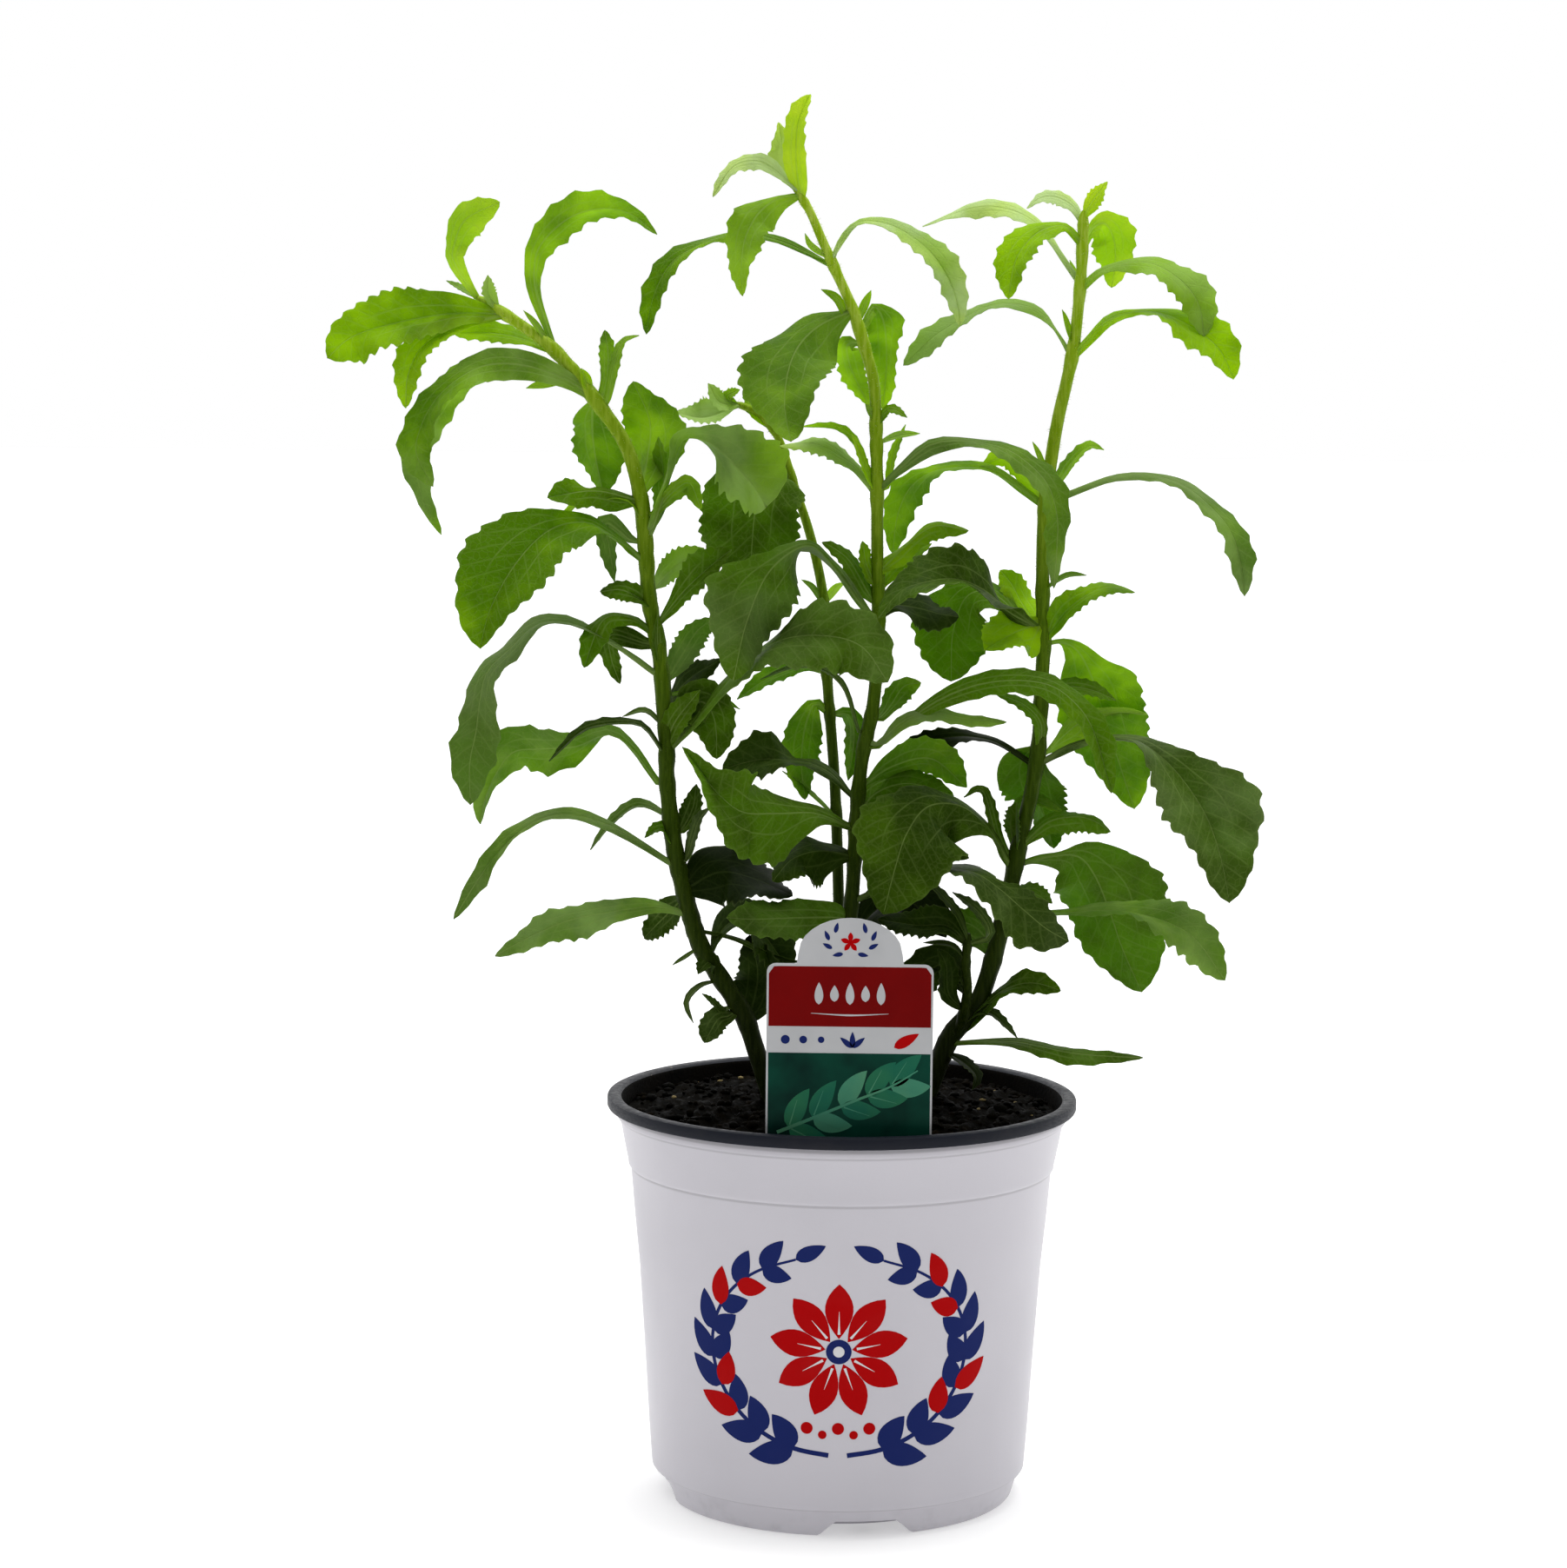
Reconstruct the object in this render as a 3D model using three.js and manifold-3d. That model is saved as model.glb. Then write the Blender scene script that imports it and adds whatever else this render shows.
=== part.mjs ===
// A stevia plant in a nursery pot: white pot with a grey lip, soil, a plant label and four leafy stems.
// Millimetres, +Z up, origin in the middle of the pot's floor where it stands. The front is -Y.

import * as THREE from 'three';
import { mergeVertices } from 'three/addons/utils/BufferGeometryUtils.js';
import Module from 'manifold-3d';

const wasm = await Module();
wasm.setup();

// Driving dimensions, in mm
const potHeight = 142;
const potWall = 1.2;
const potSides = 36;
const lipRadius = 82.5;
const lipDrop = 5;
const lipEdge = 0.8;
const footAngle = 9.5; // degrees from the front to the first drain pocket
const footCount = 4;
const footHeight = 5;
const footWidths = [32, 21.5]; // at the ground and at the pocket's ceiling
const footDepth = 16;
const drainRadius = 4;
const fit = 0.35; // gap between pieces that touch
const soilEdge = 129.5;
const soilCrown = 139;
const soilRough = 1.1;
const soilSides = 26;
const sideSag = 0.32; // keeps the soil's flat sides inside the rounder pot
const tagY = -67;
const tagX = 2.4;
const tagThick = 0.8;
const holeGap = 0.7; // between a stem and its hole in the soil
const holeDepthBelow = 1;

// The plant is set out on an upright sheet through the pot's middle, as [x, z].
// Depth slides a point towards or away from an eye in front of the pot, along the line of sight.
const eye = new THREE.Vector3(0, -1400, 400);
const sizes = [ // leaves by their full width, with the teeth and the bare sections before them
  { from: 22, teeth: 5, bare: [0, 0.14, 0.28] },
  { from: 11, teeth: 4, bare: [0, 0.22] },
  { from: 6, teeth: 2, bare: [0, 0.22] },
  { from: 0, teeth: 2, bare: [0] },
];
const slimWide = 11; // leaves narrower than this have four-sided sections
const smoothWide = 8; // and narrower than this have no teeth
const toothFrom = 0.42; // part of the leaf's length where its teeth begin
const toothCut = 0.16; // part of the half width between a tooth and the notch beside it
const swell = { broad: 1.5, slim: 1.05 }; // how slowly a leaf widens from its stalk
const close = 0.9; // how bluntly it closes at its tip
const places = [0, 0.1, 0.25, 0.4, 0.55, 0.7, 0.85]; // where half widths are given, from the stalk's
const bluntness = 0.6; // how roundly such a leaf closes beyond the last of them
const edgeOn = [80, 100]; // turns between which the far margin passes from the upper side to the lower
const foldAngle = 0.24; // how far both halves stand up from the midrib, in radians
const foldGain = 1.8; // how much fuller a fold looks where the half widths are given
const bladeThick = 0.75;
const stalkHalf = 1.1;
const stalkShare = 0.16; // of the full width, where that is less
const stalkTaper = 0.4;
const rootGap = 2.5; // a first point nearer than this to the stem's line lies on it
const stemSides = 6;
const holeDepths = [0.025, 0.05, 0.075, 0.1]; // parts of a stem's length, from its foot up

// Solids

function toSolid(geometry) {
  const bare = geometry.clone();
  bare.deleteAttribute('normal');
  bare.deleteAttribute('uv');
  const welded = mergeVertices(bare, 1e-4);
  const vertProperties = Float32Array.from(welded.attributes.position.array);
  const triVerts = Uint32Array.from(welded.index.array);
  return new wasm.Manifold(new wasm.Mesh({ numProp: 3, vertProperties, triVerts }));
}

function toGeometry(solid) {
  const mesh = solid.getMesh();
  const geometry = new THREE.BufferGeometry();
  geometry.setAttribute('position', new THREE.BufferAttribute(Float32Array.from(mesh.vertProperties), 3));
  geometry.setIndex(Array.from(mesh.triVerts));
  geometry.computeVertexNormals();
  return geometry;
}

// The one grown body: loose scraps and sealed hollows are left out.
function largestPiece(solid) {
  const pieces = solid.decompose();
  pieces.sort((a, b) => b.volume() - a.volume());
  return pieces[0];
}

function lathe(profile, sides) {
  const points = profile.map(([radius, height]) => new THREE.Vector2(radius, height));
  const geometry = new THREE.LatheGeometry(points, sides);
  geometry.rotateX(Math.PI / 2);
  return geometry;
}

function plate(shape, depth) {
  return new THREE.ExtrudeGeometry(shape, { depth, bevelEnabled: false, curveSegments: 4 });
}

// Pot

const outerWall = [
  [61.8, 1.5], [63.8, 9], [66, 10], [67.1, 25], [70.8, 82], [74.1, 117.2], [74.9, 117.6], [77.5, 132],
];
const beadRadius = 79;

function innerRadius(height) {
  const points = [[60.4, potWall], ...outerWall.slice(1).map(([radius, z]) => [radius - potWall, z])];
  const next = Math.max(1, points.findIndex(([, z]) => z >= height));
  const [r0, z0] = points[next - 1];
  const [r1, z1] = points[next];
  return r0 + ((r1 - r0) * (height - z0)) / (z1 - z0);
}

// The space under one drain pocket, grown by a margin on its sides and top
function footSpace(angle, margin) {
  const [low, high] = footWidths.map((width) => width / 2 + margin);
  const top = footHeight + margin;
  const shape = new THREE.Shape();
  shape.moveTo(-low - 0.4, -1);
  shape.lineTo(low + 0.4, -1);
  shape.lineTo(high, top);
  shape.lineTo(-high, top);
  const geometry = plate(shape, footDepth + margin + 10);
  geometry.rotateX(Math.PI / 2);
  geometry.translate(0, -(outerWall[0][0] - footDepth - margin), 0);
  geometry.rotateZ(THREE.MathUtils.degToRad(angle));
  return toSolid(geometry);
}

function footAngles() {
  return Array.from({ length: footCount }, (_, i) => footAngle + (i * 360) / footCount);
}

function makePot() {
  const lipLow = potHeight - lipDrop;
  const skin = [
    [0, 0], [60.3, 0], ...outerWall, [beadRadius, 132.6], [beadRadius, lipLow - 0.6],
    [lipRadius - lipEdge, lipLow], [lipRadius, lipLow + lipEdge],
    [lipRadius, potHeight - lipEdge], [lipRadius - lipEdge, potHeight],
  ];
  const hollow = [
    [78.2, potHeight], [77.2, potHeight - 1], [76.4, 132], [innerRadius(117), 117],
    [innerRadius(82), 82], [innerRadius(25), 25], [innerRadius(10), 10],
    [60.4, potWall], [0, potWall], [0, 0],
  ];
  const whole = toSolid(lathe([...skin, [0, potHeight], [0, 0]], potSides));
  let pot = toSolid(lathe([...skin, ...hollow], potSides));
  for (const angle of footAngles()) {
    const drain = new THREE.CylinderGeometry(drainRadius, drainRadius, 4 * footHeight, 12);
    drain.rotateX(Math.PI / 2);
    drain.translate(0, footDepth / 2 - outerWall[0][0], footHeight);
    drain.rotateZ(THREE.MathUtils.degToRad(angle));
    pot = pot.add(footSpace(angle, potWall).intersect(whole));
    pot = pot.subtract(footSpace(angle, 0)).subtract(toSolid(drain));
  }
  return pot;
}

// Stems and leaves

function setOut([x, z], depth) {
  const reach = (depth - eye.y) / -eye.y;
  return new THREE.Vector3(x * reach, depth, eye.z + (z - eye.z) * reach);
}

// A value part way along a list of evenly spaced ones
function along(values, part) {
  const place = Math.min(Math.max(part, 0), 1) * (values.length - 1);
  const low = Math.min(Math.floor(place), values.length - 2);
  return values.length < 2 ? values[0] : values[low] + (values[low + 1] - values[low]) * (place - low);
}

// How far along the line each point is, from 0 to 1
function parts(line) {
  const sums = [0];
  for (let i = 1; i < line.length; i += 1) {
    sums.push(sums[i - 1] + Math.hypot(line[i][0] - line[i - 1][0], line[i][1] - line[i - 1][1]));
  }
  return sums.map((sum) => sum / sums[sums.length - 1]);
}

// radii from the foot up, depths from the foot up, and the points of the centre line
function stalk(radii, depths, line) {
  const points = parts(line).map((part, i) => setOut(line[i], along(depths, part)));
  return { radii, depths, line, curve: new THREE.CatmullRomCurve3(points, false, 'catmullrom', 0.5) };
}

// full width, turn of the upper face from the eye in degrees, depth beyond the root, midrib from root
// to tip, and the half widths that the eye sees on the upper and on the lower side of the midrib
function leaf(wide, turn, out, line, up, down) {
  return { wide, turn, out, line, up, down };
}

function ringTube(curve, radii, steps, sides, grow) {
  const positions = [];
  for (let i = 0; i <= steps; i += 1) {
    const centre = curve.getPointAt(i / steps);
    const tangent = curve.getTangentAt(i / steps);
    const across = new THREE.Vector3(0, 1, 0).cross(tangent).normalize();
    const over = new THREE.Vector3().crossVectors(tangent, across);
    const radius = along(radii, i / steps) + grow;
    for (let k = 0; k < sides; k += 1) {
      const angle = (k / sides) * 2 * Math.PI;
      const spot = centre.clone().addScaledVector(across, radius * Math.cos(angle));
      spot.addScaledVector(over, radius * Math.sin(angle));
      positions.push(spot.x, spot.y, spot.z);
    }
  }
  return skinRows(positions, sides, sides);
}

// A solid from a row of closed sections, with a fan at both ends.
// Squares up to `turned` are split along one diagonal and the rest along the other.
function skinRows(positions, sides, turned) {
  const index = [];
  const sections = positions.length / (3 * sides);
  for (let i = 0; i + 1 < sections; i += 1) {
    for (let k = 0; k < sides; k += 1) {
      const a = i * sides + k;
      const b = i * sides + ((k + 1) % sides);
      const split = k < turned ? [a, b, b + sides, a, b + sides] : [a, b, a + sides, b, b + sides];
      index.push(...split, a + sides);
    }
  }
  const last = (sections - 1) * sides;
  for (let k = 1; k + 1 < sides; k += 1) {
    index.push(0, k + 1, k, last, last + k, last + k + 1);
  }
  const vertProperties = Float32Array.from(positions);
  const triVerts = Uint32Array.from(index);
  return new wasm.Manifold(new wasm.Mesh({ numProp: 3, vertProperties, triVerts }));
}

// Where a leaf's first point lies along the stem it grows from
function rootOn(stem, [x, z]) {
  const shares = parts(stem.line);
  let best = { gap: Infinity };
  for (let i = 0; i + 1 < stem.line.length; i += 1) {
    const [ax, az] = stem.line[i];
    const [bx, bz] = stem.line[i + 1];
    const run = (bx - ax) ** 2 + (bz - az) ** 2;
    const share = Math.min(Math.max(((x - ax) * (bx - ax) + (z - az) * (bz - az)) / run, 0), 1);
    const spot = [ax + (bx - ax) * share, az + (bz - az) * share];
    const gap = Math.hypot(spot[0] - x, spot[1] - z);
    if (gap < best.gap) {
      best = { gap, spot, part: shares[i] + (shares[i + 1] - shares[i]) * share };
    }
  }
  return { spot: best.spot, gap: best.gap, depth: along(stem.depths, best.part) };
}

function midrib(entry, stem) {
  const root = rootOn(stem, entry.line[0]);
  const line = root.gap < rootGap ? [root.spot, ...entry.line.slice(1)] : [root.spot, ...entry.line];
  const reach = [0, ...entry.out];
  const points = parts(line).map((part, i) => setOut(line[i], root.depth + along(reach, part)));
  return new THREE.CatmullRomCurve3(points, false, 'catmullrom', 0.5);
}

// Half of a leaf's width without teeth
function halfWidth(wide, part) {
  const rise = wide < slimWide ? swell.slim : swell.broad;
  const widest = rise / (rise + close);
  return (wide / 2) * (part / widest) ** rise * ((1 - part) / (1 - widest)) ** close;
}

// The half width that the eye sees on one side
function inSight(list, least, part) {
  const last = places.length - 1;
  if (part >= places[last]) {
    return list[last - 1] * ((1 - part) / (1 - places[last])) ** bluntness;
  }
  const values = [least, ...list];
  const next = places.findIndex((place) => place > part);
  const share = (part - places[next - 1]) / (places[next] - places[next - 1]);
  return values[next - 1] + (values[next] - values[next - 1]) * share;
}

// How far the far and the near margin stand upward and towards the eye
function margins(entry, part, least) {
  const degrees = along(entry.turn, part);
  const turn = THREE.MathUtils.degToRad(degrees);
  const half = Math.max(halfWidth(entry.wide, part), least * (1 - stalkTaper * part));
  if (!entry.up) {
    return {
      far: [half * Math.cos(turn - foldAngle), -half * Math.sin(turn - foldAngle)],
      near: [-half * Math.cos(turn + foldAngle), half * Math.sin(turn + foldAngle)],
    };
  }
  const up = inSight(entry.up, least, part);
  const down = inSight(entry.down, least, part);
  const whole = Math.max(half, up, down);
  const swap = THREE.MathUtils.smoothstep(degrees, ...edgeOn);
  const farUp = up * (1 - swap) - down * swap;
  const nearUp = up * swap - down * (1 - swap);
  const lean = (angle) => THREE.MathUtils.clamp(foldGain * Math.sin(angle), -1, 1);
  return {
    far: [farUp, -lean(turn - foldAngle) * Math.sqrt(whole ** 2 - farUp ** 2)],
    near: [nearUp, lean(turn + foldAngle) * Math.sqrt(whole ** 2 - nearUp ** 2)],
  };
}

// Where the sections of a blade lie: bare ones up to its teeth, then a tooth or a notch at each
function stations(wide) {
  const { teeth, bare } = sizes.find(({ from }) => wide >= from);
  const list = bare.map((part) => ({ part, left: 1, right: 1 }));
  for (let i = 0; i < teeth; i += 1) {
    const part = toothFrom + ((1 - toothFrom) * i) / teeth;
    const cut = wide < smoothWide ? 0 : toothCut;
    list.push({ part, left: i % 2 ? 1 - cut : 1, right: i % 2 ? 1 : 1 - cut });
  }
  list.push({ part: 1, left: 1, right: 1 });
  return list;
}

function blade(entry, stem) {
  const curve = midrib(entry, stem);
  const tip = entry.line[entry.line.length - 1];
  const hand = tip[0] >= entry.line[0][0] ? 1 : -1;
  const plain = entry.wide < slimWide;
  const least = Math.min(stalkHalf, entry.wide * stalkShare);
  const thick = plain ? bladeThick * 0.75 : bladeThick / 2;
  const positions = [];
  for (const { part, left, right } of stations(entry.wide)) {
    const centre = curve.getPointAt(part);
    const ahead = curve.getTangentAt(part);
    const view = eye.clone().sub(centre).normalize();
    const facing = view.clone().addScaledVector(ahead, -view.dot(ahead)).normalize();
    const upward = new THREE.Vector3().crossVectors(view, ahead).normalize().multiplyScalar(hand);
    const { far, near } = margins(entry, part, least);
    const reach = ([rise, out]) => facing.clone().multiplyScalar(out).addScaledVector(upward, rise);
    const rightReach = reach(hand > 0 ? far : near);
    const leftReach = reach(hand > 0 ? near : far);
    const rightNormal = new THREE.Vector3().crossVectors(ahead, rightReach).normalize();
    const leftNormal = new THREE.Vector3().crossVectors(leftReach, ahead).normalize();
    const normal = rightNormal.clone().add(leftNormal).normalize();
    const at = (side, share, out, lift) =>
      centre.clone().addScaledVector(side, share).addScaledVector(out, lift).toArray();
    if (plain) {
      positions.push(...at(leftReach, left, leftNormal, 0), ...at(leftReach, 0, normal, -thick));
      positions.push(...at(rightReach, right, rightNormal, 0), ...at(rightReach, 0, normal, thick));
    } else {
      positions.push(...at(leftReach, left, leftNormal, -thick), ...at(leftReach, 0, normal, -thick));
      positions.push(...at(rightReach, right, rightNormal, -thick));
      positions.push(...at(rightReach, right, rightNormal, thick));
      positions.push(...at(rightReach, 0, normal, thick), ...at(leftReach, left, leftNormal, thick));
    }
  }
  // the lower face is turned, so that both faces are split alike
  return plain ? skinRows(positions, 4, 2) : skinRows(positions, 6, 3);
}

function leafyStem(stem, leaves, steps) {
  let body = ringTube(stem.curve, stem.radii, steps, stemSides, 0);
  for (const entry of leaves) {
    body = body.add(blade(entry, stem));
  }
  return body;
}

// Left stem

const leftStem = stalk([3.3, 3.1, 2.8, 2.6, 2.5, 2.4, 2.2, 1.6], [-4, -6, -8, -10, -12], [
  [-19, 122], [-24, 138], [-30, 156], [-35, 170], [-44, 184], [-50.4, 194.4], [-55.7, 212], [-59.7, 229.4],
  [-62.3, 252], [-62.5, 265], [-63.8, 283], [-65.6, 299], [-69, 315.5], [-70, 329.5], [-71.8, 348.7],
  [-77, 368], [-87, 383], [-100.8, 400], [-113.8, 410], [-129.5, 419.5],
]);

const leftLeaves = [
  leaf(26, [60, 20, 10], [-12, -24], [[-120.4, 413], [-140, 413.3], [-160, 409.5], [-173, 405],
    [-181, 398]], [3.5, 7, 9.4, 11.6, 10.2, 7.6], [3, 4, 6.3, 6.5, 7.5, 9.4]),
  leaf(10, [40, 60], [-6, -10], [[-129, 419.5], [-136.8, 431], [-137, 437], [-133, 446],
    [-121.3, 452]], [1.3, 2, 2.4, 4, 5, 4.5], [1.5, 2.5, 4, 5.7, 7.3, 4.8]),
  leaf(5, [60], [5], [[-127, 417], [-139.7, 425]]),
  leaf(6, [30], [-5], [[-121.4, 415], [-125.3, 421], [-125.4, 427]]),
  leaf(13, [150, 145, 120], [9, 6], [[-101.5, 401.5], [-108.5, 420], [-109.5, 430], [-107, 438],
    [-98, 446.5], [-88, 450], [-77, 449], [-67, 441.5]], [1.2, 2.7, 3.6, 6.5, 7, 3],
    [1.2, 1.6, 4, 6, 4.4, 2]),
  leaf(11, [60, 30], [-14, -30], [[-120, 412], [-137, 409], [-148, 402], [-153, 392], [-153.8, 381]],
    [1, 2, 4, 6, 6.5, 3.9], [1, 1.5, 2.5, 3.2, 3.8, 3.6]),
  leaf(10, [60], [9, 14], [[-101.5, 400], [-113, 405], [-124, 407], [-137, 407]],
    [1, 1.5, 2.5, 3.5, 4.5, 4], [1, 1.5, 2.5, 3, 2.8, 2.5]),
  leaf(3, [40], [-4], [[-103, 403], [-108, 409], [-113, 415]]),
  leaf(15, [70, 45, 25], [-12, -24], [[-87.1, 384.5], [-95, 389.6], [-105.4, 394.2], [-116.9, 396.7],
    [-127.4, 395.6], [-136.8, 390.3], [-144.1, 382.9], [-148.8, 373.5], [-150, 365.2], [-144.3, 354]],
    [2.5, 4.8, 5.3, 4.5, 5.5, 6.5], [2.5, 4.3, 6, 4, 3.5, 5.5]),
  leaf(14, [150, 145], [18, 30], [[-90, 386], [-97.1, 391.5], [-115.9, 393.6], [-130.5, 391.4],
    [-139.9, 385.1], [-147.2, 373.5], [-150.4, 362], [-147.7, 348.5], [-141.4, 337.3]],
    [2, 6, 7, 5.6, 6.5, 2.1], [2, 2.5, 2.5, 5.9, 5.2, 4.2]),
  leaf(4.5, [40], [-4], [[-100, 391], [-112, 388.3]]),
  leaf(4.5, [30], [-4], [[-89.5, 386], [-93, 395.3]]),
  leaf(8, [130], [7], [[-85, 384], [-84.3, 392], [-83.8, 400], [-84.8, 408.5]],
    [1.2, 1.6, 2.2, 2.8, 3, 2.4], [1.2, 1.6, 2.2, 2.8, 3, 2.4]),
  leaf(6, [60], [-6], [[-84, 384], [-82, 394], [-80, 402], [-77.5, 405.5], [-73, 406.8]],
    [1, 1.3, 1.6, 1.8, 1.6, 0.8], [1, 1.3, 1.6, 1.8, 1.6, 0.8]),
  leaf(20, [170], [14, 18], [[-88, 385], [-89, 376], [-88, 366], [-85, 352]],
    [3.5, 7, 9.5, 11, 10.5, 7], [2.8, 6.2, 6.6, 7.3, 5.9, 3.4]),
  leaf(21, [165], [16, 22], [[-72.5, 351], [-70, 363], [-69, 377], [-75, 391]],
    [3, 7, 11, 13, 10, 4.5], [1.5, 3, 5.4, 9.2, 9.6, 7.9]),
  leaf(32, [115, 140, 160, 165], [-8, -22, -40], [[-69.5, 334], [-66.5, 346], [-63, 356], [-60, 366],
    [-57, 371.5], [-50, 371], [-44, 367], [-38, 361], [-32, 354], [-28.5, 348]],
    [1.3, 1.3, 1.5, 3, 12, 17], [1.3, 1.3, 1.5, 5, 10.5, 7.5]),
  leaf(6, [120], [-6, -10], [[-68, 345], [-61, 353], [-55, 356], [-51, 347]],
    [0.8, 1.5, 2, 2.5, 2.5, 2], [1, 2, 3, 4, 4, 3]),
  leaf(9.5, [60, 40], [-10, -18], [[-74, 349], [-88, 353], [-104.5, 350.5]],
    [1, 1.4, 1.2, 1.3, 4.8, 5.3], [3, 6, 6.2, 5.5, 5.7, 3.5]),
  leaf(8, [80, 60], [-4, -8], [[-69.5, 341], [-76, 349.5], [-86, 350.5], [-94, 348.5], [-101, 342]]),
  leaf(8, [150], [10], [[-75, 336], [-84, 342], [-83, 333], [-81, 321.5]]),
  leaf(31, [55, 25, 10, 8], [-14, -30, -38], [[-72, 328], [-83, 338], [-92, 342], [-104, 339],
    [-115, 328], [-124, 312], [-127.8, 297.7]], [1.2, 2.6, 5.6, 14, 18.2, 12.6],
    [1.2, 1, 8.7, 10.3, 12.3, 6.2]),
  leaf(8, [60], [-9], [[-70, 313], [-78, 318.5], [-86, 318]], [3, 4, 4.3, 3.5, 2.8, 1.6],
    [0.7, 1.2, 2.3, 3.6, 3.5, 2.8]),
  leaf(11, [150], [14, 20], [[-67, 318], [-60, 327], [-50, 333.5]]),
  leaf(13, [60, 40], [-10, -14], [[-68, 305], [-58, 317], [-49, 326], [-40.5, 333]],
    [1, 2, 4, 6, 8, 6], [1, 2, 3, 3.5, 3.5, 3]),
  leaf(8, [70, 50], [-8, -12], [[-68, 302], [-75, 309], [-85, 308], [-91.5, 291.5]],
    [1, 1, 0.8, 1.5, 4.6, 4], [1, 2, 4, 4.5, 5, 3.2]),
  leaf(8.5, [60], [7], [[-70, 300], [-82, 303], [-82, 295], [-79, 286]], [2, 3.5, 4, 4, 3.5, 2.5],
    [2, 3, 3.5, 3.5, 3, 2.5]),
  leaf(20, [95, 80, 45, 10], [-10, -20, -26], [[-65, 288], [-80, 299], [-95, 306.5], [-107.7, 306.3],
    [-117, 298], [-125.2, 289.6], [-127.8, 279.3], [-129.1, 268.9], [-131.4, 257.4], [-131.2, 242.9]],
    [2, 2.4, 2.3, 3.2, 5.4, 8], [0.7, 0.8, 0.7, 4, 5.6, 9.5]),
  leaf(5, [30], [-6], [[-64, 290], [-66, 300], [-66, 310]]),
  leaf(12, [150], [8, 5], [[-62, 285], [-57, 297], [-52, 305], [-46, 309]], [1, 3, 4.5, 5, 4.5, 3],
    [1, 3, 4.5, 5, 5, 4]),
  leaf(13, [120], [18, 24], [[-62, 278], [-55, 288], [-44, 295]], [1, 2, 3.5, 4.8, 4, 2],
    [1, 3, 5.5, 5.5, 5, 3.5]),
  leaf(32, [70, 40, 20, 15], [-12, -28, -36], [[-61, 262], [-50, 276], [-37.5, 291], [-24.5, 301],
    [-9.2, 303.5], [5, 300], [14.5, 287.5]], [1.2, 1.2, 1.5, 2, 12, 11], [1.2, 1.5, 3, 6.4, 10.2, 13]),
  leaf(17, [60], [-4, -8], [[-58, 272], [-51, 280], [-46, 274], [-45, 260]], [2, 5, 8, 8, 7, 5],
    [2, 5, 8, 9, 8, 5]),
  leaf(4, [40], [5], [[-52, 283], [-44, 281], [-37, 277.5]]),
  leaf(10, [20], [-8], [[-60, 262], [-60, 272], [-51, 284]]),
  leaf(8, [80, 60], [-12, -16], [[-61, 260.5], [-70.4, 270.5], [-77, 272], [-87, 271], [-93.6, 268],
    [-103.6, 258.5]]),
  leaf(4, [60], [6], [[-63, 270], [-70, 276.5], [-78, 274.5]]),
  leaf(19, [130, 150], [16, 26, 28], [[-65, 251], [-74, 263], [-83, 268.4], [-94.2, 264.1],
    [-105.5, 262.9], [-115.9, 261.8], [-122.1, 254.4], [-126.2, 245], [-127.7, 236.1]],
    [1.2, 2.5, 4.5, 6.9, 9, 6], [1.2, 1, 1, 9.2, 7.1, 2.4]),
  leaf(10, [70], [10, 14], [[-63, 239], [-72, 243], [-81, 237], [-89, 227.5]]),
  leaf(10, [70, 60, 45], [-12, -22, -28], [[-59, 221], [-80, 235], [-96, 239.6], [-106.5, 237.9],
    [-114.8, 232.6], [-122, 225.2], [-128.2, 216.8], [-137, 202.4]], [0.8, 1.3, 2.5, 2.7, 4, 3.2],
    [1.3, 1.8, 1.6, 1, 0.9, 3.5]),
  leaf(9, [30], [8], [[-57, 235], [-53, 243], [-52, 251]]),
  leaf(8, [60], [-5], [[-55, 225], [-51, 238], [-47, 243]]),
  leaf(8, [60], [-4], [[-61, 228], [-64, 235], [-70, 232]]),
  leaf(15, [70, 45, 30], [-12, -24], [[-53, 205], [-66, 207.5], [-82.7, 205.3], [-96, 202.5],
    [-106.4, 198.2], [-115.7, 193.4], [-122.4, 189.4]], [1, 3.7, 4.6, 4.4, 6.1, 3],
    [1.5, 2.7, 4, 7.5, 5.8, 4]),
  leaf(11, [60], [12, 16], [[-54, 212], [-60, 207], [-70, 196.5]], [2, 4, 5.5, 5.5, 5, 4],
    [2, 3.5, 5, 5, 4.5, 3]),
  leaf(9, [100], [12, 16], [[-51, 200], [-38, 196], [-25, 190], [-12, 188]]),
  leaf(8, [40], [-6], [[-44, 183], [-47, 188], [-51, 184]]),
  leaf(4.5, [60], [-5], [[-44, 181], [-50, 179.5], [-54.5, 174], [-52.5, 166.5]]),
  leaf(30, [50], [-8], [[-54, 214], [-44, 220], [-32, 218], [-18, 212]], [6, 10, 9, 7, 5, 3],
    [6, 12, 12, 10, 8, 4]),
  leaf(18, [50, 30], [10, 14], [[-36, 166], [-31, 176], [-30, 186], [-33, 198]], [4, 7, 8, 8, 7, 5],
    [4, 7, 8, 8, 7, 5]),
  leaf(9, [50], [-8], [[-40, 169], [-44, 167.5], [-48.5, 159.5]], [1, 3, 4.5, 5, 5, 4],
    [1, 2, 3, 4, 4, 3]),
  leaf(22, [60, 30], [12, 20], [[-47, 190], [-40, 202], [-30, 200], [-18, 184]]),
  leaf(13, [60], [6, 8], [[-70, 336], [-65, 346], [-64, 358], [-66, 372]]),
  leaf(3, [60], [-4], [[-50, 194], [-55, 190], [-60, 187]]),
  leaf(5, [60], [-4], [[-42, 171], [-46, 174], [-49.5, 177]]),
];

// Centre stem

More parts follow.
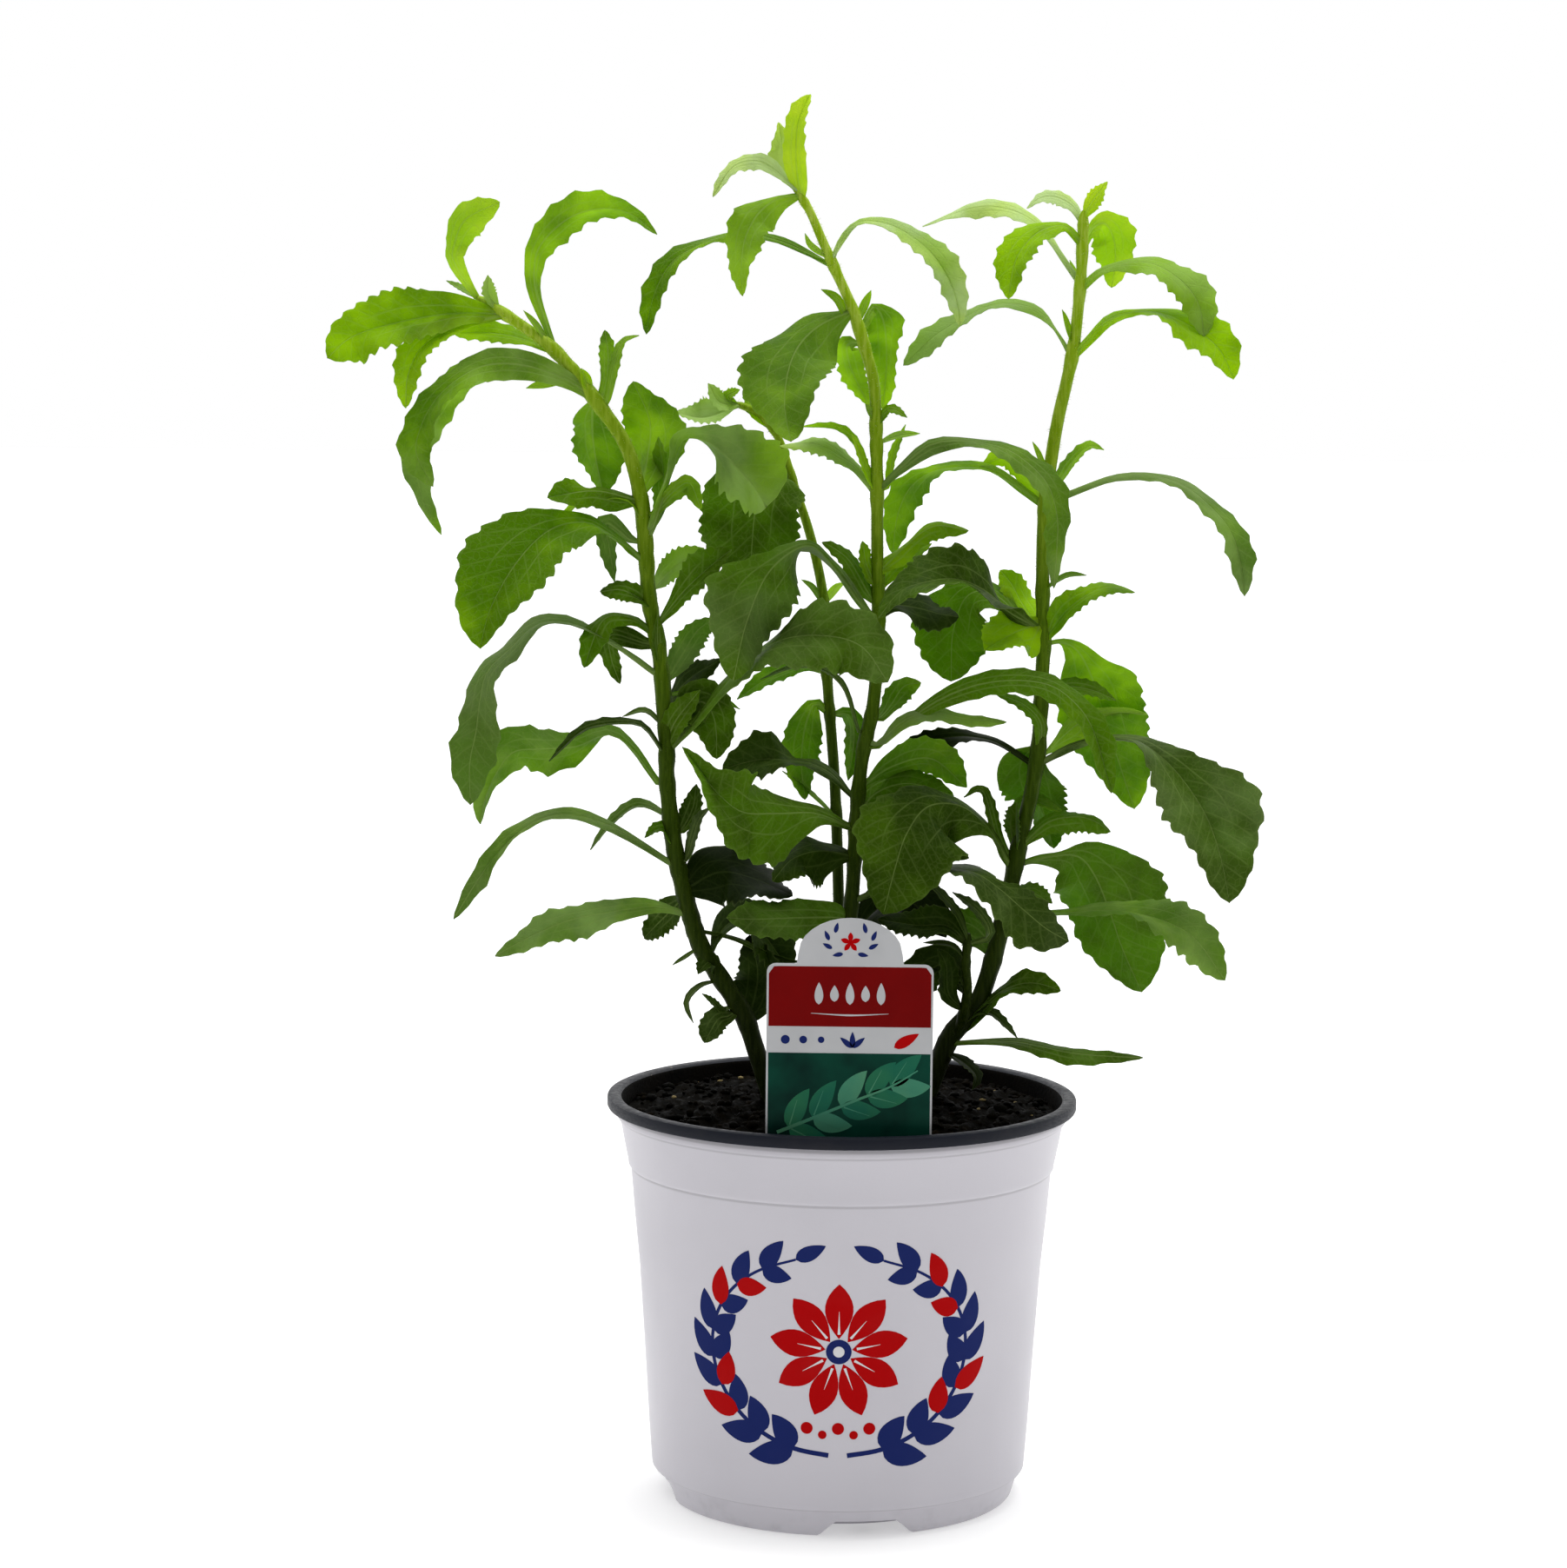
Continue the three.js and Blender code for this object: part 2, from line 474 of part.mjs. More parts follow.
const centreStem = stalk([2.6, 2.5, 2.4, 2.2, 2.1, 2, 1.8, 1.3], [0, -2, -5, -8, -12, -16], [
  [-5, 122], [-3, 140], [0, 180], [3, 215], [4, 240], [6, 262], [9.5, 280], [11, 305], [10.3, 330],
  [10, 350], [9.5, 370], [8.5, 390], [5.5, 402], [0.5, 417], [-5, 429], [-10, 440], [-14.5, 450],
  [-19, 457],
]);

const centreLeaves = [
  leaf(9, [30], [-4, 2], [[-17.3, 454], [-18.9, 464.3], [-19.2, 472.5], [-18.3, 480.7],
    [-14.6, 489.6]], [2.5, 4, 4.7, 4.5, 4.6, 4.4], [2.5, 3.1, 3.2, 2.9, 1.9, 1.4]),
  leaf(9, [30], [6], [[-19, 456], [-23, 466], [-25.5, 480]], [1, 1.5, 2, 2, 2.1, 2.5],
    [1.5, 3.5, 5, 5.5, 3.3, 1.3]),
  leaf(6.5, [90, 60], [-6, -10], [[-20.8, 457], [-30, 466], [-40.3, 465], [-47.8, 454.5]],
    [1.5, 2.5, 3, 2.2, 2, 2.3], [1.2, 2, 2.6, 3.1, 2, 1.2]),
  leaf(17, [65, 30], [-12, -22], [[-18.4, 455], [-25.6, 453.9], [-32.3, 448.7], [-36.4, 440.5],
    [-37.7, 431.2], [-37.3, 420.7]], [0.5, 2.6, 7.4, 6.9, 4.4, 2.9], [3.5, 5.9, 7.7, 6.5, 5.6, 2.7]),
  leaf(14, [90, 65, 45], [12, 20], [[-7.5, 430.5], [-25, 439.5], [-40, 441.8], [-52, 438],
    [-62, 431.5], [-68, 420], [-70.5, 407.3]], [1.5, 1.7, 1, 0.8, 4.4, 4.9],
    [0.8, 0.8, 2.5, 0.8, 2.6, 3.4]),
  leaf(13, [90, 60, 35], [-10, -18], [[-5.7, 433.5], [-3.2, 440.8], [2.5, 446.2], [10.8, 446],
    [19.1, 442.5], [27.5, 435.9], [33.9, 426.7], [37.1, 417.4], [37.7, 411.2]],
    [1, 1, 2.6, 4, 6.4, 4.7], [1.5, 0.8, 1.4, 3.6, 3, 4]),
  leaf(3, [40], [-4], [[-9, 432.5], [-14, 438], [-16, 442.3]]),
  leaf(4, [40], [-5], [[-2, 415], [-5, 420], [-10.2, 423.2]]),
  leaf(4, [40], [5], [[2.5, 411], [5, 418], [7, 423]]),
  leaf(33, [70, 25, 10], [-10, -28, -42], [[1, 416], [-10.6, 410.8], [-17.9, 403.5], [-21.4, 394.1],
    [-22.3, 382.7], [-20.1, 370.7]], [2.3, 6.5, 10.1, 16.1, 15, 7.1],
    [5.5, 13.2, 13.8, 13.5, 13.5, 9.3]),
  leaf(14, [160, 165], [18, 26], [[3, 408], [7.7, 417.5], [11.3, 413], [12.6, 404], [12.6, 394],
    [11.5, 382]], [1, 1.3, 6.9, 4.3, 3.3, 3.5], [2, 3, 5.8, 6.8, 6, 3.3]),
  leaf(14, [160, 165], [16, 22], [[3, 404], [-1, 404], [1, 395], [7, 383.5]], [1, 4, 5, 5, 4, 3],
    [1, 3.5, 4.3, 4.5, 4.5, 3]),
  leaf(3, [40], [-4], [[9, 378], [5.5, 384]]),
  leaf(5, [50], [-5], [[10, 376], [14, 382], [20, 379.5]]),
  leaf(4, [50], [6], [[11, 370], [17, 373], [24.5, 374]]),
  leaf(8, [110], [6, 10], [[7, 357], [3, 368], [-4, 375], [-16.5, 376]]),
  leaf(6, [60], [-5], [[7.5, 352], [5.5, 362], [1, 373.5]]),
  leaf(6, [60], [6], [[13.5, 355], [15.5, 366], [19.5, 377]]),
  leaf(12, [70, 50], [8, 10], [[7.7, 352], [3.4, 361.1], [-2.9, 365.7], [-11.3, 369.8],
    [-19.6, 369.7], [-24, 369.2]], [0.8, 1.3, 1.6, 3, 3, 0.4], [1.2, 1.8, 2.3, 3, 3.5, 2]),
  leaf(13, [85, 70, 40], [-14, -26, -30], [[12, 353.9], [20, 363.7], [28.6, 370.3], [39.4, 371.5],
    [52.5, 369.5], [61.2, 364.7], [68.9, 356.7], [72.3, 345.9], [72.5, 335], [71.7, 320.9]],
    [1.3, 1.7, 1.2, 3.3, 5.5, 3], [1.7, 3.8, 1.8, 4.3, 3.8, 4.4]),
  leaf(8, [60], [-8], [[11, 325], [20, 335], [30, 342], [41.8, 340.5]],
    [2.5, 1.1, 0.5, 1.3, 1.3, 1.1], [2, 5, 4.3, 4.4, 5, 3.5]),
  leaf(9, [60], [8], [[10, 318], [16, 328], [29, 336]], [1, 3, 4, 3, 2, 1], [1, 3, 4, 3, 2.5, 1.5]),
  leaf(8, [60], [-5], [[9, 320], [6.5, 328], [5, 336.5]], [1, 2, 2.5, 2.5, 2.5, 2],
    [1, 2, 2, 2, 2, 1.5]),
  leaf(30, [115, 150, 165, 170], [-12, -26, -34], [[8, 311], [-4, 327], [-14, 335], [-27, 326],
    [-35, 308], [-39.5, 287.5]], [1.3, 1.6, 1.5, 5.5, 17.3, 10.5], [1.3, 2, 5, 13.3, 12, 7.8]),
  leaf(17, [50], [10, 8], [[9.5, 309.6], [16, 314], [24, 313.5], [32, 311.5], [38.8, 310.5]],
    [1.5, 2.5, 4.5, 5, 3.5, 3], [1.5, 2.5, 4.5, 6.5, 7, 5.5]),
  leaf(6, [70], [-8, -12], [[4.5, 270], [-1, 285], [-9, 291.5], [-19, 292], [-30, 288]]),
  leaf(12, [90, 75, 55], [-14, -30, -34], [[10, 264], [17, 270], [30, 280], [43, 286], [56.6, 288.5],
    [70, 287.3], [79, 281.6], [86, 271.8], [93, 249.5]], [1.5, 2.5, 4, 4, 3.5, 6.5],
    [1.5, 3, 4.5, 4.5, 5, 3.3]),
  leaf(10, [60], [7, 9], [[12, 275], [16, 280], [20, 286], [26, 287.5]], [1, 2, 3, 4.5, 4, 2.5],
    [1, 2, 3, 4, 5, 4]),
  leaf(8, [80, 60], [-8, -12, -12], [[12, 266], [20, 274], [30, 277], [42, 275], [56, 274]],
    [1, 2, 2, 2, 1.5, 1.5], [1, 2, 3, 3, 2.5, 2.5]),
  leaf(16, [150], [12, 16], [[6, 250], [16, 258], [30, 261], [42.5, 251]]),
  leaf(33, [60, 30, 12, 8], [-14, -32, -42], [[0.8, 236.8], [-10.7, 241.1], [-23.9, 241],
    [-35.9, 241.4], [-44.7, 247.9], [-51.4, 256.6], [-57, 264]], [2, 3.7, 7.9, 12, 13.8, 4.4],
    [1.5, 4.4, 17.2, 15.4, 8, 2.3]),
  leaf(18, [50, 40], [-18, -30], [[3, 204], [-8, 204.5], [-20, 204], [-32, 203.5], [-41, 204]],
    [5, 6, 6.5, 6.5, 6.5, 6], [4, 6, 7, 7.5, 7, 5]),
  leaf(18, [60, 30], [8, 12], [[2, 248], [-5, 255], [-12, 258.5], [-20, 259.5], [-28, 260],
    [-36, 258.5], [-43, 256]], [1, 1.8, 2, 2.2, 10.5, 7], [1, 1.8, 2, 2, 6.5, 5]),
  leaf(22, [70, 50, 30], [-14, -30, -34], [[3, 210], [22, 219], [33, 222], [45, 221], [54, 215.5],
    [63, 208], [71, 201.5], [79, 197]], [1, 1, 0.8, 2.5, 5, 7], [1.2, 1.2, 1.2, 3, 7, 11.5]),
  leaf(22, [60, 30], [-8, -12], [[2, 226], [-8, 228], [-18, 225], [-25, 217]], [2, 3.5, 4.5, 5, 4, 3],
    [3, 8, 12, 12, 9, 5]),
  leaf(22, [150], [16, 24], [[2, 196], [12, 208], [24, 210], [36, 198]]),
  leaf(18, [60, 40], [6, 10], [[4, 238], [10, 248], [22, 252], [38, 248]], [3, 5, 6, 6, 5, 4],
    [4, 8, 9, 8, 6, 4]),
  leaf(10, [60], [-6], [[8, 317], [1, 329], [-5, 334], [-9, 336]], [1.5, 2.5, 3, 2.5, 2.5, 2],
    [1.5, 3, 3.5, 3.5, 3, 2]),
];

// Right stem and its side shoot

const rightStem = stalk([3.4, 3.2, 2.8, 2.5, 2.3, 2.2, 2, 1.6], [6, 5, 3, 0, -4, -8], [
  [24, 122], [28, 136], [33.7, 152], [38.3, 163.4], [47, 174], [53, 192], [57.5, 212], [62, 235.5],
  [65, 249], [67.3, 265.5], [68, 288], [68.5, 302], [67.8, 322], [68, 346.5], [70.2, 366.4], [72.4, 380.4],
  [74.9, 392], [77.3, 405.2], [79.2, 426.7], [79.6, 440], [79.8, 451],
]);

const rightLeaves = [
  leaf(8, [50], [-5], [[79.5, 448], [82.5, 453.5], [87.8, 460.8]], [1, 2, 2.8, 3, 2.4, 1.2],
    [1, 2, 2.8, 3, 2.4, 1.2]),
  leaf(8, [60], [4, 2], [[78.5, 446], [77.6, 450], [75, 453], [70, 455.3], [65, 455], [60.3, 451.5]],
    [1, 1.6, 2.2, 2.4, 2.2, 1], [1, 1.6, 2.2, 2.4, 2.2, 1]),
  leaf(9, [80, 60], [14, 22], [[77.5, 426], [71, 437], [64, 446], [54, 451], [42, 451.5],
    [24.5, 445]], [1, 1.2, 1.5, 2.7, 2.2, 0.7], [1, 0.6, 2, 3, 3.9, 0.8]),
  leaf(16, [75, 35], [-10, -18], [[79.5, 439], [73, 445.5], [64, 443], [57, 434], [54.5, 420.5]],
    [1.5, 1, 4, 6.9, 7.3, 5], [1.2, 1.8, 3.9, 4.3, 4.2, 3.7]),
  leaf(15, [165], [14, 20], [[79.5, 436], [82.3, 444], [87, 446.7], [90.3, 441.5], [91, 433],
    [89.8, 424.7]], [1, 1.5, 4, 8, 6.5, 4.5], [1, 2, 5, 7, 8, 5]),
  leaf(17, [75, 55, 35], [-12, -20], [[79.7, 423.5], [86.5, 430.3], [96.7, 433.5], [106.4, 431.8],
    [115.2, 425.8], [120.1, 418.5], [122, 408.3]], [1.5, 1, 1.9, 3.7, 7, 6.2],
    [1.2, 1.7, 3.7, 3.8, 5.3, 5.4]),
  leaf(20, [80, 50, 30], [-14, -28], [[77.4, 399.9], [82.1, 407.4], [89.5, 413.9], [99.2, 416.7],
    [110, 415.2], [119.8, 409.9], [127.5, 403.6], [132.5, 393.7]], [0.7, 1.5, 0.5, 3, 8, 7.5],
    [2.3, 2.5, 1, 2.5, 5.6, 5.3]),
  leaf(13, [95, 75, 55], [16, 26], [[76.3, 400.9], [71.3, 409.5], [64.7, 416.4], [56, 418.8],
    [47.4, 417.8], [38.8, 413.5], [29.2, 407.5], [21.7, 400.4], [18.5, 397.4]],
    [1.2, 2, 1.4, 1.8, 3.2, 4.7], [1.8, 2.6, 1.5, 1.2, 2.8, 4]),
  leaf(4, [60], [-5], [[76.5, 404], [75, 410], [73, 417]]),
  leaf(3, [60], [6], [[77.5, 425], [75.3, 434]]),
  leaf(9, [60], [8, 10], [[72, 356], [77, 364], [83, 370], [88.2, 369]]),
  leaf(4, [60], [-5], [[71, 358], [66, 366], [63.5, 371.5]]),
  leaf(15, [85, 80, 50, 10], [-8, -18, -26], [[69, 350.5], [83, 356.8], [93.7, 360.2], [104.6, 360.3],
    [115.4, 357.1], [124.2, 350.7], [132, 342.1], [136, 331.3], [137.9, 318.9]],
    [0.4, 0.6, 1, 1.9, 3.5, 6], [1.9, 1.8, 2.2, 1.7, 3.2, 4.1]),
  leaf(9, [165], [10], [[68, 350], [62, 360], [54, 366], [45.5, 362.5]]),
  leaf(17, [120, 160], [16, 26], [[66.9, 349.1], [58.1, 356.6], [48.2, 361.9], [38.5, 362.8],
    [28.8, 361.1], [21.2, 355.1], [17, 345.3], [15.6, 332.3]], [1.2, 1.9, 2, 1.5, 6.1, 5],
    [1.5, 1.2, 0.5, 2.2, 6.3, 5.6]),
  leaf(4, [60], [-5], [[70, 320], [76, 325], [83, 325.5]]),
  leaf(13, [65], [-8, -12], [[69, 302], [76, 312.6], [85.1, 319.6], [91.9, 321.4], [99.8, 319.7]],
    [2, 5, 6, 3.6, 2.2, 0.8], [1.5, 2.5, 2.5, 2.6, 3, 1.8]),
  leaf(14, [60], [14, 16], [[66, 305], [61, 315], [57, 322], [53, 327]], [2, 4, 5, 5, 5, 4.5],
    [2, 5, 6, 6, 5, 4]),
  leaf(26, [110, 75, 55], [-14, -34, -40], [[67, 305.6], [57.6, 312], [47.2, 320], [37.9, 323.5],
    [27.6, 322.5], [18.5, 319], [10.9, 309.6]], [2, 5, 8, 12, 8, 4], [2, 3, 3, 3, 3, 3]),
  leaf(27, [60, 30, 12], [8, 12, 6], [[65, 305], [52, 318], [42, 318], [37, 305], [36.5, 288]],
    [1.2, 2, 3, 9, 14.8, 11], [1.2, 3, 8, 10, 13, 11.3]),
  leaf(20, [60, 40], [-8, -14], [[67, 309], [60, 306], [53, 302], [48, 299]], [3, 6, 8, 9, 8, 6],
    [3, 10, 10, 7, 5, 3]),
  leaf(33, [140, 165, 170], [14, 26, 30], [[69.9, 301], [75.1, 302.5], [80.9, 298.8], [85.6, 289.7],
    [89.9, 277], [95.3, 260.9], [101.1, 244.1]], [1, 5.8, 14.4, 14.7, 13.2, 9.8],
    [1, 9.3, 14, 16, 13.4, 7.6]),
  leaf(14, [90, 110], [10, 18], [[68, 259], [73, 267], [82, 274.5], [93, 278], [105, 277.3]],
    [1, 2.5, 4, 2.5, 1.5, 1.2], [1, 5, 8, 3, 1.2, 0.8]),
  leaf(8, [60], [-6, -8], [[68.5, 262], [68, 273], [62, 280], [52, 284]], [1, 2, 2.5, 2.5, 2, 1.5],
    [1, 2, 2.5, 2.5, 2, 1.5]),
  leaf(34, [65, 30, 15, 10], [-10, -24, -36], [[69.4, 260.6], [79.1, 265.9], [90.6, 268.4],
    [102.1, 267.3], [111.4, 261.1], [119.7, 251.9], [126.8, 240.4], [131.7, 226.5], [134.9, 211.4]],
    [1, 1.2, 4.2, 10.6, 20, 12.5], [1.3, 1.2, 1, 9.2, 12.4, 8.4]),
  leaf(24, [150], [16, 22], [[67, 266], [66, 258], [68, 248], [71, 238], [73.2, 229.8]],
    [4, 8, 9, 9, 8, 5], [8, 13, 13, 11, 7, 4]),
  leaf(11, [120, 150], [10, 16], [[64, 259], [55, 266], [48, 268.5], [38, 269], [26, 266], [14, 260]],
    [1, 1, 1.5, 3, 4, 3], [1, 1, 1.5, 3, 4.5, 3]),
  leaf(18, [150], [12, 18], [[46, 174], [38, 187], [30, 186], [22, 170]]),
  leaf(36, [80, 40, 12, 8], [-14, -34, -44], [[57.3, 224.4], [49.6, 237.2], [40, 244.5], [29, 244],
    [22, 235], [18, 223], [13.9, 205.8]], [1.3, 1.5, 2.3, 11, 18, 11], [1.3, 2, 14, 22, 20, 15]),
  leaf(7, [50], [-4], [[58, 224], [53, 234], [48, 249.5], [41.5, 247.5]]),
  leaf(11, [60], [-8, -12], [[61.5, 229], [70.4, 238.6], [79.6, 241], [86.5, 239.9], [92.9, 235.9]],
    [1.2, 2, 2.5, 2, 1.5, 1.4], [1.2, 3, 4.5, 5.8, 5.4, 4.6]),
  leaf(10, [60], [8], [[62, 230], [60, 241], [66, 246], [77, 242]]),
  leaf(38, [150, 165, 165], [12, 20, 18], [[61.4, 223.3], [72.9, 227.5], [82.1, 227.1], [88, 220.1],
    [93, 208.5], [98, 194.6], [104.9, 179.4]], [1.2, 2, 13, 22, 19, 14.8],
    [1.2, 6, 13.3, 15.3, 14.6, 8.9]),
  leaf(22, [75, 50, 30], [-12, -24, -30], [[55, 203], [68.6, 206.5], [80.1, 207.2], [94, 208],
    [110.2, 205.2], [123, 198.5], [134, 183.9]], [1.3, 1.5, 2.9, 5, 9, 6.9],
    [1.3, 1.2, 1.2, 1, 5.8, 7.3]),
  leaf(12, [60], [-5], [[57, 207], [64, 214], [73, 210.5]]),
  leaf(10, [70], [-6, -8], [[44, 166], [52, 176], [60, 181], [68, 182], [76.5, 179.5]],
    [1.2, 1.5, 1.5, 2.2, 5, 4], [1.2, 2, 2.5, 2, 3.5, 3.5]),
  leaf(7, [60], [-8], [[41, 163], [47, 171], [52, 171], [57, 167], [61.5, 162.5]]),
  leaf(9, [75], [-16, -34, -38], [[36, 160.5], [50, 161.2], [61, 161], [70, 159.5], [80, 157.5],
    [92, 156.5], [105.8, 156.1]], [0.7, 1.2, 1.8, 1.5, 2, 1.8], [0.7, 1.3, 2, 3.5, 4.2, 2.5]),
  leaf(8, [60], [-8], [[36, 157], [42, 154], [47, 149], [46, 144]]),
  leaf(9, [50], [2, 6], [[69, 280], [76, 286], [85, 285.5], [94, 282]]),
  leaf(6, [60], [-5], [[44, 167], [50, 175], [58, 178]]),
  leaf(15, [150], [6, 10], [[53, 190], [50, 198], [44, 203], [36, 204]], [2, 3, 4, 5, 5, 4],
    [2, 5, 7, 8, 7, 5]),
  leaf(12, [60], [-4], [[59, 226], [60, 236], [60, 246]]),
];

const sideShoot = stalk([1.9, 1.6, 1.3], [5, -6, -10], [
  [38.5, 163.4], [41.5, 167], [43.7, 179], [43, 189], [44, 199.5],
]);

const shootLeaves = [
  leaf(8, [60], [-6], [[44, 196], [51, 199], [47, 207], [38, 214]]),
  leaf(5, [50], [-8, -14], [[44, 197], [40, 206], [34, 213], [28, 219]]),
  leaf(12, [60], [8, 10], [[44, 196], [36, 202], [26, 202], [12, 204]], [2, 5, 7, 7, 5, 3],
    [2, 3, 4, 4, 4, 3]),
  leaf(4, [60], [-4], [[43, 190], [38, 195], [28, 196]]),
  leaf(10, [40], [-6, -8], [[42, 172], [37, 178], [36, 188], [33, 194]]),
];

// Back stem

const backStem = stalk([2.1, 2, 1.9, 1.8, 1.6, 1.1], [22, 24, 27, 30, 33, 36], [
  [2, 122], [0, 140], [-1, 180], [-2, 215], [-3.5, 250], [-6, 280], [-7.5, 300], [-8.5, 318], [-13, 338],
  [-19, 356], [-24, 371], [-31, 380], [-40, 384],
]);

const backLeaves = [
  leaf(38, [70, 20, 10], [-12, -20], [[-20, 358], [-27, 361], [-32, 348], [-34, 322]],
    [3, 12, 19, 19, 18.5, 14], [3, 10, 15, 16, 15.5, 12]),
  leaf(5, [40], [-4], [[-39, 383], [-42, 386], [-38, 388.5]]),
  leaf(8, [40], [-6], [[-38, 382], [-45, 384], [-49, 390.5]]),
  leaf(12, [140], [6], [[-39, 382], [-50, 379], [-60, 380.5]], [1, 3, 6, 7, 5, 2],
    [1, 2, 2.5, 2.5, 2, 1.5]),
  leaf(7, [30], [5], [[-27, 375], [-33, 382], [-36, 391]]),
  leaf(3, [40], [-4], [[-8.5, 314], [-12, 320], [-16, 323]]),
  leaf(4, [40], [5], [[-8, 314], [-4, 320], [-1, 322]]),
  leaf(9, [140], [8, 12], [[-6, 290], [-15, 293], [-28, 288], [-38, 281]]),
  leaf(16, [150], [-6, -8], [[-6, 276], [-11, 279.5], [-14.5, 270], [-15.5, 258], [-14, 246]],
    [1.5, 4, 6.5, 7, 6, 3.5], [1.5, 4, 6.5, 7, 6, 3.5]),
  leaf(10, [150], [8, 10], [[-5, 276], [1, 276], [3, 268], [1, 253]]),
  leaf(7, [100], [-6], [[-4, 240], [-10, 246], [-17, 252], [-22, 256]]),
];

// Tag

function tagOutline(margin) {
  const half = 27.9 + margin;
  const neck = 198.3;
  const bodyLow = 134;
  const shape = new THREE.Shape();
  shape.moveTo(-half, bodyLow);
  shape.lineTo(-9 - margin, 118);
  shape.lineTo(-7 - margin, 96);
  shape.lineTo(0, 84 - margin);
  shape.lineTo(7 + margin, 96);
  shape.lineTo(9 + margin, 118);
  shape.lineTo(half, bodyLow);
  shape.lineTo(half, neck - 3);
  shape.quadraticCurveTo(half, neck, half - 3, neck);
  shape.lineTo(17.9, neck);
  shape.quadraticCurveTo(16.6, 209.6, 11, 212.4);
  shape.quadraticCurveTo(0, 215.2, -11, 212.4);
  shape.quadraticCurveTo(-16.6, 209.6, -17.9, neck);
  shape.lineTo(-half + 3, neck);
  shape.quadraticCurveTo(-half, neck, -half, neck - 3);
  return shape;
}

function makeTag(margin) {
  const geometry = plate(tagOutline(margin), tagThick + 2 * margin);
  geometry.rotateX(Math.PI / 2);
  geometry.translate(tagX, tagY + (tagThick + 2 * margin) / 2, 0);
  return geometry;
}

// Soil

function soilTop(x, y) {
  const edge = Math.hypot(x, y) / 76;
  const mound = soilEdge + (soilCrown - soilEdge) * (1 - edge ** 2);
  const lumps = Math.sin(x * 0.21 + 1.3) * Math.cos(y * 0.17) + Math.sin(x * 0.47 - y * 0.39) * 0.8;
  return mound + soilRough * lumps * Math.min(1, (1 - edge) * 8);
}

function makeSoil() {
  const floor = potWall + fit;
  const wall = [25, 82, 117, soilEdge].map((height) => [innerRadius(height) - fit - sideSag, height]);
  const top = [68, 52, 36, 18, 0].map((radius) => [radius, soilCrown]);
  const geometry = lathe([[0, floor], [58, floor], ...wall, ...top], soilSides);
  const spots = geometry.attributes.position;
  for (let i = 0; i < spots.count; i += 1) {
    if (spots.getZ(i) > soilCrown - 0.01) {
      spots.setZ(i, soilTop(spots.getX(i), spots.getY(i)));
    }
  }
  let soil = toSolid(geometry);
  for (const angle of footAngles()) {
    soil = soil.subtract(footSpace(angle, potWall + fit));
  }
  for (const stem of [leftStem, centreStem, rightStem, backStem]) {
    soil = soil.subtract(hole(stem));
  }
  return soil.subtract(toSolid(makeTag(fit)));
}

// A plain hole round the foot of a stem, a little wider and deeper than it
function hole(stem) {
  const foot = stem.curve.getPointAt(0);
  const up = stem.curve.getTangentAt(0);
  const spots = [foot.clone().addScaledVector(up, -holeDepthBelow)];
  for (const part of holeDepths) {
    spots.push(stem.curve.getPointAt(part));
  }
  const line = new THREE.CatmullRomCurve3(spots, false, 'catmullrom', 0.5);
  return ringTube(line, [stem.radii[0]], holeDepths.length, stemSides, holeGap);
}

// The whole plant

function add(group, name, geometry, color, roughness) {
  const material = new THREE.MeshStandardMaterial({ color, roughness, metalness: 0 });
  const mesh = new THREE.Mesh(geometry, material);
  mesh.name = name;
  group.add(mesh);
}

const plant = new THREE.Group();
const rightBody = leafyStem(rightStem, rightLeaves, 16).add(leafyStem(sideShoot, shootLeaves, 6));
const stems = {
  stem_left: leafyStem(leftStem, leftLeaves, 16),
  stem_centre: leafyStem(centreStem, centreLeaves, 14),
  stem_right: rightBody,
  stem_back: leafyStem(backStem, backLeaves, 12),
};

add(plant, 'pot', toGeometry(makePot()), 0xdcdcde, 0.45);
add(plant, 'soil', toGeometry(largestPiece(makeSoil())), 0x2a211b, 0.95);
add(plant, 'tag', makeTag(0), 0xe6e7e2, 0.4);
for (const [name, body] of Object.entries(stems)) {
  add(plant, name, toGeometry(largestPiece(body)), 0x5f8f3a, 0.55);
}

export default plant;
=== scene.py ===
# A stevia plant in a nursery pot: toothed leaves on hairy stems, a printed white pot with a grey lip,
# damp soil and a printed plant label. Tables are in millimetres, the scene in metres, and the front is -Y.
import math
import random

import bpy
import numpy as np
from mathutils import Matrix, Vector


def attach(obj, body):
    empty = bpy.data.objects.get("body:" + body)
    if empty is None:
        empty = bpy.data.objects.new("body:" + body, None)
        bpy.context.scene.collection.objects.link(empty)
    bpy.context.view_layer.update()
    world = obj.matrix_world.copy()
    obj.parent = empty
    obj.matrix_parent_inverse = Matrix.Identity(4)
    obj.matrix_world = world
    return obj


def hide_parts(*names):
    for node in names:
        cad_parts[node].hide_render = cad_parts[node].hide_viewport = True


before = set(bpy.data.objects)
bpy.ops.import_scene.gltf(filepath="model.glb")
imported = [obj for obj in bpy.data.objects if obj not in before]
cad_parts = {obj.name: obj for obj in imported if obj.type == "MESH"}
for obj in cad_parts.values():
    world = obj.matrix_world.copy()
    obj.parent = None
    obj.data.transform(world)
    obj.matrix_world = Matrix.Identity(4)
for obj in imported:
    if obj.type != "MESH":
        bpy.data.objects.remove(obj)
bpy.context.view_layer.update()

mm = 0.001
eye = np.array([0.0, -1400.0, 400.0])  # the plant is set out on sight lines from here

# What each mesh gathers: spots, faces, the finish of each face and the values that its finish reads


def newHeap(*fields):
    return {"spots": [], "faces": [], "slots": [], "count": 0, "fields": {name: [] for name in fields}}


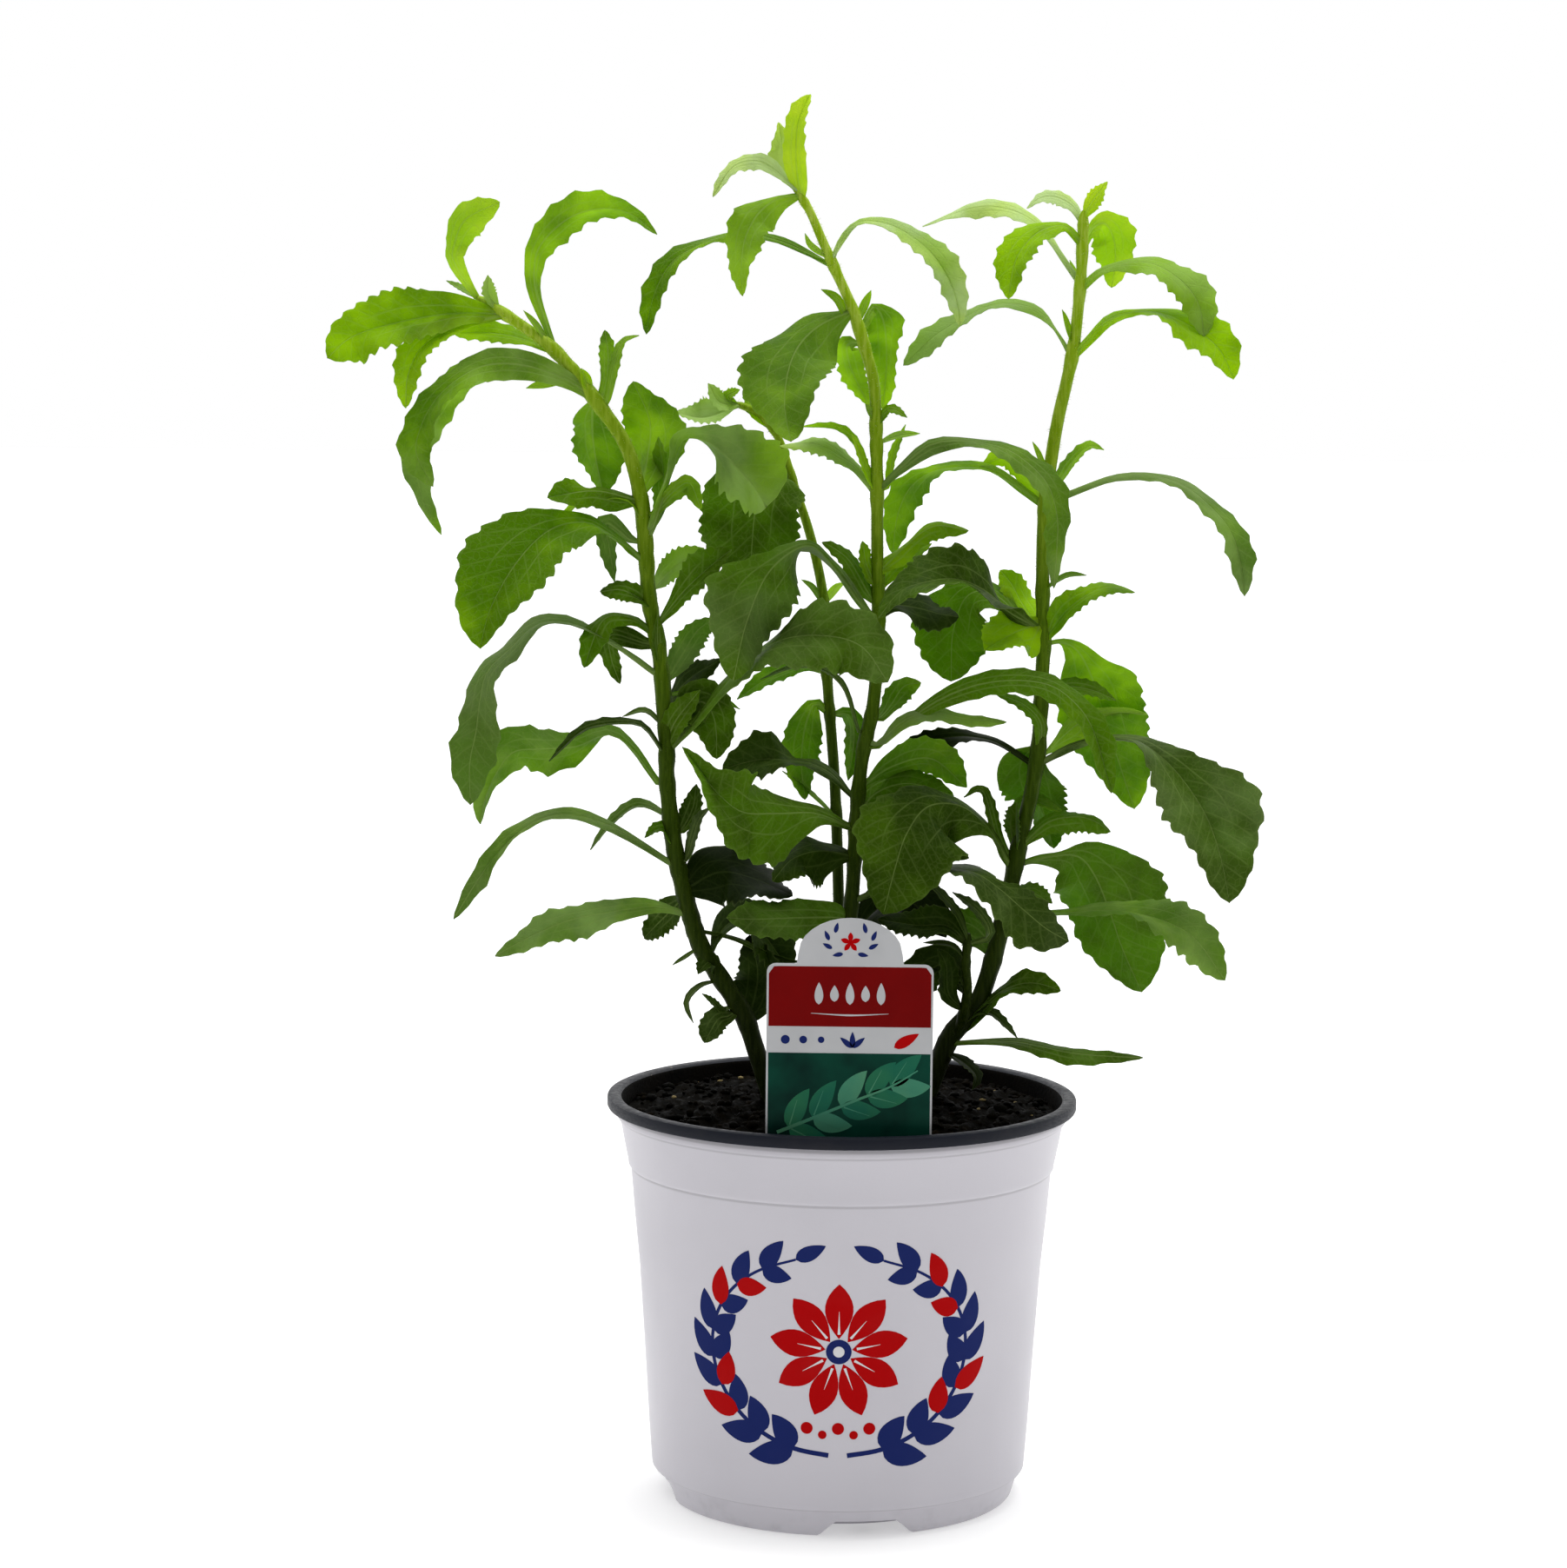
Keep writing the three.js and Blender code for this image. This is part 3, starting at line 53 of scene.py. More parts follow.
def addTo(heap, spots, faces, slot, **fields):
    spots = np.asarray(spots, float).reshape(-1, 3)
    base = heap["count"]
    heap["spots"].append(spots)
    heap["faces"] += [tuple(base + corner for corner in face) for face in faces]
    heap["slots"] += [slot] * len(faces)
    heap["count"] += len(spots)
    for name, store in heap["fields"].items():
        value = np.broadcast_to(np.asarray(fields.get(name, (0, 0, 0)), float), (len(spots), 3))
        store.append(value)


def makePiece(name, heap, finishes, crease=40):
    mesh = bpy.data.meshes.new(name)
    mesh.from_pydata(np.vstack(heap["spots"]) * mm, [], heap["faces"])
    mesh.polygons.foreach_set("material_index", np.asarray(heap["slots"], dtype=np.int32))
    for field, values in heap["fields"].items():
        made = mesh.attributes.new(field, "FLOAT_VECTOR", "POINT")
        made.data.foreach_set("vector", np.vstack(values).astype(np.float32).ravel())
    mesh.validate()
    mesh.shade_smooth()
    mesh.set_sharp_from_angle(angle=math.radians(crease))
    piece = bpy.data.objects.new(name, mesh)
    bpy.context.scene.collection.objects.link(piece)
    for finish in finishes:
        mesh.materials.append(finish)
    return piece


def skin(rings, size, closed=True):  # faces between rows of points of one size
    reach = size if closed else size - 1
    faces = []
    for row in range(rings - 1):
        for k in range(reach):
            a, b = row * size + k, row * size + (k + 1) % size
            faces.append((a, b, b + size, a + size))
    return faces


# Shader helpers


def startFinish(name):
    finish = bpy.data.materials.new(name)
    finish.use_nodes = True
    finish.node_tree.nodes.clear()
    return finish, finish.node_tree


def wire(tree, socket, value):
    if isinstance(value, bpy.types.NodeSocket):
        tree.links.new(value, socket)
    elif socket.type == "RGBA" and len(value) == 3:
        socket.default_value = (*value, 1)
    else:
        socket.default_value = value


def put(tree, kind, wires=None, out=0, **settings):
    node = tree.nodes.new(kind)
    for name, value in settings.items():
        setattr(node, name, value)
    for name, value in (wires or {}).items():
        wire(tree, node.inputs[name], value)
    return node.outputs[out]


def calc(tree, kind, a, b=0.0, c=0.0, clamp=False):
    return put(tree, "ShaderNodeMath", {0: a, 1: b, 2: c}, operation=kind, use_clamp=clamp)


def fade(tree, value, low, high, start=0.0, end=1.0):
    wires = {"Value": value, "From Min": low, "From Max": high, "To Min": start, "To Max": end}
    return put(tree, "ShaderNodeMapRange", wires, interpolation_type="SMOOTHSTEP")


def tint(tree, share, a, b, kind="MIX"):
    return put(tree, "ShaderNodeMix", {0: share, 6: a, 7: b}, out=2, data_type="RGBA", blend_type=kind)


def field(tree, name):
    spot = put(tree, "ShaderNodeAttribute", out=1, attribute_name=name)
    node = tree.nodes.new("ShaderNodeSeparateXYZ")
    tree.links.new(spot, node.inputs[0])
    return node.outputs[0], node.outputs[1], node.outputs[2]


def place(tree, stretch=(1, 1, 1)):
    spot = put(tree, "ShaderNodeTexCoord", out=3)
    return put(tree, "ShaderNodeMapping", {0: spot, 3: stretch})


def grain(tree, scale, detail=3.0, rough=0.55, spot=None):
    wires = {"Vector": spot or place(tree), "Scale": scale, "Detail": detail, "Roughness": rough}
    return put(tree, "ShaderNodeTexNoise", wires)


def flecks(tree, scale, size, share):  # small spots in some cells: 1 in a spot, 0 outside
    cell = tree.nodes.new("ShaderNodeTexVoronoi")
    wire(tree, cell.inputs["Vector"], place(tree))
    wire(tree, cell.inputs["Scale"], scale)
    chosen = tree.nodes.new("ShaderNodeSeparateColor")
    tree.links.new(cell.outputs["Color"], chosen.inputs[0])
    some = calc(tree, "LESS_THAN", chosen.outputs[0], share)
    reach = calc(tree, "MULTIPLY", chosen.outputs[1], size)
    return calc(tree, "MULTIPLY", calc(tree, "LESS_THAN", cell.outputs["Distance"], reach), some)


def relief(tree, height, depth, strength=1.0, under=None):
    wires = {"Height": height, "Distance": depth, "Strength": strength}
    if under is not None:
        wires["Normal"] = under
    return put(tree, "ShaderNodeBump", wires)


def endFinish(tree, surface):
    out = tree.nodes.new("ShaderNodeOutputMaterial")
    tree.links.new(surface, out.inputs["Surface"])


# Lines and how leaves lie on them


def setOut(spots, depths):  # points of the front sheet, moved along their sight lines to a depth
    spots, depths = np.asarray(spots, float), np.asarray(depths, float)
    reach = (depths - eye[1]) / -eye[1]
    return np.stack([spots[:, 0] * reach, depths, eye[2] + (spots[:, 1] - eye[2]) * reach], axis=1)


def along(values, part):
    if len(values) == 1:
        return part * 0 + values[0]
    return np.interp(part, np.linspace(0, 1, len(values)), values)


def shares(line):  # how far along the line each point is
    steps = np.hypot(*np.diff(np.asarray(line, float), axis=0).T)
    return np.concatenate([[0], np.cumsum(steps)]) / steps.sum()


def smoothLine(points, fine=24):
    points = np.asarray(points, float)
    padded = np.vstack([2 * points[0] - points[1], points, 2 * points[-1] - points[-2]])
    u = np.linspace(0, 1, fine, endpoint=False)[:, None]
    spans = []
    for a, b, c, d in zip(padded, padded[1:], padded[2:], padded[3:]):
        square, cube = 2 * a - 5 * b + 4 * c - d, 3 * b - a - 3 * c + d
        spans.append(0.5 * (2 * b + (c - a) * u + square * u**2 + cube * u**3))
    line = np.vstack(spans + [points[-1:]])
    run = np.concatenate([[0], np.cumsum(np.linalg.norm(np.diff(line, axis=0), axis=1))])
    return {"line": line, "run": run, "ahead": np.gradient(line, run, axis=0)}


def unit(rows):
    return rows / np.linalg.norm(rows, axis=-1, keepdims=True)


def onLine(curve, part):
    spot = np.asarray(part) * curve["run"][-1]
    centre = np.stack([np.interp(spot, curve["run"], curve["line"][:, k]) for k in range(3)], axis=-1)
    ahead = np.stack([np.interp(spot, curve["run"], curve["ahead"][:, k]) for k in range(3)], axis=-1)
    return centre, unit(ahead)


def stalk(radii, depths, line):
    depth = along(depths, shares(line))
    return {"radii": radii, "depths": depths, "line": line, "curve": smoothLine(setOut(line, depth))}


def leaf(wide, turn, out, line, up=None, down=None):
    return {"wide": wide, "turn": turn, "out": out, "line": line, "up": up, "down": down}


def rootOn(stem, spot):  # how far the stem is, its nearest point, and where on it that lies from 0 to 1
    best = None
    part = shares(stem["line"])
    for i, (a, b) in enumerate(zip(stem["line"], stem["line"][1:])):
        a, b = np.array(a, float), np.array(b, float)
        share = min(max(float(np.dot(spot - a, b - a) / np.dot(b - a, b - a)), 0), 1)
        near = a + (b - a) * share
        gap = float(np.linalg.norm(near - spot))
        if best is None or gap < best[0]:
            best = (gap, near, part[i] + (part[i + 1] - part[i]) * share)
    return best


nearStem = 2.5  # a first point closer than this is the root itself


def midrib(entry, stem):
    gap, root, part = rootOn(stem, np.array(entry["line"][0], float))
    rest = entry["line"][1:] if gap < nearStem else entry["line"]
    line = [list(root)] + rest
    depth = along(stem["depths"], part) + along([0] + entry["out"], shares(line))
    return smoothLine(setOut(line, depth)), part


# Leaves

leafShape = {
    "fold": (0.18, 0.32),  # how far both halves stand up from the midrib, in radians
    "arch": (0.1, 0.26),  # how far they bow between midrib and margin
    "wave": 0.055,  # ripple of the margin, of the half width
    "waves": (2.3, 3.4),  # ripples from foot to tip: opposite on both sides, and alike
    "teethFrom": 0.37,
    "teethTo": 0.965,
    "toothless": 5,  # leaves narrower than this have no teeth
    "teeth": {"broad": 9, "middle": 7, "slim": 5},
    "bareRows": {"broad": 13, "middle": 9, "slim": 6},
    "toothDepth": {"broad": 1.1, "middle": 0.8, "slim": 0.5},
    "toothShare": 0.24,  # a tooth takes no more of the half width than this
    "toothRest": 0.45,  # the share of a tooth that stands inside the plain outline
    "swell": {"broad": 1.5, "slim": 1.05},
    "close": 0.9,
    "blunt": 0.6,  # how roundly a leaf with given half widths closes
    "narrow": 6,  # leaves narrower than this are plain and thin
    "slim": 11,  # leaves narrower than this open more evenly
    "broad": 22,
    "blade": 0.34,  # thickness of the blade, and of its margin
    "margin": 0.18,
    "stalk": 1.5,  # thickness at the foot
    "stalkHalf": 1.1,  # half width at the foot
    "rib": 0.5,  # how far the midrib stands out below
    "ribWidth": {"broad": 0.09, "middle": 0.16, "slim": 0.16},  # of the half width
}

toothForms = {  # how far the margin stands out from notch to notch
    "broad": (0.0, 0.38, 0.68, 0.9, 1.0, 0.2),
    "middle": (0.0, 0.55, 1.0, 0.15),
}


def leafKind(wide):
    return "broad" if wide >= leafShape["broad"] else "middle" if wide >= leafShape["slim"] else "slim"


def stalkHalf(wide):
    return min(leafShape["stalkHalf"], wide * 0.16)


def marginRows(wide):  # where the sections lie, and how far the margin stands out there on each side
    kind = leafKind(wide)
    teeth = leafShape["teeth"][kind] if wide >= leafShape["toothless"] else 0
    form = toothForms["broad" if kind == "broad" else "middle"]
    steps = len(form)
    low, high = leafShape["teethFrom"], leafShape["teethTo"]
    bare = np.linspace(0, low, leafShape["bareRows"][kind])[:-1]
    part, left, right = list(bare), [0.0] * len(bare), [0.0] * len(bare)
    if not teeth:
        part += list(np.linspace(low, 0.985, 7))
        left += [0.0] * 7
        right += [0.0] * 7
    for tooth in range(teeth):
        for k in range(steps):
            share = (tooth + k / steps) / teeth
            grow = min(1.0, 3 * share + 0.3)  # the first teeth are shallow
            part.append(low + (high - low) * share)
            left.append(grow * (form[k] - 1 + leafShape["toothRest"]))
            right.append(grow * (form[(k + steps // 2) % steps] - 1 + leafShape["toothRest"]))
    part += [0.982, 1.0]
    left += [0.0, 0.0]
    right += [0.0, 0.0]
    return np.array(part), np.array(left), np.array(right)


def acrossSteps(wide):
    if wide >= leafShape["broad"]:
        half = [0.035, 0.1, 0.24, 0.44, 0.66, 0.86, 1]
    elif wide >= leafShape["slim"]:
        half = [0.05, 0.14, 0.36, 0.62, 0.84, 1]
    else:
        half = [0.08, 0.4, 0.75, 1] if wide >= leafShape["narrow"] else [0.35, 1]
    return np.array([-v for v in half[::-1]] + [0] + half)


def halfWidth(wide, part):
    rise = leafShape["swell"]["slim" if wide < leafShape["slim"] else "broad"]
    widest = rise / (rise + leafShape["close"])
    part = np.clip(part, 0, 1)
    return wide / 2 * (part / widest) ** rise * ((1 - part) / (1 - widest)) ** leafShape["close"]


def inSight(values, least, part):  # the half width that the eye sees on one side
    places = [0, 10, 25, 40, 55, 70, 85]
    path = smoothLine([[place, value] for place, value in zip(places, [least] + values)])["line"]
    body = np.interp(part * 100, path[:, 0], path[:, 1])
    end = values[-1] * np.clip((1 - part) / 0.15, 0, 1) ** leafShape["blunt"]
    return np.where(part < 0.85, body, end)


def turnsAlong(values, part):  # the turn of the upper face from the eye, in radians
    values = values * 2 if len(values) < 2 else values
    path = smoothLine([[k, value, 0] for k, value in enumerate(values)])["line"]
    return np.radians(np.interp(part * (len(values) - 1), path[:, 0], path[:, 1]))


def margins(entry, part, turn, half, fold):  # the far and the near margin, upward and towards the eye
    if entry["up"] is None:
        far = half * np.cos(turn - fold), -half * np.sin(turn - fold)
        return far, (-half * np.cos(turn + fold), half * np.sin(turn + fold))
    least = stalkHalf(entry["wide"])
    up, down = inSight(entry["up"], least, part), inSight(entry["down"], least, part)
    whole = np.maximum(half, np.maximum(up, down))
    share = np.clip((np.degrees(turn) - 80) / 20, 0, 1)  # past the side view the far margin is the lower one
    share = share * share * (3 - 2 * share)
    farUp = up * (1 - share) - down * share
    nearUp = up * share - down * (1 - share)
    farOut = -np.clip(1.8 * np.sin(turn - fold), -1, 1) * np.sqrt(whole**2 - farUp**2)
    nearOut = np.clip(1.8 * np.sin(turn + fold), -1, 1) * np.sqrt(whole**2 - nearUp**2)
    return (farUp, farOut), (nearUp, nearOut)


def leafAxes(entry, centre, ahead):  # towards the eye and upward, both square to the midrib, and the hand
    view = unit(eye - centre)
    facing = unit(view - ahead * np.sum(view * ahead, axis=1, keepdims=True))
    hand = 1 if entry["line"][-1][0] >= entry["line"][0][0] else -1
    return facing, unit(np.cross(view, ahead)) * hand, hand


def toothCuts(wide, part, sides):  # how much of each half width its teeth take
    outer = part > leafShape["teethFrom"]
    depth = leafShape["toothDepth"][leafKind(wide)]
    seen = [max(float(np.mean(np.abs(rise[outer]))), 0.5) for rise, _ in sides]
    return [min(depth / reach, leafShape["toothShare"]) for reach in seen]


def bladeLift(wide, part, v, span, share, arch, phases):  # how far the blade bows and ripples
    ripple = leafShape["wave"] * min(1.0, wide / 20)
    bend = span * arch * (share - share**2)
    turns = [count * math.pi * 2 * part[:, None] + phase for count, phase in zip(leafShape["waves"], phases)]
    bend = bend + span * ripple * v * np.abs(v) * np.sin(turns[0])
    return bend + span * ripple * v**2 * np.sin(turns[1])


def bladeThickness(wide, part, v):
    blade = leafShape["blade"] * (0.75 if wide < leafShape["narrow"] else 1)
    thick = leafShape["margin"] + (blade - leafShape["margin"]) * (1 - v**4)
    foot = np.clip(1 - part / 0.3, 0, 1)[:, None] ** 1.5
    return thick + (min(leafShape["stalk"], wide * 0.2) - blade) * foot * (1 - 0.7 * v**2)


def ribDepth(wide, part, v):
    width = leafShape["ribWidth"][leafKind(wide)]
    return leafShape["rib"] * min(1, wide / 20) * np.exp(-((v / width) ** 2)) * (1 - 0.8 * part[:, None])


def leafFaces(rows, steps):  # the skin of a leaf, closed at foot and tip
    size = 2 * steps
    base = (rows - 1) * size
    faces = skin(rows, size)
    for k in range(steps - 1):
        mate = size - 1 - k
        faces.append((k, mate, mate - 1, k + 1))
        faces.append((base + k, base + k + 1, base + mate - 1, base + mate))
    return faces


def aroundLeaf(under, top):  # row by row: across below, then back above
    return np.concatenate([under, top[:, ::-1]], axis=1).reshape(-1)


def addLeaf(heap, entry, stem, tone):
    curve, rootPart = midrib(entry, stem)
    wide = entry["wide"]
    part, left, right = marginRows(wide)
    v = acrossSteps(wide)
    centre, ahead = onLine(curve, part)
    facing, upward, hand = leafAxes(entry, centre, ahead)
    turn = turnsAlong(entry["turn"], part)
    half = np.maximum(halfWidth(wide, part), stalkHalf(wide) * (1 - 0.75 * part))
    fold, arch = random.uniform(*leafShape["fold"]), random.uniform(*leafShape["arch"])
    phases = random.uniform(0, 6.28), random.uniform(0, 6.28)
    far, near = margins(entry, part, turn, half, fold)
    sides = (near, far)[::hand]
    reaches = [upward * rise[:, None] + facing * out[:, None] for rise, out in sides]
    spans = [np.maximum(np.linalg.norm(reach, axis=1), 0.05) for reach in reaches]
    normals = [unit(np.cross(reaches[0], ahead)), unit(np.cross(ahead, reaches[1]))]
    onRight = np.clip(0.5 + v / 0.5, 0, 1)[:, None]  # the two halves blend near the midrib
    normal = unit(normals[0][:, None] * (1 - onRight) + normals[1][:, None] * onRight)
    span = np.where(v < 0, spans[0][:, None], spans[1][:, None])
    cuts = toothCuts(wide, part, sides)
    tooth = np.where(v < 0, left[:, None] * cuts[0], right[:, None] * cuts[1])
    share = np.abs(v) * (1 + tooth * np.abs(v) ** 3)
    reach = np.where((v < 0)[None, :, None], reaches[0][:, None], reaches[1][:, None])
    middle = centre[:, None] + reach * share[..., None]
    bend = bladeLift(wide, part, v, span, share, arch, phases)
    thick = bladeThickness(wide, part, v)
    top = middle + normal * (bend + thick / 2)[..., None]
    under = middle + normal * (bend - thick / 2 - ribDepth(wide, part, v))[..., None]
    spots = np.concatenate([under, top[:, ::-1]], axis=1)
    across = np.broadcast_to(v, (len(part), len(v)))
    onward = np.broadcast_to(part[:, None], across.shape)
    run, offset = onward * curve["run"][-1], span * share * np.sign(v)
    maps = [(onward, onward), (across, across), (across * 0, across * 0 + 1)]
    rules = [(run, run), (offset, offset), (span, span)]
    leafMap = np.stack([aroundLeaf(*pair) for pair in maps], axis=1)
    leafRule = np.stack([aroundLeaf(*pair) for pair in rules], axis=1)
    leafTone = (random.random(), *tone)  # a spare chance, how light (partly painted light and shade), how grey (underside colour and painted sheen)
    faces = leafFaces(len(part), len(v))
    addTo(heap, spots, faces, 0, leafMap=leafMap, leafRule=leafRule, leafTone=leafTone)
    return rootPart


# Stems

stemShape = {
    "sides": 16,
    "step": 2.4,
    "ribs": (6, 0.03),  # how many fine ridges, and how high against the radius
    "knuckle": 0.4,  # how far a joint swells the stem, and over what length
    "knuckleReach": 2.4,
    "tip": (0.8, 0.35),  # the last two rings close the stem
    "hairs": 4,  # for each millimetre
    "hairLength": (0.7, 1.5),
    "hairWidth": 0.07,
}

# Lightness by height: the lighter young growth at the top, and painted shade on the lower leaves
plainTones = {"height": [150, 200, 250, 300, 350, 400, 450], "light": [0.35, 0.42, 0.5, 0.58, 0.75, 0.9, 1]}


def toneAt(entry):  # how light and how grey a leaf is that has no tone of its own; leaves low in the middle of the plant are made deeper as painted shade
    x, z = entry["line"][len(entry["line"]) // 2]
    light = float(np.interp(z, plainTones["height"], plainTones["light"]))
    # painted shade: leaves low in the middle of the plant are made deeper
    paintedInnerShade = min(max((60 - abs(x - 5)) / 30, 0), 1) * min(max((270 - z) / 40, 0), 1)
    return light - 0.25 * paintedInnerShade + random.uniform(-0.06, 0.06), random.uniform(0, 0.3)


def addStem(heap, stem, joints):
    curve = stem["curve"]
    length = curve["run"][-1]
    count = max(8, int(length / stemShape["step"]))
    part = np.linspace(0, 1, count)
    centre, ahead = onLine(curve, part)
    across = unit(np.cross([0, 1, 0], ahead))
    over = np.cross(ahead, across)
    close = np.zeros(count)
    for joint in joints:
        close = np.maximum(close, np.exp(-(((part - joint) * length / stemShape["knuckleReach"]) ** 2)))
    radius = along(stem["radii"], part) + stemShape["knuckle"] * close
    radius[-2:] *= stemShape["tip"]
    sides = stemShape["sides"]
    angle = np.arange(sides) / sides * 2 * math.pi
    ridges, ridge = stemShape["ribs"]
    ribbed = radius[:, None] * (1 + ridge * np.cos(ridges * angle))
    spots = centre[:, None] + across[:, None] * (ribbed * np.cos(angle))[..., None]
    spots = spots + over[:, None] * (ribbed * np.sin(angle))[..., None]
    faces = skin(count, sides)
    faces.append(tuple(range(sides))[::-1])
    faces.append(tuple((count - 1) * sides + k for k in range(sides)))
    high, near = np.repeat(centre[:, 2], sides), np.repeat(close, sides)
    leafMap = np.stack([high * 0, high * 0, high], axis=1)
    leafRule = np.stack([near * 0, near, near * 0], axis=1)
    addTo(heap, spots, faces, 1, leafMap=leafMap, leafRule=leafRule)
    addHairs(heap, centre, ahead, across, over, radius, int(length * stemShape["hairs"]))


def addHairs(heap, centre, ahead, across, over, radius, count):
    rows = np.array([random.randrange(2, len(centre) - 1) for _ in range(count)])
    spots = []
    for row in rows:
        angle = random.uniform(0, 2 * math.pi)
        out = across[row] * math.cos(angle) + over[row] * math.sin(angle)
        root = centre[row] + out * radius[row] * 0.96 + ahead[row] * random.uniform(-1.2, 1.2)
        onward, aside = random.uniform(-0.5, 0.7), random.uniform(-0.4, 0.4)
        lean = unit(out + ahead[row] * onward + np.cross(out, ahead[row]) * aside)
        flank = unit(np.cross(lean, ahead[row] + out * 0.3)) * stemShape["hairWidth"]
        rise = np.cross(lean, flank)
        spots += [root + flank, root - flank * 0.5 + rise * 0.87, root - flank * 0.5 - rise * 0.87]
        spots.append(root + lean * random.uniform(*stemShape["hairLength"]))
    faces = []
    for k in range(count):
        a = 4 * k
        faces += [(a, a + 2, a + 1), (a, a + 1, a + 3), (a + 1, a + 2, a + 3), (a + 2, a, a + 3)]
    high = np.repeat(centre[rows, 2], 4)
    addTo(heap, spots, faces, 2, leafMap=np.stack([high * 0, high * 0, high], axis=1))


def leafyStem(name, parts, nodes):
    heap = newHeap("leafMap", "leafRule", "leafTone")
    for stem, leaves, tones in parts:
        joints = []
        for place, entry in enumerate(leaves):
            plain = toneAt(entry)
            joints.append(addLeaf(heap, entry, stem, tones.get(place, plain)))
        addStem(heap, stem, joints)
    piece = makePiece(name, heap, [leafFinish, stemFinish, hairFinish], crease=55)
    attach(piece, "root")
    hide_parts(nodes)
    print(name, len(heap["faces"]), "faces")
    return piece


# Finishes of the plant

leafLook = {
    "vivid": [  # from deep to light
        (0.006, 0.014, 0.0002),
        (0.025, 0.056, 0.0008),
        (0.09, 0.185, 0.003),
        (0.25, 0.405, 0.005),
        (0.5, 0.62, 0.03),
    ],
    # pale grey-green: the underside's own colour, and painted sheen where upper faces catch the white
    # surroundings
    "grey": [
        (0.012, 0.02, 0.005),
        (0.05, 0.08, 0.02),
        (0.145, 0.225, 0.058),
        (0.3, 0.44, 0.14),
        (0.52, 0.65, 0.34),
    ],
    "through": [
        (0.012, 0.035, 0.0),
        (0.045, 0.12, 0.0),
        (0.21, 0.45, 0.003),
        (0.62, 0.88, 0.01),
        (0.85, 0.98, 0.1),
    ],
    "throughShare": (0.15, 0.5),
    "vein": (0.34, 0.46, 0.13),
    "shine": 0.03,
    "rough": (0.42, 0.58),
    "mottle": 90,  # how fine the grains are
    "blotch": 28,
    "patch": 45,
    "cells": 420,  # the net of small veins
    "patches": 0.3,  # how much the grey, underside colour and painted sheen, comes and goes over a leaf
    "ribWidth": (0.52, 0.17),  # half of the midrib's line at foot and tip, in millimetres
    "longPath": 0.4,  # the long side veins, of the half width
    "veinSpace": 6.4,  # from one slanting vein to the next, in millimetres
    "veinSlant": 1.05,
    "veinSway": 7.0,
    "long": 0.6,  # how strongly each kind of vein shows
    "side": 0.36,
    "net": 0.26,
    "bump": 0.00045,
}


def byTone(tree, tone, stops):  # a colour between the stops, from deep to light
    colour = stops[0]
    for k, stop in enumerate(stops[1:]):
        colour = tint(tree, fade(tree, tone, k / 3, (k + 1) / 3), colour, stop)
    return colour


def leafVeins(tree, part, rim, away, run, half, blotch):  # midrib, two long veins, slanting ones, a net
    foot, tip = leafLook["ribWidth"]
    width = calc(tree, "MULTIPLY_ADD", part, tip - foot, foot)
    rib = fade(tree, away, calc(tree, "MULTIPLY", width, 1.3), calc(tree, "MULTIPLY", width, 0.4))
    path = calc(tree, "SUBTRACT", away, calc(tree, "MULTIPLY", half, leafLook["longPath"]))
    long = fade(tree, calc(tree, "ABSOLUTE", path), 0.5, 0.1)
    long = calc(tree, "MULTIPLY", long, fade(tree, part, 0.85, 0.6))
    slant = calc(tree, "SUBTRACT", run, calc(tree, "MULTIPLY", away, leafLook["veinSlant"]))
    slant = calc(tree, "MULTIPLY_ADD", blotch, leafLook["veinSway"], slant)
    wave = calc(tree, "PINGPONG", calc(tree, "DIVIDE", slant, leafLook["veinSpace"]), 0.5)
    side = calc(tree, "MULTIPLY", fade(tree, wave, 0.11, 0.02), fade(tree, rim, 0.95, 0.7))
    wires = {"Vector": place(tree), "Scale": leafLook["cells"]}
    cells = put(tree, "ShaderNodeTexVoronoi", wires, feature="DISTANCE_TO_EDGE")
    veins = calc(tree, "MAXIMUM", rib, calc(tree, "MULTIPLY", long, leafLook["long"]))
    veins = calc(tree, "MAXIMUM", veins, calc(tree, "MULTIPLY", side, leafLook["side"]))
    return calc(tree, "MAXIMUM", veins, fade(tree, cells, 0.09, 0.01, 0.0, leafLook["net"]))


def greySheenPatches(tree, grey):  # the grey, underside colour and painted sheen, comes and goes in patches
    reach = leafLook["patches"]
    patch = fade(tree, grain(tree, leafLook["patch"], 2), 0.35, 0.65, -reach, reach)
    patch = calc(tree, "MULTIPLY", patch, fade(tree, grey, 0.05, 0.4))
    return calc(tree, "ADD", grey, patch, clamp=True)


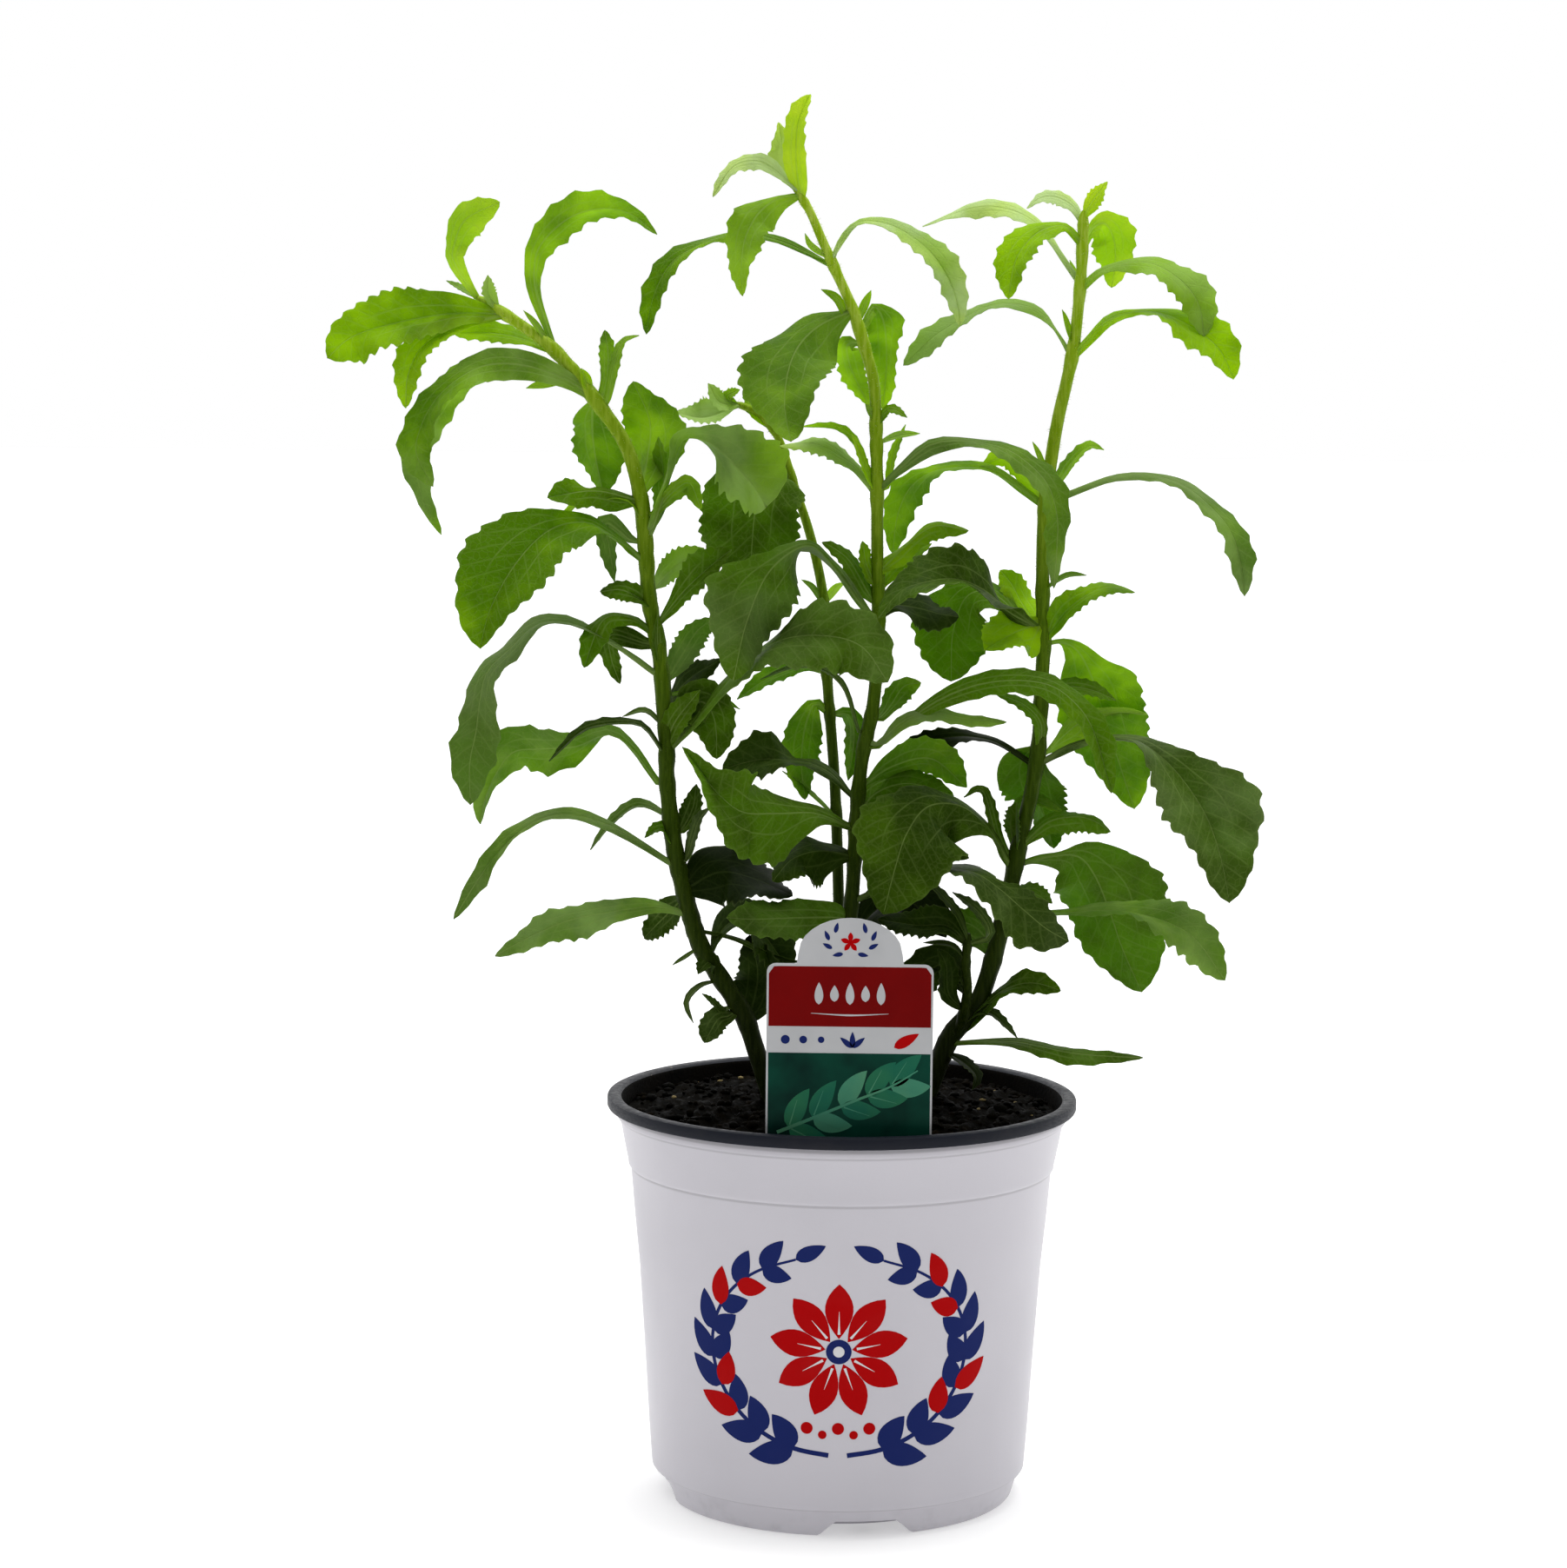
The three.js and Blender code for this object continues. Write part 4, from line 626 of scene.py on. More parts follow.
def makeLeafFinish():
    finish, tree = startFinish("leafSkin")
    part, across, face = field(tree, "leafMap")
    run, offset, half = field(tree, "leafRule")
    _, tone, grey = field(tree, "leafTone")
    away = calc(tree, "ABSOLUTE", offset)
    rim = calc(tree, "ABSOLUTE", across)
    mottle = grain(tree, leafLook["mottle"], 4)
    blotch = grain(tree, leafLook["blotch"], 2)
    veins = leafVeins(tree, part, rim, away, run, half, blotch)

    tone = calc(tree, "ADD", tone, fade(tree, blotch, 0.3, 0.7, -0.08, 0.08))
    tone = calc(tree, "ADD", tone, fade(tree, mottle, 0.3, 0.7, -0.05, 0.05))
    grey = greySheenPatches(tree, grey)
    # grey share: the paler underside, and painted sheen on the leaves set grey
    under = calc(tree, "MULTIPLY", calc(tree, "SUBTRACT", 1.0, face), 0.12)
    undersideAndSheen = calc(tree, "MAXIMUM", grey, under)
    undersideAndSheenColour = byTone(tree, tone, leafLook["grey"])
    base = tint(tree, undersideAndSheen, byTone(tree, tone, leafLook["vivid"]), undersideAndSheenColour)
    soft = calc(tree, "MULTIPLY", fade(tree, mottle, 0.35, 0.7), 0.3)
    base = tint(tree, soft, base, (0.5, 0.5, 0.5), "SOFT_LIGHT")
    veins = calc(tree, "MULTIPLY", veins, fade(tree, tone, 0.0, 0.7, 0.05, 0.55))
    base = tint(tree, calc(tree, "MULTIPLY", fade(tree, rim, 0.9, 1.0), 0.1), base, leafLook["vein"])
    base = tint(tree, calc(tree, "MULTIPLY", veins, 0.85), base, leafLook["vein"])

    quilt = calc(tree, "MULTIPLY_ADD", mottle, 0.6, calc(tree, "SUBTRACT", 1.0, veins))
    bump = relief(tree, quilt, leafLook["bump"], 0.7)
    wires = {"Base Color": base, "Normal": bump, "Specular IOR Level": leafLook["shine"]}
    wires["Roughness"] = fade(tree, mottle, 0.3, 0.7, *leafLook["rough"])
    surface = put(tree, "ShaderNodeBsdfPrincipled", wires)
    deep = tint(tree, calc(tree, "MULTIPLY", grey, 0.7), byTone(tree, tone, leafLook["through"]), undersideAndSheenColour)
    deep = tint(tree, calc(tree, "MULTIPLY", veins, 0.3), deep, leafLook["vein"])
    glow = put(tree, "ShaderNodeBsdfTranslucent", {"Color": deep, "Normal": bump})
    share = fade(tree, tone, 0.0, 1.0, *leafLook["throughShare"])
    endFinish(tree, put(tree, "ShaderNodeMixShader", {0: share, 1: surface, 2: glow}))
    return finish


stemShadedColours = [  # by height: deep and light streaks, and the hairs; all darken towards the soil as painted shade under the foliage
    (150, (0.005, 0.008, 0.0005), (0.014, 0.02, 0.003), (0.03, 0.04, 0.012)),
    (200, (0.013, 0.026, 0.0005), (0.028, 0.046, 0.003), (0.055, 0.075, 0.02)),
    (260, (0.025, 0.05, 0.0005), (0.048, 0.085, 0.004), (0.11, 0.15, 0.04)),
    (310, (0.055, 0.11, 0.001), (0.105, 0.18, 0.006), (0.22, 0.3, 0.08)),
    (370, (0.14, 0.24, 0.002), (0.225, 0.33, 0.02), (0.42, 0.5, 0.2)),
    (430, (0.22, 0.36, 0.004), (0.37, 0.49, 0.06), (0.55, 0.62, 0.32)),
]


def shadedByHeight(tree, high, kind):
    colour = stemShadedColours[0][kind]
    for below, stop in zip(stemShadedColours, stemShadedColours[1:]):
        colour = tint(tree, fade(tree, high, below[0], stop[0]), colour, stop[kind])
    return colour


stemGrain = {
    "streak": 900,
    "stretch": (1, 1, 0.12),  # the streaks run along the stem
    "mottle": 160,
    "hair": 300,
    "rough": (0.45, 0.62),
    "shine": 0.04,
    "bump": 0.0002,
}


def makeStemFinish():
    finish, tree = startFinish("stemSkin")
    close = field(tree, "leafRule")[1]
    high = field(tree, "leafMap")[2]
    streak = grain(tree, stemGrain["streak"], 3, spot=place(tree, stemGrain["stretch"]))
    mottle = grain(tree, stemGrain["mottle"], 3)
    # stem colours by height, with painted shade lower down
    base = tint(tree, fade(tree, streak, 0.35, 0.7), shadedByHeight(tree, high, 1), shadedByHeight(tree, high, 2))
    base = tint(tree, calc(tree, "MULTIPLY", close, 0.3), base, shadedByHeight(tree, high, 1))
    bump = relief(tree, calc(tree, "ADD", streak, mottle), stemGrain["bump"], 0.8)
    wires = {"Base Color": base, "Normal": bump, "Specular IOR Level": stemGrain["shine"]}
    wires["Roughness"] = fade(tree, mottle, 0.3, 0.7, *stemGrain["rough"])
    endFinish(tree, put(tree, "ShaderNodeBsdfPrincipled", wires))
    return finish


def makeHairFinish():
    finish, tree = startFinish("stemHair")
    high = field(tree, "leafMap")[2]
    # hair colours by height, with painted shade lower down
    base = tint(tree, grain(tree, stemGrain["hair"], 2), shadedByHeight(tree, high, 3), shadedByHeight(tree, high, 2))
    wires = {"Base Color": base, "Roughness": 0.5, "Specular IOR Level": stemGrain["shine"]}
    endFinish(tree, put(tree, "ShaderNodeBsdfPrincipled", wires))
    return finish


random.seed(41)
leafFinish = makeLeafFinish()
stemFinish = makeStemFinish()
hairFinish = makeHairFinish()

# The stems and their leaves: full width, turn of the upper face from the eye, depth beyond the root, midrib

# Left stem

leftStem = stalk([3.3, 3.1, 2.8, 2.6, 2.5, 2.4, 2.2, 1.6], [-4, -6, -8, -10, -12], [
  [-19, 122], [-24, 138], [-30, 156], [-35, 170], [-44, 184], [-50.4, 194.4], [-55.7, 212], [-59.7, 229.4],
  [-62.3, 252], [-62.5, 265], [-63.8, 283], [-65.6, 299], [-69, 315.5], [-70, 329.5], [-71.8, 348.7],
  [-77, 368], [-87, 383], [-100.8, 400], [-113.8, 410], [-129.5, 419.5],
])

leftLeaves = [
    leaf(26, [60, 20, 10], [-12, -24], [[-120.4, 413], [-140, 413.3], [-160, 409.5], [-173, 405],
    [-181, 398]], [3.5, 7, 9.4, 11.6, 10.2, 7.6], [3, 4, 6.3, 6.5, 7.5, 9.4]),
    leaf(10, [40, 60], [-6, -10], [[-129, 419.5], [-136.8, 431], [-137, 437], [-133, 446],
    [-121.3, 452]], [1.3, 2, 2.4, 4, 5, 4.5], [1.5, 2.5, 4, 5.7, 7.3, 4.8]),
    leaf(5, [60], [5], [[-127, 417], [-139.7, 425]]),
    leaf(6, [30], [-5], [[-121.4, 415], [-125.3, 421], [-125.4, 427]]),
    leaf(13, [150, 145, 120], [9, 6], [[-101.5, 401.5], [-108.5, 420], [-109.5, 430], [-107, 438],
    [-98, 446.5], [-88, 450], [-77, 449], [-67, 441.5]], [1.2, 2.7, 3.6, 6.5, 7, 3],
    [1.2, 1.6, 4, 6, 4.4, 2]),
    leaf(11, [60, 30], [-14, -30], [[-120, 412], [-137, 409], [-148, 402], [-153, 392], [-153.8, 381]],
    [1, 2, 4, 6, 6.5, 3.9], [1, 1.5, 2.5, 3.2, 3.8, 3.6]),
    leaf(10, [60], [9, 14], [[-101.5, 400], [-113, 405], [-124, 407], [-137, 407]],
    [1, 1.5, 2.5, 3.5, 4.5, 4], [1, 1.5, 2.5, 3, 2.8, 2.5]),
    leaf(3, [40], [-4], [[-103, 403], [-108, 409], [-113, 415]]),
    leaf(15, [70, 45, 25], [-12, -24], [[-87.1, 384.5], [-95, 389.6], [-105.4, 394.2], [-116.9, 396.7],
    [-127.4, 395.6], [-136.8, 390.3], [-144.1, 382.9], [-148.8, 373.5], [-150, 365.2], [-144.3, 354]],
    [2.5, 4.8, 5.3, 4.5, 5.5, 6.5], [2.5, 4.3, 6, 4, 3.5, 5.5]),
    leaf(14, [150, 145], [18, 30], [[-90, 386], [-97.1, 391.5], [-115.9, 393.6], [-130.5, 391.4],
    [-139.9, 385.1], [-147.2, 373.5], [-150.4, 362], [-147.7, 348.5], [-141.4, 337.3]],
    [2, 6, 7, 5.6, 6.5, 2.1], [2, 2.5, 2.5, 5.9, 5.2, 4.2]),
    leaf(4.5, [40], [-4], [[-100, 391], [-112, 388.3]]),
    leaf(4.5, [30], [-4], [[-89.5, 386], [-93, 395.3]]),
    leaf(8, [130], [7], [[-85, 384], [-84.3, 392], [-83.8, 400], [-84.8, 408.5]],
    [1.2, 1.6, 2.2, 2.8, 3, 2.4], [1.2, 1.6, 2.2, 2.8, 3, 2.4]),
    leaf(6, [60], [-6], [[-84, 384], [-82, 394], [-80, 402], [-77.5, 405.5], [-73, 406.8]],
    [1, 1.3, 1.6, 1.8, 1.6, 0.8], [1, 1.3, 1.6, 1.8, 1.6, 0.8]),
    leaf(20, [170], [14, 18], [[-88, 385], [-89, 376], [-88, 366], [-85, 352]],
    [3.5, 7, 9.5, 11, 10.5, 7], [2.8, 6.2, 6.6, 7.3, 5.9, 3.4]),
    leaf(21, [165], [16, 22], [[-72.5, 351], [-70, 363], [-69, 377], [-75, 391]],
    [3, 7, 11, 13, 10, 4.5], [1.5, 3, 5.4, 9.2, 9.6, 7.9]),
    leaf(32, [115, 140, 160, 165], [-8, -22, -40], [[-69.5, 334], [-66.5, 346], [-63, 356], [-60, 366],
    [-57, 371.5], [-50, 371], [-44, 367], [-38, 361], [-32, 354], [-28.5, 348]],
    [1.3, 1.3, 1.5, 3, 12, 17], [1.3, 1.3, 1.5, 5, 10.5, 7.5]),
    leaf(6, [120], [-6, -10], [[-68, 345], [-61, 353], [-55, 356], [-51, 347]],
    [0.8, 1.5, 2, 2.5, 2.5, 2], [1, 2, 3, 4, 4, 3]),
    leaf(9.5, [60, 40], [-10, -18], [[-74, 349], [-88, 353], [-104.5, 350.5]],
    [1, 1.4, 1.2, 1.3, 4.8, 5.3], [3, 6, 6.2, 5.5, 5.7, 3.5]),
    leaf(8, [80, 60], [-4, -8], [[-69.5, 341], [-76, 349.5], [-86, 350.5], [-94, 348.5], [-101, 342]]),
    leaf(8, [150], [10], [[-75, 336], [-84, 342], [-83, 333], [-81, 321.5]]),
    leaf(31, [55, 25, 10, 8], [-14, -30, -38], [[-72, 328], [-83, 338], [-92, 342], [-104, 339],
    [-115, 328], [-124, 312], [-127.8, 297.7]], [1.2, 2.6, 5.6, 14, 18.2, 12.6],
    [1.2, 1, 8.7, 10.3, 12.3, 6.2]),
    leaf(8, [60], [-9], [[-70, 313], [-78, 318.5], [-86, 318]], [3, 4, 4.3, 3.5, 2.8, 1.6],
    [0.7, 1.2, 2.3, 3.6, 3.5, 2.8]),
    leaf(11, [150], [14, 20], [[-67, 318], [-60, 327], [-50, 333.5]]),
    leaf(13, [60, 40], [-10, -14], [[-68, 305], [-58, 317], [-49, 326], [-40.5, 333]],
    [1, 2, 4, 6, 8, 6], [1, 2, 3, 3.5, 3.5, 3]),
    leaf(8, [70, 50], [-8, -12], [[-68, 302], [-75, 309], [-85, 308], [-91.5, 291.5]],
    [1, 1, 0.8, 1.5, 4.6, 4], [1, 2, 4, 4.5, 5, 3.2]),
    leaf(8.5, [60], [7], [[-70, 300], [-82, 303], [-82, 295], [-79, 286]], [2, 3.5, 4, 4, 3.5, 2.5],
    [2, 3, 3.5, 3.5, 3, 2.5]),
    leaf(20, [95, 80, 45, 10], [-10, -20, -26], [[-65, 288], [-80, 299], [-95, 306.5], [-107.7, 306.3],
    [-117, 298], [-125.2, 289.6], [-127.8, 279.3], [-129.1, 268.9], [-131.4, 257.4], [-131.2, 242.9]],
    [2, 2.4, 2.3, 3.2, 5.4, 8], [0.7, 0.8, 0.7, 4, 5.6, 9.5]),
    leaf(5, [30], [-6], [[-64, 290], [-66, 300], [-66, 310]]),
    leaf(12, [150], [8, 5], [[-62, 285], [-57, 297], [-52, 305], [-46, 309]], [1, 3, 4.5, 5, 4.5, 3],
    [1, 3, 4.5, 5, 5, 4]),
    leaf(13, [120], [18, 24], [[-62, 278], [-55, 288], [-44, 295]], [1, 2, 3.5, 4.8, 4, 2],
    [1, 3, 5.5, 5.5, 5, 3.5]),
    leaf(32, [70, 40, 20, 15], [-12, -28, -36], [[-61, 262], [-50, 276], [-37.5, 291], [-24.5, 301],
    [-9.2, 303.5], [5, 300], [14.5, 287.5]], [1.2, 1.2, 1.5, 2, 12, 11], [1.2, 1.5, 3, 6.4, 10.2, 13]),
    leaf(17, [60], [-4, -8], [[-58, 272], [-51, 280], [-46, 274], [-45, 260]], [2, 5, 8, 8, 7, 5],
    [2, 5, 8, 9, 8, 5]),
    leaf(4, [40], [5], [[-52, 283], [-44, 281], [-37, 277.5]]),
    leaf(10, [20], [-8], [[-60, 262], [-60, 272], [-51, 284]]),
    leaf(8, [80, 60], [-12, -16], [[-61, 260.5], [-70.4, 270.5], [-77, 272], [-87, 271], [-93.6, 268],
    [-103.6, 258.5]]),
    leaf(4, [60], [6], [[-63, 270], [-70, 276.5], [-78, 274.5]]),
    leaf(19, [130, 150], [16, 26, 28], [[-65, 251], [-74, 263], [-83, 268.4], [-94.2, 264.1],
    [-105.5, 262.9], [-115.9, 261.8], [-122.1, 254.4], [-126.2, 245], [-127.7, 236.1]],
    [1.2, 2.5, 4.5, 6.9, 9, 6], [1.2, 1, 1, 9.2, 7.1, 2.4]),
    leaf(10, [70], [10, 14], [[-63, 239], [-72, 243], [-81, 237], [-89, 227.5]]),
    leaf(10, [70, 60, 45], [-12, -22, -28], [[-59, 221], [-80, 235], [-96, 239.6], [-106.5, 237.9],
    [-114.8, 232.6], [-122, 225.2], [-128.2, 216.8], [-137, 202.4]], [0.8, 1.3, 2.5, 2.7, 4, 3.2],
    [1.3, 1.8, 1.6, 1, 0.9, 3.5]),
    leaf(9, [30], [8], [[-57, 235], [-53, 243], [-52, 251]]),
    leaf(8, [60], [-5], [[-55, 225], [-51, 238], [-47, 243]]),
    leaf(8, [60], [-4], [[-61, 228], [-64, 235], [-70, 232]]),
    leaf(15, [70, 45, 30], [-12, -24], [[-53, 205], [-66, 207.5], [-82.7, 205.3], [-96, 202.5],
    [-106.4, 198.2], [-115.7, 193.4], [-122.4, 189.4]], [1, 3.7, 4.6, 4.4, 6.1, 3],
    [1.5, 2.7, 4, 7.5, 5.8, 4]),
    leaf(11, [60], [12, 16], [[-54, 212], [-60, 207], [-70, 196.5]], [2, 4, 5.5, 5.5, 5, 4],
    [2, 3.5, 5, 5, 4.5, 3]),
    leaf(9, [100], [12, 16], [[-51, 200], [-38, 196], [-25, 190], [-12, 188]]),
    leaf(8, [40], [-6], [[-44, 183], [-47, 188], [-51, 184]]),
    leaf(4.5, [60], [-5], [[-44, 181], [-50, 179.5], [-54.5, 174], [-52.5, 166.5]]),
    leaf(30, [50], [-8], [[-54, 214], [-44, 220], [-32, 218], [-18, 212]], [6, 10, 9, 7, 5, 3],
    [6, 12, 12, 10, 8, 4]),
    leaf(18, [50, 30], [10, 14], [[-36, 166], [-31, 176], [-30, 186], [-33, 198]], [4, 7, 8, 8, 7, 5],
    [4, 7, 8, 8, 7, 5]),
    leaf(9, [50], [-8], [[-40, 169], [-44, 167.5], [-48.5, 159.5]], [1, 3, 4.5, 5, 5, 4],
    [1, 2, 3, 4, 4, 3]),
    leaf(22, [60, 30], [12, 20], [[-47, 190], [-40, 202], [-30, 200], [-18, 184]]),
    leaf(13, [60], [6, 8], [[-70, 336], [-65, 346], [-64, 358], [-66, 372]]),
    leaf(3, [60], [-4], [[-50, 194], [-55, 190], [-60, 187]]),
    leaf(5, [60], [-4], [[-42, 171], [-46, 174], [-49.5, 177]]),
]

# Centre stem

centreStem = stalk([2.6, 2.5, 2.4, 2.2, 2.1, 2, 1.8, 1.3], [0, -2, -5, -8, -12, -16], [
  [-5, 122], [-3, 140], [0, 180], [3, 215], [4, 240], [6, 262], [9.5, 280], [11, 305], [10.3, 330],
  [10, 350], [9.5, 370], [8.5, 390], [5.5, 402], [0.5, 417], [-5, 429], [-10, 440], [-14.5, 450],
  [-19, 457],
])

centreLeaves = [
    leaf(9, [30], [-4, 2], [[-17.3, 454], [-18.9, 464.3], [-19.2, 472.5], [-18.3, 480.7],
    [-14.6, 489.6]], [2.5, 4, 4.7, 4.5, 4.6, 4.4], [2.5, 3.1, 3.2, 2.9, 1.9, 1.4]),
    leaf(9, [30], [6], [[-19, 456], [-23, 466], [-25.5, 480]], [1, 1.5, 2, 2, 2.1, 2.5],
    [1.5, 3.5, 5, 5.5, 3.3, 1.3]),
    leaf(6.5, [90, 60], [-6, -10], [[-20.8, 457], [-30, 466], [-40.3, 465], [-47.8, 454.5]],
    [1.5, 2.5, 3, 2.2, 2, 2.3], [1.2, 2, 2.6, 3.1, 2, 1.2]),
    leaf(17, [65, 30], [-12, -22], [[-18.4, 455], [-25.6, 453.9], [-32.3, 448.7], [-36.4, 440.5],
    [-37.7, 431.2], [-37.3, 420.7]], [0.5, 2.6, 7.4, 6.9, 4.4, 2.9], [3.5, 5.9, 7.7, 6.5, 5.6, 2.7]),
    leaf(14, [90, 65, 45], [12, 20], [[-7.5, 430.5], [-25, 439.5], [-40, 441.8], [-52, 438],
    [-62, 431.5], [-68, 420], [-70.5, 407.3]], [1.5, 1.7, 1, 0.8, 4.4, 4.9],
    [0.8, 0.8, 2.5, 0.8, 2.6, 3.4]),
    leaf(13, [90, 60, 35], [-10, -18], [[-5.7, 433.5], [-3.2, 440.8], [2.5, 446.2], [10.8, 446],
    [19.1, 442.5], [27.5, 435.9], [33.9, 426.7], [37.1, 417.4], [37.7, 411.2]],
    [1, 1, 2.6, 4, 6.4, 4.7], [1.5, 0.8, 1.4, 3.6, 3, 4]),
    leaf(3, [40], [-4], [[-9, 432.5], [-14, 438], [-16, 442.3]]),
    leaf(4, [40], [-5], [[-2, 415], [-5, 420], [-10.2, 423.2]]),
    leaf(4, [40], [5], [[2.5, 411], [5, 418], [7, 423]]),
    leaf(33, [70, 25, 10], [-10, -28, -42], [[1, 416], [-10.6, 410.8], [-17.9, 403.5], [-21.4, 394.1],
    [-22.3, 382.7], [-20.1, 370.7]], [2.3, 6.5, 10.1, 16.1, 15, 7.1],
    [5.5, 13.2, 13.8, 13.5, 13.5, 9.3]),
    leaf(14, [160, 165], [18, 26], [[3, 408], [7.7, 417.5], [11.3, 413], [12.6, 404], [12.6, 394],
    [11.5, 382]], [1, 1.3, 6.9, 4.3, 3.3, 3.5], [2, 3, 5.8, 6.8, 6, 3.3]),
    leaf(14, [160, 165], [16, 22], [[3, 404], [-1, 404], [1, 395], [7, 383.5]], [1, 4, 5, 5, 4, 3],
    [1, 3.5, 4.3, 4.5, 4.5, 3]),
    leaf(3, [40], [-4], [[9, 378], [5.5, 384]]),
    leaf(5, [50], [-5], [[10, 376], [14, 382], [20, 379.5]]),
    leaf(4, [50], [6], [[11, 370], [17, 373], [24.5, 374]]),
    leaf(8, [110], [6, 10], [[7, 357], [3, 368], [-4, 375], [-16.5, 376]]),
    leaf(6, [60], [-5], [[7.5, 352], [5.5, 362], [1, 373.5]]),
    leaf(6, [60], [6], [[13.5, 355], [15.5, 366], [19.5, 377]]),
    leaf(12, [70, 50], [8, 10], [[7.7, 352], [3.4, 361.1], [-2.9, 365.7], [-11.3, 369.8],
    [-19.6, 369.7], [-24, 369.2]], [0.8, 1.3, 1.6, 3, 3, 0.4], [1.2, 1.8, 2.3, 3, 3.5, 2]),
    leaf(13, [85, 70, 40], [-14, -26, -30], [[12, 353.9], [20, 363.7], [28.6, 370.3], [39.4, 371.5],
    [52.5, 369.5], [61.2, 364.7], [68.9, 356.7], [72.3, 345.9], [72.5, 335], [71.7, 320.9]],
    [1.3, 1.7, 1.2, 3.3, 5.5, 3], [1.7, 3.8, 1.8, 4.3, 3.8, 4.4]),
    leaf(8, [60], [-8], [[11, 325], [20, 335], [30, 342], [41.8, 340.5]],
    [2.5, 1.1, 0.5, 1.3, 1.3, 1.1], [2, 5, 4.3, 4.4, 5, 3.5]),
    leaf(9, [60], [8], [[10, 318], [16, 328], [29, 336]], [1, 3, 4, 3, 2, 1], [1, 3, 4, 3, 2.5, 1.5]),
    leaf(8, [60], [-5], [[9, 320], [6.5, 328], [5, 336.5]], [1, 2, 2.5, 2.5, 2.5, 2],
    [1, 2, 2, 2, 2, 1.5]),
    leaf(30, [115, 150, 165, 170], [-12, -26, -34], [[8, 311], [-4, 327], [-14, 335], [-27, 326],
    [-35, 308], [-39.5, 287.5]], [1.3, 1.6, 1.5, 5.5, 17.3, 10.5], [1.3, 2, 5, 13.3, 12, 7.8]),
    leaf(17, [50], [10, 8], [[9.5, 309.6], [16, 314], [24, 313.5], [32, 311.5], [38.8, 310.5]],
    [1.5, 2.5, 4.5, 5, 3.5, 3], [1.5, 2.5, 4.5, 6.5, 7, 5.5]),
    leaf(6, [70], [-8, -12], [[4.5, 270], [-1, 285], [-9, 291.5], [-19, 292], [-30, 288]]),
    leaf(12, [90, 75, 55], [-14, -30, -34], [[10, 264], [17, 270], [30, 280], [43, 286], [56.6, 288.5],
    [70, 287.3], [79, 281.6], [86, 271.8], [93, 249.5]], [1.5, 2.5, 4, 4, 3.5, 6.5],
    [1.5, 3, 4.5, 4.5, 5, 3.3]),
    leaf(10, [60], [7, 9], [[12, 275], [16, 280], [20, 286], [26, 287.5]], [1, 2, 3, 4.5, 4, 2.5],
    [1, 2, 3, 4, 5, 4]),
    leaf(8, [80, 60], [-8, -12, -12], [[12, 266], [20, 274], [30, 277], [42, 275], [56, 274]],
    [1, 2, 2, 2, 1.5, 1.5], [1, 2, 3, 3, 2.5, 2.5]),
    leaf(16, [150], [12, 16], [[6, 250], [16, 258], [30, 261], [42.5, 251]]),
    leaf(33, [60, 30, 12, 8], [-14, -32, -42], [[0.8, 236.8], [-10.7, 241.1], [-23.9, 241],
    [-35.9, 241.4], [-44.7, 247.9], [-51.4, 256.6], [-57, 264]], [2, 3.7, 7.9, 12, 13.8, 4.4],
    [1.5, 4.4, 17.2, 15.4, 8, 2.3]),
    leaf(18, [50, 40], [-18, -30], [[3, 204], [-8, 204.5], [-20, 204], [-32, 203.5], [-41, 204]],
    [5, 6, 6.5, 6.5, 6.5, 6], [4, 6, 7, 7.5, 7, 5]),
    leaf(18, [60, 30], [8, 12], [[2, 248], [-5, 255], [-12, 258.5], [-20, 259.5], [-28, 260],
    [-36, 258.5], [-43, 256]], [1, 1.8, 2, 2.2, 10.5, 7], [1, 1.8, 2, 2, 6.5, 5]),
    leaf(22, [70, 50, 30], [-14, -30, -34], [[3, 210], [22, 219], [33, 222], [45, 221], [54, 215.5],
    [63, 208], [71, 201.5], [79, 197]], [1, 1, 0.8, 2.5, 5, 7], [1.2, 1.2, 1.2, 3, 7, 11.5]),
    leaf(22, [60, 30], [-8, -12], [[2, 226], [-8, 228], [-18, 225], [-25, 217]], [2, 3.5, 4.5, 5, 4, 3],
    [3, 8, 12, 12, 9, 5]),
    leaf(22, [150], [16, 24], [[2, 196], [12, 208], [24, 210], [36, 198]]),
    leaf(18, [60, 40], [6, 10], [[4, 238], [10, 248], [22, 252], [38, 248]], [3, 5, 6, 6, 5, 4],
    [4, 8, 9, 8, 6, 4]),
    leaf(10, [60], [-6], [[8, 317], [1, 329], [-5, 334], [-9, 336]], [1.5, 2.5, 3, 2.5, 2.5, 2],
    [1.5, 3, 3.5, 3.5, 3, 2]),
]

# Right stem and its side shoot

rightStem = stalk([3.4, 3.2, 2.8, 2.5, 2.3, 2.2, 2, 1.6], [6, 5, 3, 0, -4, -8], [
  [24, 122], [28, 136], [33.7, 152], [38.3, 163.4], [47, 174], [53, 192], [57.5, 212], [62, 235.5],
  [65, 249], [67.3, 265.5], [68, 288], [68.5, 302], [67.8, 322], [68, 346.5], [70.2, 366.4], [72.4, 380.4],
  [74.9, 392], [77.3, 405.2], [79.2, 426.7], [79.6, 440], [79.8, 451],
])

